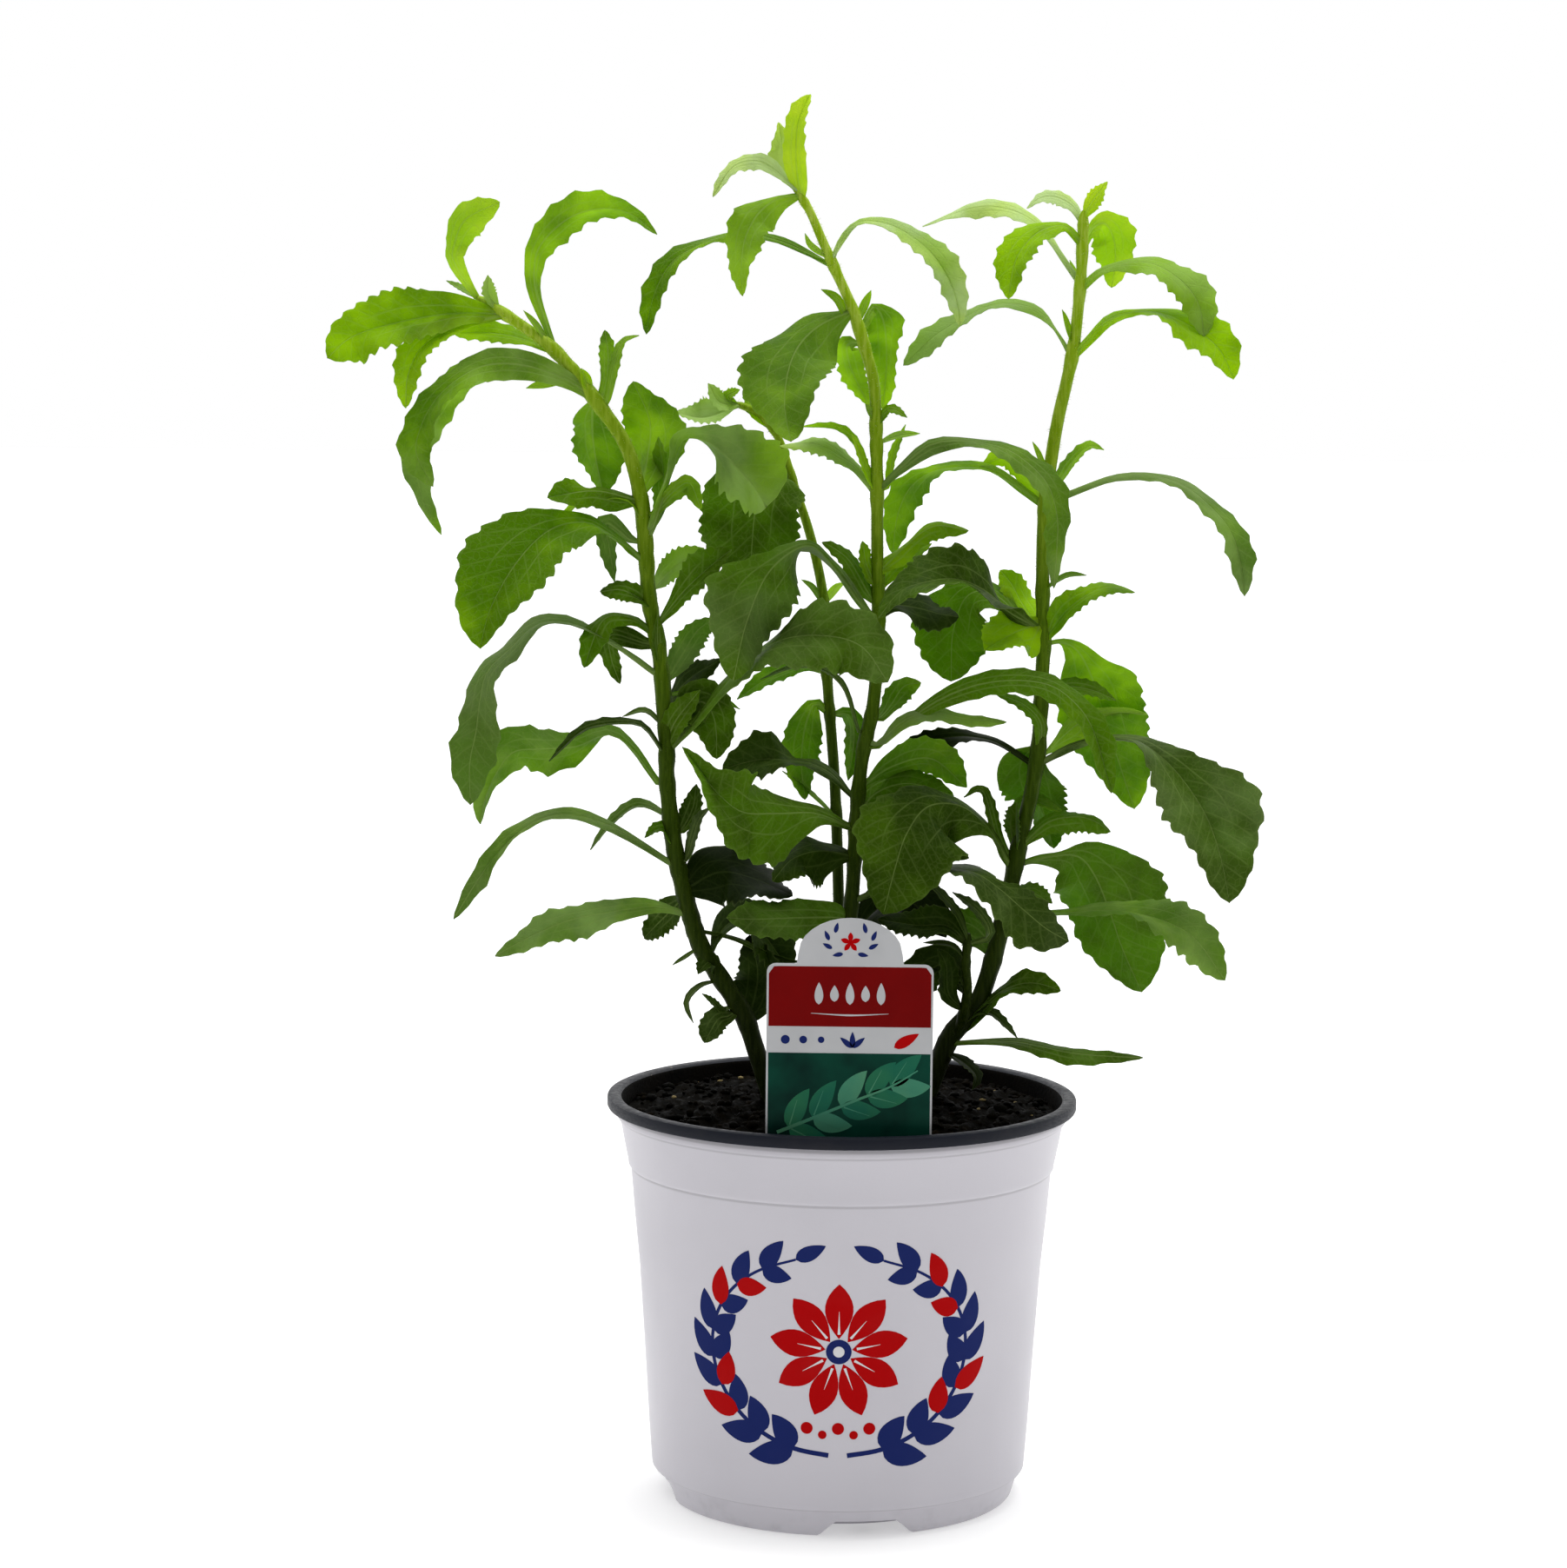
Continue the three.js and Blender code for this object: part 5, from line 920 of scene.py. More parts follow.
rightLeaves = [
    leaf(8, [50], [-5], [[79.5, 448], [82.5, 453.5], [87.8, 460.8]], [1, 2, 2.8, 3, 2.4, 1.2],
    [1, 2, 2.8, 3, 2.4, 1.2]),
    leaf(8, [60], [4, 2], [[78.5, 446], [77.6, 450], [75, 453], [70, 455.3], [65, 455], [60.3, 451.5]],
    [1, 1.6, 2.2, 2.4, 2.2, 1], [1, 1.6, 2.2, 2.4, 2.2, 1]),
    leaf(9, [80, 60], [14, 22], [[77.5, 426], [71, 437], [64, 446], [54, 451], [42, 451.5],
    [24.5, 445]], [1, 1.2, 1.5, 2.7, 2.2, 0.7], [1, 0.6, 2, 3, 3.9, 0.8]),
    leaf(16, [75, 35], [-10, -18], [[79.5, 439], [73, 445.5], [64, 443], [57, 434], [54.5, 420.5]],
    [1.5, 1, 4, 6.9, 7.3, 5], [1.2, 1.8, 3.9, 4.3, 4.2, 3.7]),
    leaf(15, [165], [14, 20], [[79.5, 436], [82.3, 444], [87, 446.7], [90.3, 441.5], [91, 433],
    [89.8, 424.7]], [1, 1.5, 4, 8, 6.5, 4.5], [1, 2, 5, 7, 8, 5]),
    leaf(17, [75, 55, 35], [-12, -20], [[79.7, 423.5], [86.5, 430.3], [96.7, 433.5], [106.4, 431.8],
    [115.2, 425.8], [120.1, 418.5], [122, 408.3]], [1.5, 1, 1.9, 3.7, 7, 6.2],
    [1.2, 1.7, 3.7, 3.8, 5.3, 5.4]),
    leaf(20, [80, 50, 30], [-14, -28], [[77.4, 399.9], [82.1, 407.4], [89.5, 413.9], [99.2, 416.7],
    [110, 415.2], [119.8, 409.9], [127.5, 403.6], [132.5, 393.7]], [0.7, 1.5, 0.5, 3, 8, 7.5],
    [2.3, 2.5, 1, 2.5, 5.6, 5.3]),
    leaf(13, [95, 75, 55], [16, 26], [[76.3, 400.9], [71.3, 409.5], [64.7, 416.4], [56, 418.8],
    [47.4, 417.8], [38.8, 413.5], [29.2, 407.5], [21.7, 400.4], [18.5, 397.4]],
    [1.2, 2, 1.4, 1.8, 3.2, 4.7], [1.8, 2.6, 1.5, 1.2, 2.8, 4]),
    leaf(4, [60], [-5], [[76.5, 404], [75, 410], [73, 417]]),
    leaf(3, [60], [6], [[77.5, 425], [75.3, 434]]),
    leaf(9, [60], [8, 10], [[72, 356], [77, 364], [83, 370], [88.2, 369]]),
    leaf(4, [60], [-5], [[71, 358], [66, 366], [63.5, 371.5]]),
    leaf(15, [85, 80, 50, 10], [-8, -18, -26], [[69, 350.5], [83, 356.8], [93.7, 360.2], [104.6, 360.3],
    [115.4, 357.1], [124.2, 350.7], [132, 342.1], [136, 331.3], [137.9, 318.9]],
    [0.4, 0.6, 1, 1.9, 3.5, 6], [1.9, 1.8, 2.2, 1.7, 3.2, 4.1]),
    leaf(9, [165], [10], [[68, 350], [62, 360], [54, 366], [45.5, 362.5]]),
    leaf(17, [120, 160], [16, 26], [[66.9, 349.1], [58.1, 356.6], [48.2, 361.9], [38.5, 362.8],
    [28.8, 361.1], [21.2, 355.1], [17, 345.3], [15.6, 332.3]], [1.2, 1.9, 2, 1.5, 6.1, 5],
    [1.5, 1.2, 0.5, 2.2, 6.3, 5.6]),
    leaf(4, [60], [-5], [[70, 320], [76, 325], [83, 325.5]]),
    leaf(13, [65], [-8, -12], [[69, 302], [76, 312.6], [85.1, 319.6], [91.9, 321.4], [99.8, 319.7]],
    [2, 5, 6, 3.6, 2.2, 0.8], [1.5, 2.5, 2.5, 2.6, 3, 1.8]),
    leaf(14, [60], [14, 16], [[66, 305], [61, 315], [57, 322], [53, 327]], [2, 4, 5, 5, 5, 4.5],
    [2, 5, 6, 6, 5, 4]),
    leaf(26, [110, 75, 55], [-14, -34, -40], [[67, 305.6], [57.6, 312], [47.2, 320], [37.9, 323.5],
    [27.6, 322.5], [18.5, 319], [10.9, 309.6]], [2, 5, 8, 12, 8, 4], [2, 3, 3, 3, 3, 3]),
    leaf(27, [60, 30, 12], [8, 12, 6], [[65, 305], [52, 318], [42, 318], [37, 305], [36.5, 288]],
    [1.2, 2, 3, 9, 14.8, 11], [1.2, 3, 8, 10, 13, 11.3]),
    leaf(20, [60, 40], [-8, -14], [[67, 309], [60, 306], [53, 302], [48, 299]], [3, 6, 8, 9, 8, 6],
    [3, 10, 10, 7, 5, 3]),
    leaf(33, [140, 165, 170], [14, 26, 30], [[69.9, 301], [75.1, 302.5], [80.9, 298.8], [85.6, 289.7],
    [89.9, 277], [95.3, 260.9], [101.1, 244.1]], [1, 5.8, 14.4, 14.7, 13.2, 9.8],
    [1, 9.3, 14, 16, 13.4, 7.6]),
    leaf(14, [90, 110], [10, 18], [[68, 259], [73, 267], [82, 274.5], [93, 278], [105, 277.3]],
    [1, 2.5, 4, 2.5, 1.5, 1.2], [1, 5, 8, 3, 1.2, 0.8]),
    leaf(8, [60], [-6, -8], [[68.5, 262], [68, 273], [62, 280], [52, 284]], [1, 2, 2.5, 2.5, 2, 1.5],
    [1, 2, 2.5, 2.5, 2, 1.5]),
    leaf(34, [65, 30, 15, 10], [-10, -24, -36], [[69.4, 260.6], [79.1, 265.9], [90.6, 268.4],
    [102.1, 267.3], [111.4, 261.1], [119.7, 251.9], [126.8, 240.4], [131.7, 226.5], [134.9, 211.4]],
    [1, 1.2, 4.2, 10.6, 20, 12.5], [1.3, 1.2, 1, 9.2, 12.4, 8.4]),
    leaf(24, [150], [16, 22], [[67, 266], [66, 258], [68, 248], [71, 238], [73.2, 229.8]],
    [4, 8, 9, 9, 8, 5], [8, 13, 13, 11, 7, 4]),
    leaf(11, [120, 150], [10, 16], [[64, 259], [55, 266], [48, 268.5], [38, 269], [26, 266], [14, 260]],
    [1, 1, 1.5, 3, 4, 3], [1, 1, 1.5, 3, 4.5, 3]),
    leaf(18, [150], [12, 18], [[46, 174], [38, 187], [30, 186], [22, 170]]),
    leaf(36, [80, 40, 12, 8], [-14, -34, -44], [[57.3, 224.4], [49.6, 237.2], [40, 244.5], [29, 244],
    [22, 235], [18, 223], [13.9, 205.8]], [1.3, 1.5, 2.3, 11, 18, 11], [1.3, 2, 14, 22, 20, 15]),
    leaf(7, [50], [-4], [[58, 224], [53, 234], [48, 249.5], [41.5, 247.5]]),
    leaf(11, [60], [-8, -12], [[61.5, 229], [70.4, 238.6], [79.6, 241], [86.5, 239.9], [92.9, 235.9]],
    [1.2, 2, 2.5, 2, 1.5, 1.4], [1.2, 3, 4.5, 5.8, 5.4, 4.6]),
    leaf(10, [60], [8], [[62, 230], [60, 241], [66, 246], [77, 242]]),
    leaf(38, [150, 165, 165], [12, 20, 18], [[61.4, 223.3], [72.9, 227.5], [82.1, 227.1], [88, 220.1],
    [93, 208.5], [98, 194.6], [104.9, 179.4]], [1.2, 2, 13, 22, 19, 14.8],
    [1.2, 6, 13.3, 15.3, 14.6, 8.9]),
    leaf(22, [75, 50, 30], [-12, -24, -30], [[55, 203], [68.6, 206.5], [80.1, 207.2], [94, 208],
    [110.2, 205.2], [123, 198.5], [134, 183.9]], [1.3, 1.5, 2.9, 5, 9, 6.9],
    [1.3, 1.2, 1.2, 1, 5.8, 7.3]),
    leaf(12, [60], [-5], [[57, 207], [64, 214], [73, 210.5]]),
    leaf(10, [70], [-6, -8], [[44, 166], [52, 176], [60, 181], [68, 182], [76.5, 179.5]],
    [1.2, 1.5, 1.5, 2.2, 5, 4], [1.2, 2, 2.5, 2, 3.5, 3.5]),
    leaf(7, [60], [-8], [[41, 163], [47, 171], [52, 171], [57, 167], [61.5, 162.5]]),
    leaf(9, [75], [-16, -34, -38], [[36, 160.5], [50, 161.2], [61, 161], [70, 159.5], [80, 157.5],
    [92, 156.5], [105.8, 156.1]], [0.7, 1.2, 1.8, 1.5, 2, 1.8], [0.7, 1.3, 2, 3.5, 4.2, 2.5]),
    leaf(8, [60], [-8], [[36, 157], [42, 154], [47, 149], [46, 144]]),
    leaf(9, [50], [2, 6], [[69, 280], [76, 286], [85, 285.5], [94, 282]]),
    leaf(6, [60], [-5], [[44, 167], [50, 175], [58, 178]]),
    leaf(15, [150], [6, 10], [[53, 190], [50, 198], [44, 203], [36, 204]], [2, 3, 4, 5, 5, 4],
    [2, 5, 7, 8, 7, 5]),
    leaf(12, [60], [-4], [[59, 226], [60, 236], [60, 246]]),
]

sideShoot = stalk([1.9, 1.6, 1.3], [5, -6, -10], [
  [38.5, 163.4], [41.5, 167], [43.7, 179], [43, 189], [44, 199.5],
])

shootLeaves = [
    leaf(8, [60], [-6], [[44, 196], [51, 199], [47, 207], [38, 214]]),
    leaf(5, [50], [-8, -14], [[44, 197], [40, 206], [34, 213], [28, 219]]),
    leaf(12, [60], [8, 10], [[44, 196], [36, 202], [26, 202], [12, 204]], [2, 5, 7, 7, 5, 3],
    [2, 3, 4, 4, 4, 3]),
    leaf(4, [60], [-4], [[43, 190], [38, 195], [28, 196]]),
    leaf(10, [40], [-6, -8], [[42, 172], [37, 178], [36, 188], [33, 194]]),
]

# Back stem

backStem = stalk([2.1, 2, 1.9, 1.8, 1.6, 1.1], [22, 24, 27, 30, 33, 36], [
  [2, 122], [0, 140], [-1, 180], [-2, 215], [-3.5, 250], [-6, 280], [-7.5, 300], [-8.5, 318], [-13, 338],
  [-19, 356], [-24, 371], [-31, 380], [-40, 384],
])

backLeaves = [
    leaf(38, [70, 20, 10], [-12, -20], [[-20, 358], [-27, 361], [-32, 348], [-34, 322]],
    [3, 12, 19, 19, 18.5, 14], [3, 10, 15, 16, 15.5, 12]),
    leaf(5, [40], [-4], [[-39, 383], [-42, 386], [-38, 388.5]]),
    leaf(8, [40], [-6], [[-38, 382], [-45, 384], [-49, 390.5]]),
    leaf(12, [140], [6], [[-39, 382], [-50, 379], [-60, 380.5]], [1, 3, 6, 7, 5, 2],
    [1, 2, 2.5, 2.5, 2, 1.5]),
    leaf(7, [30], [5], [[-27, 375], [-33, 382], [-36, 391]]),
    leaf(3, [40], [-4], [[-8.5, 314], [-12, 320], [-16, 323]]),
    leaf(4, [40], [5], [[-8, 314], [-4, 320], [-1, 322]]),
    leaf(9, [140], [8, 12], [[-6, 290], [-15, 293], [-28, 288], [-38, 281]]),
    leaf(16, [150], [-6, -8], [[-6, 276], [-11, 279.5], [-14.5, 270], [-15.5, 258], [-14, 246]],
    [1.5, 4, 6.5, 7, 6, 3.5], [1.5, 4, 6.5, 7, 6, 3.5]),
    leaf(10, [150], [8, 10], [[-5, 276], [1, 276], [3, 268], [1, 253]]),
    leaf(7, [100], [-6], [[-4, 240], [-10, 246], [-17, 252], [-22, 256]]),
]

# How light a leaf is, from about 0 for deep to 1.3 for the palest tips, and how grey, from 0 to 1, by its
# place in the list. Set by hand, then corrected by a scratch program. The rest take theirs from toneAt.
# The lightness here is partly each leaf's own colour and partly painted light and shade: leaves shaded
# inside the plant are set deep and the backlit top leaves pale. The grey is partly the underside's colour
# and partly painted sheen.
leftTones = {
    0: (0.88, 0), 1: (1.08, 0.1), 2: (0.8, 0.3), 3: (1.07, 0.5), 4: (0.88, 0), 5: (0.94, 0), 6: (0.93, 0),
    8: (0.78, 0.35), 9: (0.88, 0.5), 10: (0.93, 0.15), 11: (1.03, 0), 12: (0.79, 0), 13: (0.83, 0.15),
    14: (0.71, 0), 15: (0.85, 0), 16: (0.87, 0.55), 17: (0.86, 0), 18: (0.7, 0), 19: (0.85, 0),
    20: (0.67, 0.35), 21: (0.74, 0), 22: (0.53, 0), 23: (0.87, 0.65), 24: (0.56, 0), 25: (0.64, 0),
    26: (0.43, 0), 27: (0.66, 0.75), 28: (0.56, 0), 29: (0.77, 0.65), 30: (0.27, 0), 31: (0.54, 0.25),
    32: (0.45, 0), 33: (0.69, 0), 34: (0.54, 0), 35: (0.37, 0), 36: (0.48, 0.15), 37: (0.75, 0.35),
    38: (0.55, 0.6), 39: (0.73, 0.8), 40: (0.35, 0), 41: (0.36, 0.65), 42: (0.56, 0), 43: (0.86, 0.9),
    44: (0.33, 0.05), 45: (0.31, 0.05), 46: (0.25, 0.1), 47: (0.38, 0.35), 48: (-0.1, 0.05),
    49: (0.13, 0.2), 50: (0.45, 0.45), 51: (0.25, 0.1), 52: (0.79, 0), 54: (0.51, 0.25),
}
centreTones = {
    0: (1.23, 0.05), 1: (1.27, 0.4), 2: (1.32, 1), 3: (0.93, 0.15), 4: (0.74, 0), 5: (1.14, 0.9),
    6: (1.05, 0.2), 7: (0.82, 0), 8: (0.85, 0), 9: (0.77, 0.15), 10: (0.84, 0), 11: (0.9, 0),
    13: (0.78, 0), 14: (0.94, 0.3), 15: (0.95, 0), 16: (1.03, 0), 17: (0.9, 0.05), 18: (1.12, 0.8),
    19: (0.72, 0.5), 20: (0.83, 0), 21: (0.79, 0), 22: (0.8, 0), 23: (0.59, 0.4), 24: (0.14, 0.2),
    25: (0.41, 0.1), 26: (0.66, 0), 27: (0.71, 0.05), 28: (0.87, 0.8), 29: (0.76, 0.05), 30: (0.55, 0.05),
    31: (0.51, 0.2), 32: (0.24, 0.15), 33: (0.38, 0.45), 34: (0.21, 0.05), 35: (0.06, 0.15),
    36: (0.57, 0), 37: (0.62, 0),
}
rightTones = {
    0: (1.21, 0), 1: (1.27, 1), 2: (1.21, 1), 3: (0.96, 0), 4: (1.05, 0), 5: (0.99, 0.35), 6: (0.96, 0),
    7: (0.92, 1), 9: (1.05, 0.2), 10: (0.82, 0.1), 12: (0.76, 0.7), 13: (1, 0), 14: (0.81, 0),
    16: (0.79, 0), 17: (0.95, 0), 18: (0.47, 0.05), 19: (0.65, 0), 20: (0.92, 0), 21: (0.78, 0),
    22: (0.9, 0.2), 23: (0.71, 0), 24: (0.47, 0.55), 25: (0.67, 0.1), 26: (0.05, 0.1), 28: (0.45, 0.05),
    29: (0.49, 0), 30: (0.61, 0.05), 31: (0.77, 0.15), 32: (0.62, 0), 33: (0.76, 0.45), 34: (0.62, 0.45),
    35: (0.48, 0), 36: (0.31, 0.35), 37: (0.53, 0.3), 38: (-0.01, 0.3), 39: (0.64, 0), 40: (0.45, 0.1),
    41: (0.52, 0.25), 42: (0.52, 0),
}
shootTones = {
    0: (0.32, 0.45), 1: (0.1, 0.3), 2: (0.15, 0.05), 3: (0.1, 0.1), 4: (0.08, 0.05),
}
backTones = {
    0: (0.55, 0), 1: (0.92, 0.1), 2: (1.07, 0.55), 3: (1.11, 1), 4: (0.92, 0), 6: (0.95, 0.3),
    7: (0.71, 0.05), 8: (0.75, 0), 9: (0.59, 0), 10: (0.78, 0.35),
}

leafyStem("foliageLeft", [(leftStem, leftLeaves, leftTones)], "stem_left")
leafyStem("foliageCentre", [(centreStem, centreLeaves, centreTones)], "stem_centre")
rightParts = [(rightStem, rightLeaves, rightTones), (sideShoot, shootLeaves, shootTones)]
leafyStem("foliageRight", rightParts, "stem_right")
leafyStem("foliageBack", [(backStem, backLeaves, backTones)], "stem_back")

# Pot

pot = {
    "sides": 168,
    "feet": [9.5, 99.5, 189.5, 279.5],  # degrees round from the front
    "footWidths": (16.0, 10.75),  # half of a pocket at the ground and at its ceiling
    "footHeight": 5.0,
    "footFrom": 45.8,
    "footRim": 63.0,  # radius where the pockets' edges meet the wall
    "footTop": 9.5,  # nothing above this is lifted by a pocket
    "drain": 4.0,  # radius of a drain hole, and how far out it lies
    "drainReach": 53.8,
    "drainSides": 24,
    "wall": 1.2,
    "rowsBeforeShadedInside": 8,  # rows of the lip's list before the inside, and before the inside of the foot
    "floorRows": 16,
}

# radius and height, from under the floor up the outside, over the lip and down the inside
potOutside = [
    (0, 0), (30, 0), (45.6, 0), (46.0, 0), (53.8, 0), (59.6, 0), (60.3, 0.1), (61.2, 0.7), (61.8, 1.5),
    (62.6, 4.2), (63.3, 7), (63.7, 8.8), (64.1, 9.4), (64.8, 9.75), (65.6, 10.0), (65.95, 10.5), (66.1, 12),
    (67.1, 25), (68.9, 54), (70.8, 82), (72.6, 100), (74.05, 116.7), (74.15, 117.1), (74.7, 117.45),
    (74.95, 117.8), (75.0, 118.6), (76.2, 124.5), (77.9, 133.6), (78.1, 134.0), (78.75, 134.25), (79, 134.7),
    (79, 137.0), (78.8, 137.4),
]
potLip = [
    (79.6, 137.7), (81.6, 137.8), (82.2, 138.0), (82.5, 138.6), (82.5, 141.1), (82.25, 141.7), (81.6, 142),
    (79.2, 142), (78.4, 141.8), (77.6, 141.2), (77.1, 140.2), (76.4, 132), (73.5, 117.4), (72.9, 117),
    (69.6, 82), (65.9, 25), (64.8, 10.4), (62.4, 9.2), (60.4, 1.2), (52, 1.2), (44.6, 1.2), (44.2, 1.2),
    (0, 1.2),
]


def potAngles():
    angles = {round(k * 360 / pot["sides"], 4) for k in range(pot["sides"])}
    for foot in pot["feet"]:
        marks = [math.degrees(math.asin(half / pot["footRim"])) for half in pot["footWidths"]]
        marks = [(foot + sign * mark) % 360 for mark in marks for sign in (-1, 1)]
        angles = {a for a in angles if min(abs(a - m) for m in marks) > 0.7} | set(marks)
    return sorted(angles)


def footLift(radius, angle, margin):  # how far a drain pocket lifts the floor here
    if radius < pot["footFrom"] - margin:
        return 0.0
    for foot in pot["feet"]:
        away = math.radians((angle - foot + 180) % 360 - 180)
        aside = abs(radius * math.sin(away)) - margin
        if abs(away) < 0.5:
            low, high = pot["footWidths"]
            return pot["footHeight"] * min(max((low - aside) / (low - high), 0), 1)
    return 0.0


def makePot():
    heap = newHeap()
    angles = potAngles()
    profile = potOutside + potLip
    floor = len(potOutside) + pot["floorRows"]
    spots = []
    for row, (radius, height) in enumerate(profile[1:-1], 1):
        base = pot["wall"] if row >= floor else 0
        for angle in angles:
            z = height
            if height < pot["footTop"]:
                z += footLift(radius, angle, base) * (pot["footTop"] - height) / (pot["footTop"] - base)
            turn = math.radians(angle)
            spots.append((radius * math.sin(turn), -radius * math.cos(turn), z))
    size = len(angles)
    rows = len(profile) - 2
    white, inside = len(potOutside) - 2, len(potOutside) + pot["rowsBeforeShadedInside"]
    low, high = len(spots), len(spots) + 1
    spots += [(0, 0, 0), (0, 0, pot["wall"])]
    faces = skin(rows, size)
    slots = [0 if k // size < white else 1 if k // size < inside else 2 for k in range(len(faces))]
    last = (rows - 1) * size
    for k in range(size):
        faces += [(low, (k + 1) % size, k), (high, last + k, last + (k + 1) % size)]
        slots += [0, 2]
    addTo(heap, spots, faces, 0)
    heap["slots"] = slots
    piece = makePiece("potShell", heap, [potWhite, potGrey, potInsideShaded], crease=32)
    drillDrains(piece)
    return piece


def drillDrains(piece):
    heap = newHeap()
    count = pot["drainSides"]
    turns = np.linspace(0, 2 * math.pi, count + 1)[:-1]
    ring = [(pot["drain"] * math.cos(turn), pot["drain"] * math.sin(turn)) for turn in turns]
    for foot in pot["feet"]:
        turn = math.radians(foot)
        x, y = pot["drainReach"] * math.sin(turn), -pot["drainReach"] * math.cos(turn)
        spots = [(x + dx, y + dy, z) for z in (-2, 12) for dx, dy in ring]
        faces = skin(2, count) + [tuple(range(count))[::-1], tuple(range(count, 2 * count))]
        addTo(heap, spots, faces, 0)
    drill = makePiece("drill", heap, [])
    cut = piece.modifiers.new("drains", "BOOLEAN")
    cut.object, cut.operation, cut.solver = drill, "DIFFERENCE", "EXACT"
    shown = piece.evaluated_get(bpy.context.evaluated_depsgraph_get())
    done = bpy.data.meshes.new_from_object(shown)
    piece.modifiers.clear()
    piece.data = done
    bpy.data.objects.remove(drill)


potLook = {
    "white": (0.515, 0.5, 0.54),
    "shade": (0.43, 0.42, 0.455),
    "grey": (0.0085, 0.01, 0.0155),
    # real dust at the foot, and the colour of the painted shade at the wall's steps
    "dustAndShade": (0.045, 0.04, 0.038),
    "dirt": (0.03, 0.025, 0.02),
    "crumb": (0.2, 0.17, 0.13),
    # the inside wall's colours: earth tones darkened as painted shade inside the pot
    "earthAndShade": [(0.0006, 0.0005, 0.0003), (0.0025, 0.0018, 0.001), (0.005, 0.0033, 0.0015)],
    "splash": (0.014, 0.002),  # dust on the wall fades out between these heights, in metres
    "shadedSteps": [(0.1169, 0.0008), (0.1339, 0.0007), (0.1365, 0.0008), (0.0098, 0.0006)],  # painted shade at the steps of the wall: height and reach
    "shine": {"white": 0.3, "grey": 0.1, "inside": 0.03, "ink": 0.03},
}


def makePotWhite():
    finish, tree = startFinish("potWhite")
    cloud = grain(tree, 14, 3)
    fine = grain(tree, 900, 2)
    dirt = calc(tree, "MAXIMUM", flecks(tree, 130, 0.09, 0.02), flecks(tree, 60, 0.045, 0.03))
    cloudy = calc(tree, "MULTIPLY", fade(tree, cloud, 0.4, 0.8), 0.35)
    base = tint(tree, cloudy, potLook["white"], potLook["shade"])
    parts = tree.nodes.new("ShaderNodeSeparateXYZ")
    tree.links.new(put(tree, "ShaderNodeTexCoord", out=3), parts.inputs[0])
    high = parts.outputs[2]
    worn = fade(tree, grain(tree, 120, 4), 0.45, 0.75)
    low = calc(tree, "MULTIPLY", fade(tree, high, *potLook["splash"]), worn)
    base = tint(tree, calc(tree, "MULTIPLY", low, 0.15), base, potLook["dustAndShade"])
    for height, reach in potLook["shadedSteps"]:  # painted shade at the steps of the wall, in the dust colour
        away = calc(tree, "ABSOLUTE", calc(tree, "SUBTRACT", high, height))
        stepShade = fade(tree, away, reach, reach * 0.3)
        base = tint(tree, calc(tree, "MULTIPLY", stepShade, 0.25), base, potLook["dustAndShade"])
    base = tint(tree, calc(tree, "MULTIPLY", dirt, 0.85), base, potLook["dirt"])
    wires = {"Base Color": base, "Roughness": fade(tree, cloud, 0.3, 0.8, 0.38, 0.5)}
    wires |= {"Normal": relief(tree, fine, 0.00006, 0.5), "Specular IOR Level": potLook["shine"]["white"]}
    endFinish(tree, put(tree, "ShaderNodeBsdfPrincipled", wires))
    return finish


def makePotGrey():
    finish, tree = startFinish("potGrey")
    cloud = grain(tree, 35, 4)
    scuff = grain(tree, 420, 3, spot=place(tree, (1, 1, 6)))
    dirt = flecks(tree, 160, 0.12, 0.08)
    cloudy = calc(tree, "MULTIPLY", fade(tree, cloud, 0.45, 0.8), 0.3)
    base = tint(tree, cloudy, potLook["grey"], potLook["dustAndShade"])
    base = tint(tree, calc(tree, "MULTIPLY", dirt, 0.6), base, potLook["crumb"])
    wires = {"Base Color": base, "Roughness": fade(tree, scuff, 0.3, 0.7, 0.4, 0.56)}
    wires |= {"Normal": relief(tree, scuff, 0.00008, 0.5), "Specular IOR Level": potLook["shine"]["grey"]}
    endFinish(tree, put(tree, "ShaderNodeBsdfPrincipled", wires))
    return finish


def makePotInsideShaded():  # near-black earth colours on the inside wall, far darker than the grey lip: painted shade inside the pot
    finish, tree = startFinish("potInsideShaded")
    cloud = grain(tree, 60, 5)
    crumbs = grain(tree, 700, 4)
    dark, damp, light = potLook["earthAndShade"]
    base = tint(tree, fade(tree, cloud, 0.35, 0.7), dark, damp)
    base = tint(tree, fade(tree, crumbs, 0.55, 0.75, 0.0, 0.6), base, light)
    wires = {"Base Color": base, "Roughness": 0.8}
    wires |= {"Normal": relief(tree, crumbs, 0.0004, 0.8), "Specular IOR Level": potLook["shine"]["inside"]}
    endFinish(tree, put(tree, "ShaderNodeBsdfPrincipled", wires))
    return finish


def makeInk(name, colour, wear):
    finish, tree = startFinish(name)
    cloud = grain(tree, 60, 4)
    fine = grain(tree, 1400, 2)
    worn = tuple(0.97 * c + 0.03 * 0.4 for c in colour)  # a little paler
    base = tint(tree, calc(tree, "MULTIPLY", fade(tree, cloud, 0.45, 0.85), wear), colour, worn)
    base = tint(tree, flecks(tree, 300, 0.08, 0.03), base, worn)
    wires = {"Base Color": base, "Roughness": 0.4}
    wires |= {"Normal": relief(tree, fine, 0.00003, 0.4), "Specular IOR Level": potLook["shine"]["ink"]}
    endFinish(tree, put(tree, "ShaderNodeBsdfPrincipled", wires))
    return finish


potWhite = makePotWhite()
potGrey = makePotGrey()
potInsideShaded = makePotInsideShaded()
inkRed = makeInk("inkRed", (0.36, 0.0003, 0.001), 0.25)
inkNavy = makeInk("inkNavy", (0.009, 0.017, 0.1), 0.25)
inkPaper = makeInk("inkPaper", (0.6, 0.6, 0.61), 0.2)

potPiece = makePot()
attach(potPiece, "root")
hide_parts("pot")
print("pot", len(potPiece.data.polygons), "faces")

# Flat print: thin shapes that lie on a wall or on the label


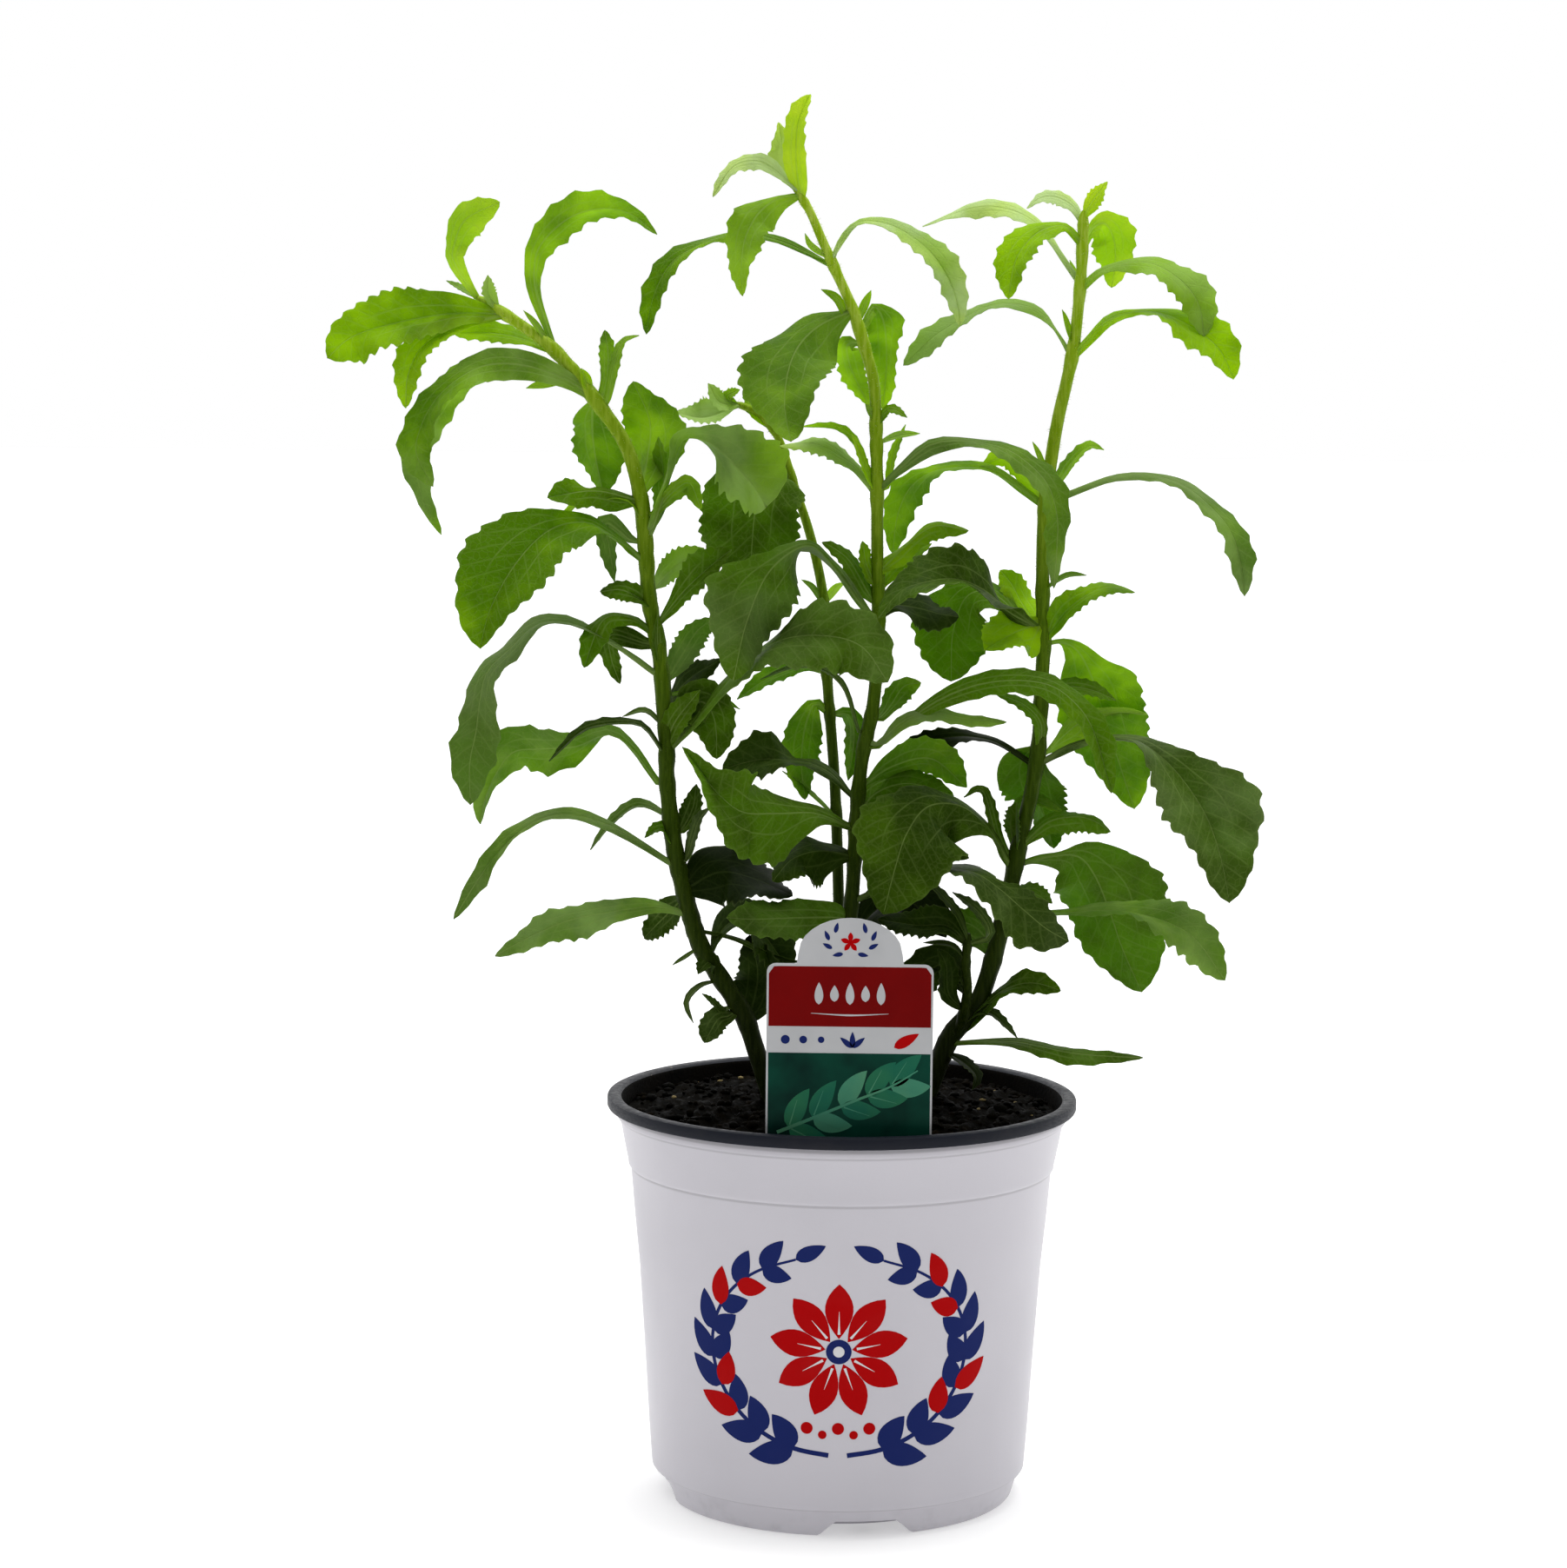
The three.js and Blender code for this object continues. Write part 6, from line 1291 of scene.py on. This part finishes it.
def addPatch(heap, grid, toPlace, slot, lift=0.06, sink=0.08):  # lift and sink: its two faces off the wall
    grid = np.asarray(grid, float)
    rows, size = grid.shape[:2]
    flat = grid.reshape(-1, 2)
    top = [toPlace(x, z, lift) for x, z in flat]
    under = [toPlace(x, z, -sink) for x, z in flat]
    faces = skin(rows, size, closed=False)
    count = len(flat)
    faces += [tuple(count + k for k in face[::-1]) for face in faces]
    edge = list(range(size)) + [row * size + size - 1 for row in range(1, rows)]
    edge += list(range(rows * size - 2, (rows - 1) * size - 1, -1))
    edge += [row * size for row in range(rows - 2, 0, -1)]
    for a, b in zip(edge, edge[1:] + edge[:1]):
        faces.append((b, a, count + a, count + b))
    addTo(heap, top + under, faces, slot)


def strip(line, widths, size=3):  # rows of points across a line of that width
    line = np.asarray(line, float)
    ahead = np.gradient(line, axis=0)
    ahead /= np.linalg.norm(ahead, axis=1, keepdims=True)
    aside = np.stack([ahead[:, 1], -ahead[:, 0]], axis=1)
    across = np.linspace(-0.5, 0.5, size)
    return line[:, None] + aside[:, None] * (across[None, :] * np.asarray(widths)[:, None])[..., None]


def printLeaf(x, z, angle, length, width, bend=0.0, blunt=0.75, rows=11, size=5):
    t = np.linspace(0, 1, rows)
    heading = math.radians(angle) + bend * t
    step = length / (rows - 1)
    line = np.stack([x + np.cumsum(np.cos(heading)) * step, z + np.cumsum(np.sin(heading)) * step], axis=1)
    line -= line[0] - (x, z)
    widths = width * np.maximum(np.sin(math.pi * t**blunt) ** 0.8, 0.02)
    return strip(line, widths, size)


def printDisc(x, z, radius, rows=13, size=5, squash=1.0):
    t = np.linspace(0.02, math.pi - 0.02, rows)
    line = np.stack([x - np.cos(t) * radius, np.full(rows, z)], axis=1)
    return strip(line, 2 * radius * squash * np.sin(t), size)


def printLine(points, widths, fine=5, size=3):
    line = smoothLine([[x, z, 0] for x, z in points], fine)["line"][:, :2]
    return strip(line, along(widths, np.linspace(0, 1, len(line))), size)


def onWall(x, z, lift):
    radii = [(r, h) for r, h in potOutside if 10 <= h <= 130]
    radius = np.interp(z, [h for _, h in radii], [r for r, _ in radii]) + lift
    turn = x / wreath["wallRadius"]
    return radius * math.sin(turn), -radius * math.cos(turn), z


wreath = {
    "centre": (0.0, 65.0),
    "reach": (46.0, 35.0),
    "wallRadius": 69.0,
    "arc": (-86, 158),  # where each branch starts, and how far round it goes, in degrees
    "branch": [1.7, 1.4, 0.8],
    "leaves": 8,
    "leaf": (17.5, 8.6),
    "spread": 44,  # degrees between a leaf and its branch
    "shrink": 0.03,  # from each pair of leaves to the next
    "petals": 9,
    "petal": (19.0, 9.4),
    "ring": 4.6,  # how far out the petals start
    "heartUp": 1.5,
    "dots": 5,
    "dotSpace": 5.4,
    "lift": {"leaf": 0.075, "redLeaf": 0.095, "heart": 0.09, "petalLine": 0.11, "eye": 0.12},
}


def addBranch(heap, hand):  # one half of the wreath
    cx, cz = wreath["centre"]
    rx, rz = wreath["reach"]
    start, sweep = wreath["arc"]
    path = []
    for k in range(wreath["leaves"] + 3):
        turn = math.radians(start + sweep * k / (wreath["leaves"] + 2))
        path.append((cx + hand * rx * math.cos(turn), cz + rz * math.sin(turn)))
    addPatch(heap, printLine(path, wreath["branch"]), onWall, 1)
    for k in range(1, wreath["leaves"] + 2):
        (x0, z0), (x1, z1) = path[k], path[k + 1]
        heading = math.degrees(math.atan2(z1 - z0, x1 - x0))
        shrink = 1 - wreath["shrink"] * k
        for way in (-1, 1):
            length, width = wreath["leaf"]
            length *= shrink * (1.0 if way * hand < 0 else 0.8)  # the outer leaves are longer
            angle = heading + way * wreath["spread"]
            red = (k + (way > 0)) % 4 == 0
            shape = printLeaf(x0, z0, angle, length, width * shrink, way * -0.3)
            addPatch(heap, shape, onWall, 0 if red else 1, lift=wreath["lift"]["redLeaf" if red else "leaf"])
    addPatch(heap, printLeaf(*path[-1], 90 + hand * 62, 11, 5.2), onWall, 1, lift=wreath["lift"]["leaf"])


def addFlower(heap):
    cx, cz = wreath["centre"]
    cz += wreath["heartUp"]
    length, width = wreath["petal"]
    for k in range(wreath["petals"]):
        angle = 90 + k * 360 / wreath["petals"]
        ahead, aside = math.cos(math.radians(angle)), math.sin(math.radians(angle))
        x, z = cx + wreath["ring"] * ahead, cz + wreath["ring"] * aside
        addPatch(heap, printLeaf(x, z, angle, length, width, 0.0, 1.1), onWall, 0)
        middle = [(x + reach * ahead, z + reach * aside) for reach in (1.5, 5, 9.5)]
        addPatch(heap, printLine(middle, [0.9, 0.5, 0.1]), onWall, 2, lift=wreath["lift"]["petalLine"])
    addPatch(heap, printDisc(cx, cz, 4.3), onWall, 1, lift=wreath["lift"]["heart"])
    addPatch(heap, printDisc(cx, cz, 1.9), onWall, 2, lift=wreath["lift"]["eye"])


def makeWreath():
    heap = newHeap()
    for hand in (-1, 1):
        addBranch(heap, hand)
    addFlower(heap)
    cx, cz = wreath["centre"]
    for k in range(wreath["dots"]):
        x = cx + wreath["dotSpace"] * (k - (wreath["dots"] - 1) / 2)
        addPatch(heap, printDisc(x, cz - 25.5 - (k % 2) * 2.2, 1.5 if k % 2 else 2.1), onWall, 0)
    piece = makePiece("potPrint", heap, [inkRed, inkNavy, inkPaper], crease=50)
    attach(piece, "root")
    print("pot print", len(heap["faces"]), "faces")


makeWreath()

# Label

label = {
    "x": 2.4,
    "y": -67.4,
    "thick": 0.8,
    "half": 27.9,
    "foot": [(-9, 118), (-7, 96), (0, 84), (7, 96), (9, 118)],  # the point below the label's body
    "shoulder": 134,
    "corner": 3.0,
    "top": 198.3,
    "neck": [(17.9, 198.3), (17.5, 201.5), (16.6, 205.4)],
    "dome": (16.2, 13.2),  # half width at its foot, and its radius
    "domeFrom": 33,  # degrees above level
    "domeUp": 200.6,
    "red": (177.1, 197.4),
    "picture": (134.0, 168.1),
    "printHalf": 27.2,
    "redCorner": 2.5,
}


def onLabel(x, z, lift):
    return label["x"] + x, label["y"] - lift, z


def labelCorner(hand):  # the rounded shoulder on one side, from right to left
    corner = label["corner"]
    centre, height = hand * (label["half"] - corner), label["top"] - corner
    steps = range(1, 7) if hand > 0 else range(6, 12)
    turns = [math.radians(15 * k) for k in steps]
    return [(centre + corner * math.cos(turn), height + corner * math.sin(turn)) for turn in turns]


def labelOutline():
    half, low, high = label["half"], label["shoulder"], label["top"] - label["corner"]
    outline = [(-half, low)] + label["foot"] + [(half, low), (half, high)] + labelCorner(1) + label["neck"]
    start, (wide, radius) = label["domeFrom"], label["dome"]
    for k in range(11):
        turn = math.radians(start + (180 - 2 * start) / 10 * k)
        across = wide * math.cos(turn) / math.cos(math.radians(start)) * 0.93
        outline.append((across, label["domeUp"] + radius * math.sin(turn)))
    outline += [(-x, z) for x, z in label["neck"][::-1]] + labelCorner(-1)
    return outline + [(-half, high)]


def addLabelFields(heap):  # the red band with rounded corners, and the green picture
    edge, corner = label["printHalf"], label["redCorner"]
    low, high = label["red"]
    red = []
    for x in np.linspace(-edge, edge, 33):
        past = max(abs(x) - (edge - corner), 0)
        top = high - corner + math.sqrt(max(corner**2 - past**2, 0.0))
        red.append([(x, low), (x, (low + top) / 2), (x, top)])
    addPatch(heap, red, onLabel, 1, lift=0.05, sink=0.3)
    low, high = label["picture"]
    picture = [[(x, z) for z in (low, 150, high)] for x in np.linspace(-edge, edge, 9)]
    addPatch(heap, picture, onLabel, 2, lift=0.05, sink=0.3)


def makeLabel():
    heap = newHeap()
    outline = labelOutline()
    front = [(label["x"] + x, label["y"], z) for x, z in outline]
    back = [(label["x"] + x, label["y"] + label["thick"], z) for x, z in outline]
    count = len(outline)
    faces = [tuple(range(count)), tuple(range(count, 2 * count))[::-1]]
    faces += [(k, k + count, (k + 1) % count + count, (k + 1) % count) for k in range(count)]
    addTo(heap, front + back, faces, 0)
    addLabelFields(heap)
    addLabelPicture(heap)
    addLabelSigns(heap)
    finishes = [labelWhite, labelRed, labelGreen, leafInk, paleLeafInk, inkNavy, inkRed]
    piece = makePiece("plantLabel", heap, finishes, 50)
    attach(piece, "root")
    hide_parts("tag")
    print("label", len(heap["faces"]), "faces")


sprig = {
    "branch": [(-24, 141), (-12, 146), (2, 152), (14, 157), (23, 162.5)],
    "branchWidths": [1.2, 0.9, 0.4],
    "lengths": {1: 15.0, -1: 13.5},  # leaves above and below the branch
    "width": 6.6,
    "inside": (134.2, 167.9),  # leaves are cut off at the edge of the picture
}


def addLabelPicture(heap):  # a branch with leaves
    addPatch(heap, printLine(sprig["branch"], sprig["branchWidths"]), onLabel, 4, lift=0.16, sink=0.02)
    spots = smoothLine([[x, z, 0] for x, z in sprig["branch"]], 6)["line"][:, :2]
    for k in range(2, 22, 4):
        x, z = spots[k]
        for way, length in sprig["lengths"].items():
            angle = 24 + way * (52 - k)
            ahead, aside = math.cos(math.radians(angle)), math.sin(math.radians(angle))
            shape = printLeaf(x, z, angle, length, sprig["width"], way * -0.35)
            shape[..., 1] = np.clip(shape[..., 1], *sprig["inside"])
            ink = 3 if (k // 4 + way) % 3 else 4
            addPatch(heap, shape, onLabel, ink, lift=0.085 + 0.01 * (k % 3), sink=0.02)
            vein = [(x + reach * ahead, z + reach * aside) for reach in (1, 5, 10)]
            if vein[-1][1] < 167:
                addPatch(heap, printLine(vein, [0.5, 0.3, 0.1]), onLabel, 4, lift=0.13, sink=0.02)


def addLabelSigns(heap):
    def onRed(shape):
        addPatch(heap, shape, onLabel, 0, lift=0.09, sink=0.02)

    def onWhite(shape, ink):
        addPatch(heap, shape, onLabel, ink, lift=0.05, sink=0.02)

    for k in range(-2, 3):  # a row of pale leaves on the red band, and a fine line below it
        tall = 7.5 if k % 2 == 0 else 5.5
        onRed(printLeaf(k * 5.2, 188.3 - tall / 2, 90, tall, 2.9))
    onRed(printLine([(-13, 181.6), (0, 181.0), (13, 181.6)], [0.15, 0.6, 0.15]))
    for k, x in enumerate((-21.5, -15.5, -9.5)):  # below the band: dots, a small plant and a leaf
        onWhite(printDisc(x, 172.6, 1.5 - 0.2 * k), 5)
    for angle in (40, 90, 140):
        onWhite(printLeaf(1, 170.0, angle, 5.4, 1.9), 5)
    onWhite(printLeaf(15, 170.2, 30, 9.5, 3.6), 6)
    for hand in (-1, 1):  # the small wreath on the dome, round a flower
        for k in range(4):
            turn = math.radians(-70 + 38 * k)
            x, z = hand * 7.2 * math.cos(turn), 205.8 + 4.3 * math.sin(turn)
            angle = 90 - hand * 90 + hand * (math.degrees(turn) + 60)
            onWhite(printLeaf(x, z, angle, 3.6, 1.5), 5)
    for k in range(5):
        onWhite(printLeaf(0, 205.6, 90 + 72 * k, 3.4, 1.7, 0, 1.1), 6)


labelLook = {"rough": 0.32, "shine": 0.04, "speck": (0.05, 0.04, 0.03)}


def makeLabelFinish(name, colour, deep):
    finish, tree = startFinish(name)
    cloud = grain(tree, 45, 3)
    fine = grain(tree, 1100, 2)
    base = tint(tree, fade(tree, cloud, 0.35, 0.7), colour, deep)
    base = tint(tree, calc(tree, "MULTIPLY", flecks(tree, 220, 0.1, 0.05), 0.7), base, labelLook["speck"])
    wires = {"Base Color": base, "Roughness": labelLook["rough"], "Specular IOR Level": labelLook["shine"]}
    wires["Normal"] = relief(tree, fine, 0.00003, 0.4)
    endFinish(tree, put(tree, "ShaderNodeBsdfPrincipled", wires))
    return finish


labelWhite = makeLabelFinish("labelWhite", (0.44, 0.445, 0.455), (0.4, 0.405, 0.415))
labelRed = makeLabelFinish("labelRed", (0.15, 0.0005, 0.0005), (0.13, 0.0004, 0.0005))
labelGreen = makeLabelFinish("labelGreen", (0.002, 0.042, 0.026), (0.001, 0.016, 0.012))
leafInk = makeLabelFinish("leafInk", (0.008, 0.1, 0.062), (0.02, 0.13, 0.06))
paleLeafInk = makeLabelFinish("paleLeafInk", (0.04, 0.19, 0.12), (0.07, 0.22, 0.12))
makeLabel()

# Soil

soil = {
    "rings": 54,
    "sides": 150,
    "edge": 135.5,  # height at the wall and in the middle
    "crown": 139.5,
    "rough": 0.35,
    "clumps": 900,
    "chips": 46,
    "clumpSize": (0.6, 2.2),
    "chipSize": (0.5, 1.3),
    "radius": 77,
    "reach": 75.8,
    "bitReach": 74.5,
    "walls": [(56, 6.8), (61, 12), (63.5, 25), (68.5, 82), (72.2, 117), (74.4, 127.5), (75.6, 133.5)],
}


def soilHeight(x, y):
    edge = math.hypot(x, y) / soil["radius"]
    mound = soil["edge"] + (soil["crown"] - soil["edge"]) * (1 - edge**2)
    lumps = math.sin(x * 0.21 + 1.3) * math.cos(y * 0.17) + math.sin(x * 0.47 - y * 0.39) * 0.8
    small = math.sin(x * 1.1 + 2.1 * math.sin(y * 0.6)) * math.cos(y * 0.9 + 1.4 * math.sin(x * 0.7))
    return mound + 1.1 * lumps * min(1, (1 - edge) * 8) + 0.45 * small


def addMound(heap):  # down along the wall to the floor, and a rough crown
    spots, size = [], soil["sides"]
    for radius, height in soil["walls"]:
        for k in range(size):
            turn = 2 * math.pi * k / size
            spots.append((radius * math.cos(turn), radius * math.sin(turn), height))
    for ring in range(soil["rings"]):
        radius = soil["reach"] * (1 - ring / soil["rings"]) ** 0.8
        for k in range(size):
            turn = 2 * math.pi * (k + 0.5 * (ring % 2)) / size
            x, y = radius * math.cos(turn), radius * math.sin(turn)
            spots.append((x, y, soilHeight(x, y) + random.uniform(-soil["rough"], soil["rough"])))
    rows = len(soil["walls"]) + soil["rings"]
    faces = skin(rows, size)
    faces.append(tuple(range(size))[::-1])
    top, last = len(spots), (rows - 1) * size
    spots.append((0, 0, soilHeight(0, 0)))
    faces += [(last + k, last + (k + 1) % size, top) for k in range(size)]
    addTo(heap, spots, faces, 0, bitTone=(0.3, 0, 0))


def addBit(heap, ball, chip):  # one clump of soil, or one pale chip
    radius, turn = soil["bitReach"] * math.sqrt(random.random()), random.uniform(0, 2 * math.pi)
    x, y = radius * math.cos(turn), radius * math.sin(turn)
    size = random.uniform(*soil["chipSize"]) if chip else random.uniform(*soil["clumpSize"]) ** 1.15
    stretch = (random.uniform(0.7, 1.6), random.uniform(0.6, 1.1), random.uniform(0.35, 0.8))
    spin, tilt = random.uniform(0, 6.28), random.uniform(-0.5, 0.5)
    turned = Matrix.Rotation(spin, 3, "Z") @ Matrix.Rotation(tilt, 3, "X")
    z = soilHeight(x, y) + size * 0.12
    bits = []
    for spot in ball[0]:
        corner = turned @ Vector([a * b for a, b in zip(spot, stretch)]) * size * random.uniform(0.85, 1.15)
        bits.append((x + corner.x, y + corner.y, z + corner.z))
    tone = random.uniform(0.75, 1) if chip else random.uniform(0, 0.5)
    addTo(heap, bits, ball[1], 0, bitTone=(tone, random.random(), 0))


def makeSoil():
    heap = newHeap("bitTone")
    addMound(heap)
    ball = chunk()
    for k in range(soil["clumps"] + soil["chips"]):
        addBit(heap, ball, k >= soil["clumps"])
    piece = makePiece("soilBed", heap, [makeSoilFinish()], crease=70)
    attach(piece, "root")
    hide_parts("soil")
    print("soil", len(heap["faces"]), "faces")


def chunk():  # a lump with twenty faces, about one across from the middle
    g = (1 + math.sqrt(5)) / 2
    across = 1.9  # from the middle to a corner
    spots = [(-1, g, 0), (1, g, 0), (-1, -g, 0), (1, -g, 0), (0, -1, g), (0, 1, g)]
    spots += [(0, -1, -g), (0, 1, -g), (g, 0, -1), (g, 0, 1), (-g, 0, -1), (-g, 0, 1)]
    faces = [(0, 11, 5), (0, 5, 1), (0, 1, 7), (0, 7, 10), (0, 10, 11), (1, 5, 9), (5, 11, 4), (11, 10, 2)]
    faces += [(10, 7, 6), (7, 1, 8), (3, 9, 4), (3, 4, 2), (3, 2, 6), (3, 6, 8), (3, 8, 9), (4, 9, 5)]
    faces += [(2, 4, 11), (6, 2, 10), (8, 6, 7), (9, 8, 1)]
    return [tuple(c / across for c in spot) for spot in spots], faces


soilLook = {
    "damp": [(0.0006, 0.0005, 0.0002), (0.0026, 0.0019, 0.0008)],
    "dry": (0.008, 0.005, 0.002),
    "chips": [(0.16, 0.11, 0.04), (0.3, 0.25, 0.13)],
    "rough": (0.6, 0.95),
    "shine": 0.02,
    "bump": 0.0008,
}


def makeSoilFinish():
    finish, tree = startFinish("pottingMix")
    tone = field(tree, "bitTone")[0]
    crumb = grain(tree, 260, 5)
    fine = grain(tree, 1200, 4)
    base = tint(tree, fade(tree, crumb, 0.35, 0.7), *soilLook["damp"])
    base = tint(tree, fade(tree, tone, 0.3, 0.5, 0.0, 0.5), base, soilLook["dry"])
    base = tint(tree, fade(tree, tone, 0.7, 0.78), base, tint(tree, fine, *soilLook["chips"]))
    bump = relief(tree, calc(tree, "MULTIPLY_ADD", fine, 0.5, crumb), soilLook["bump"], 0.9)
    wires = {"Base Color": base, "Normal": bump, "Specular IOR Level": soilLook["shine"]}
    wires["Roughness"] = fade(tree, crumb, 0.3, 0.7, *soilLook["rough"])
    endFinish(tree, put(tree, "ShaderNodeBsdfPrincipled", wires))
    return finish


random.seed(7)
makeSoil()

# Floor, light and camera

studio = {
    "ahead": 0.3,  # light from the front, from the back and from above
    "behind": 1.35,
    "above": 0.5,
    "shown": 1.0,  # how white the backdrop shows
    "floorGlow": 0.36,
    "key": 16.0,
    "paper": [(0.7, 0.7, 0.7), (0.73, 0.73, 0.73)],
}


def makeFloor():
    mesh = bpy.data.meshes.new("studioFloor")
    mesh.from_pydata([(-9, -3, 0), (9, -3, 0), (9, 15, 0), (-9, 15, 0)], [], [(0, 1, 2, 3)])
    floor = bpy.data.objects.new("studioFloor", mesh)
    bpy.context.scene.collection.objects.link(floor)
    finish, tree = startFinish("studioPaper")
    base = tint(tree, grain(tree, 3, 2), *studio["paper"])
    wires = {"Base Color": base, "Roughness": 0.9}
    wires |= {"Emission Color": (1, 1, 1), "Emission Strength": studio["floorGlow"]}
    endFinish(tree, put(tree, "ShaderNodeBsdfPrincipled", wires))
    mesh.materials.append(finish)


def addLamp(name, spot, aim, size, power):
    lamp = bpy.data.lights.new(name, "AREA")
    lamp.shape, lamp.size, lamp.energy = "DISK", size, power
    holder = bpy.data.objects.new(name, lamp)
    holder.location = spot
    holder.rotation_euler = (Vector(aim) - Vector(spot)).to_track_quat("-Z", "Y").to_euler()
    bpy.context.scene.collection.objects.link(holder)


def makeLight():
    world = bpy.data.worlds.new("studioSky")
    bpy.context.scene.world = world
    world.use_nodes = True
    tree = world.node_tree
    tree.nodes.clear()
    way = tree.nodes.new("ShaderNodeSeparateXYZ")
    tree.links.new(put(tree, "ShaderNodeTexCoord", out=0), way.inputs[0])
    power = fade(tree, way.outputs[1], -0.5, 0.7, studio["ahead"], studio["behind"])
    power = calc(tree, "ADD", power, fade(tree, way.outputs[2], 0.1, 0.9, 0.0, studio["above"]))
    seen = put(tree, "ShaderNodeLightPath", out=0)
    power = put(tree, "ShaderNodeMix", {0: seen, 2: power, 3: studio["shown"]}, data_type="FLOAT")
    sky = put(tree, "ShaderNodeBackground", {"Color": (1, 1, 1), "Strength": power})
    tree.links.new(sky, tree.nodes.new("ShaderNodeOutputWorld").inputs["Surface"])
    addLamp("keyLamp", (0.15, 0.1, 1.7), (0, 0, 0.3), 0.9, studio["key"])


view = {
    "yaw": -0.0154,  # in radians
    "pitch": 0.1057,
    "roll": 0.0096,
    "focal": 4634,  # in pixels of the picture's height
    "height": 1804,
    "sensor": 36,
}


def makeCamera():
    yaw, pitch, roll = view["yaw"], view["pitch"], view["roll"]
    ahead = Vector((math.sin(yaw) * math.cos(pitch), math.cos(yaw) * math.cos(pitch), -math.sin(pitch)))
    level = Vector((math.cos(yaw), -math.sin(yaw), 0))
    raised = level.cross(ahead)
    right = level * math.cos(roll) + raised * math.sin(roll)
    up = raised * math.cos(roll) - level * math.sin(roll)
    camera = bpy.data.objects.new("camera", bpy.data.cameras.new("camera"))
    camera.data.sensor_width = view["sensor"]
    camera.data.lens = view["focal"] * view["sensor"] / view["height"]
    camera.matrix_world = Matrix((right, up, -ahead)).transposed().to_4x4()
    camera.location = eye * mm
    bpy.context.scene.collection.objects.link(camera)
    bpy.context.scene.camera = camera


makeFloor()
makeLight()
makeCamera()
bpy.context.scene.view_settings.view_transform = "Standard"
print("floor, light and camera")
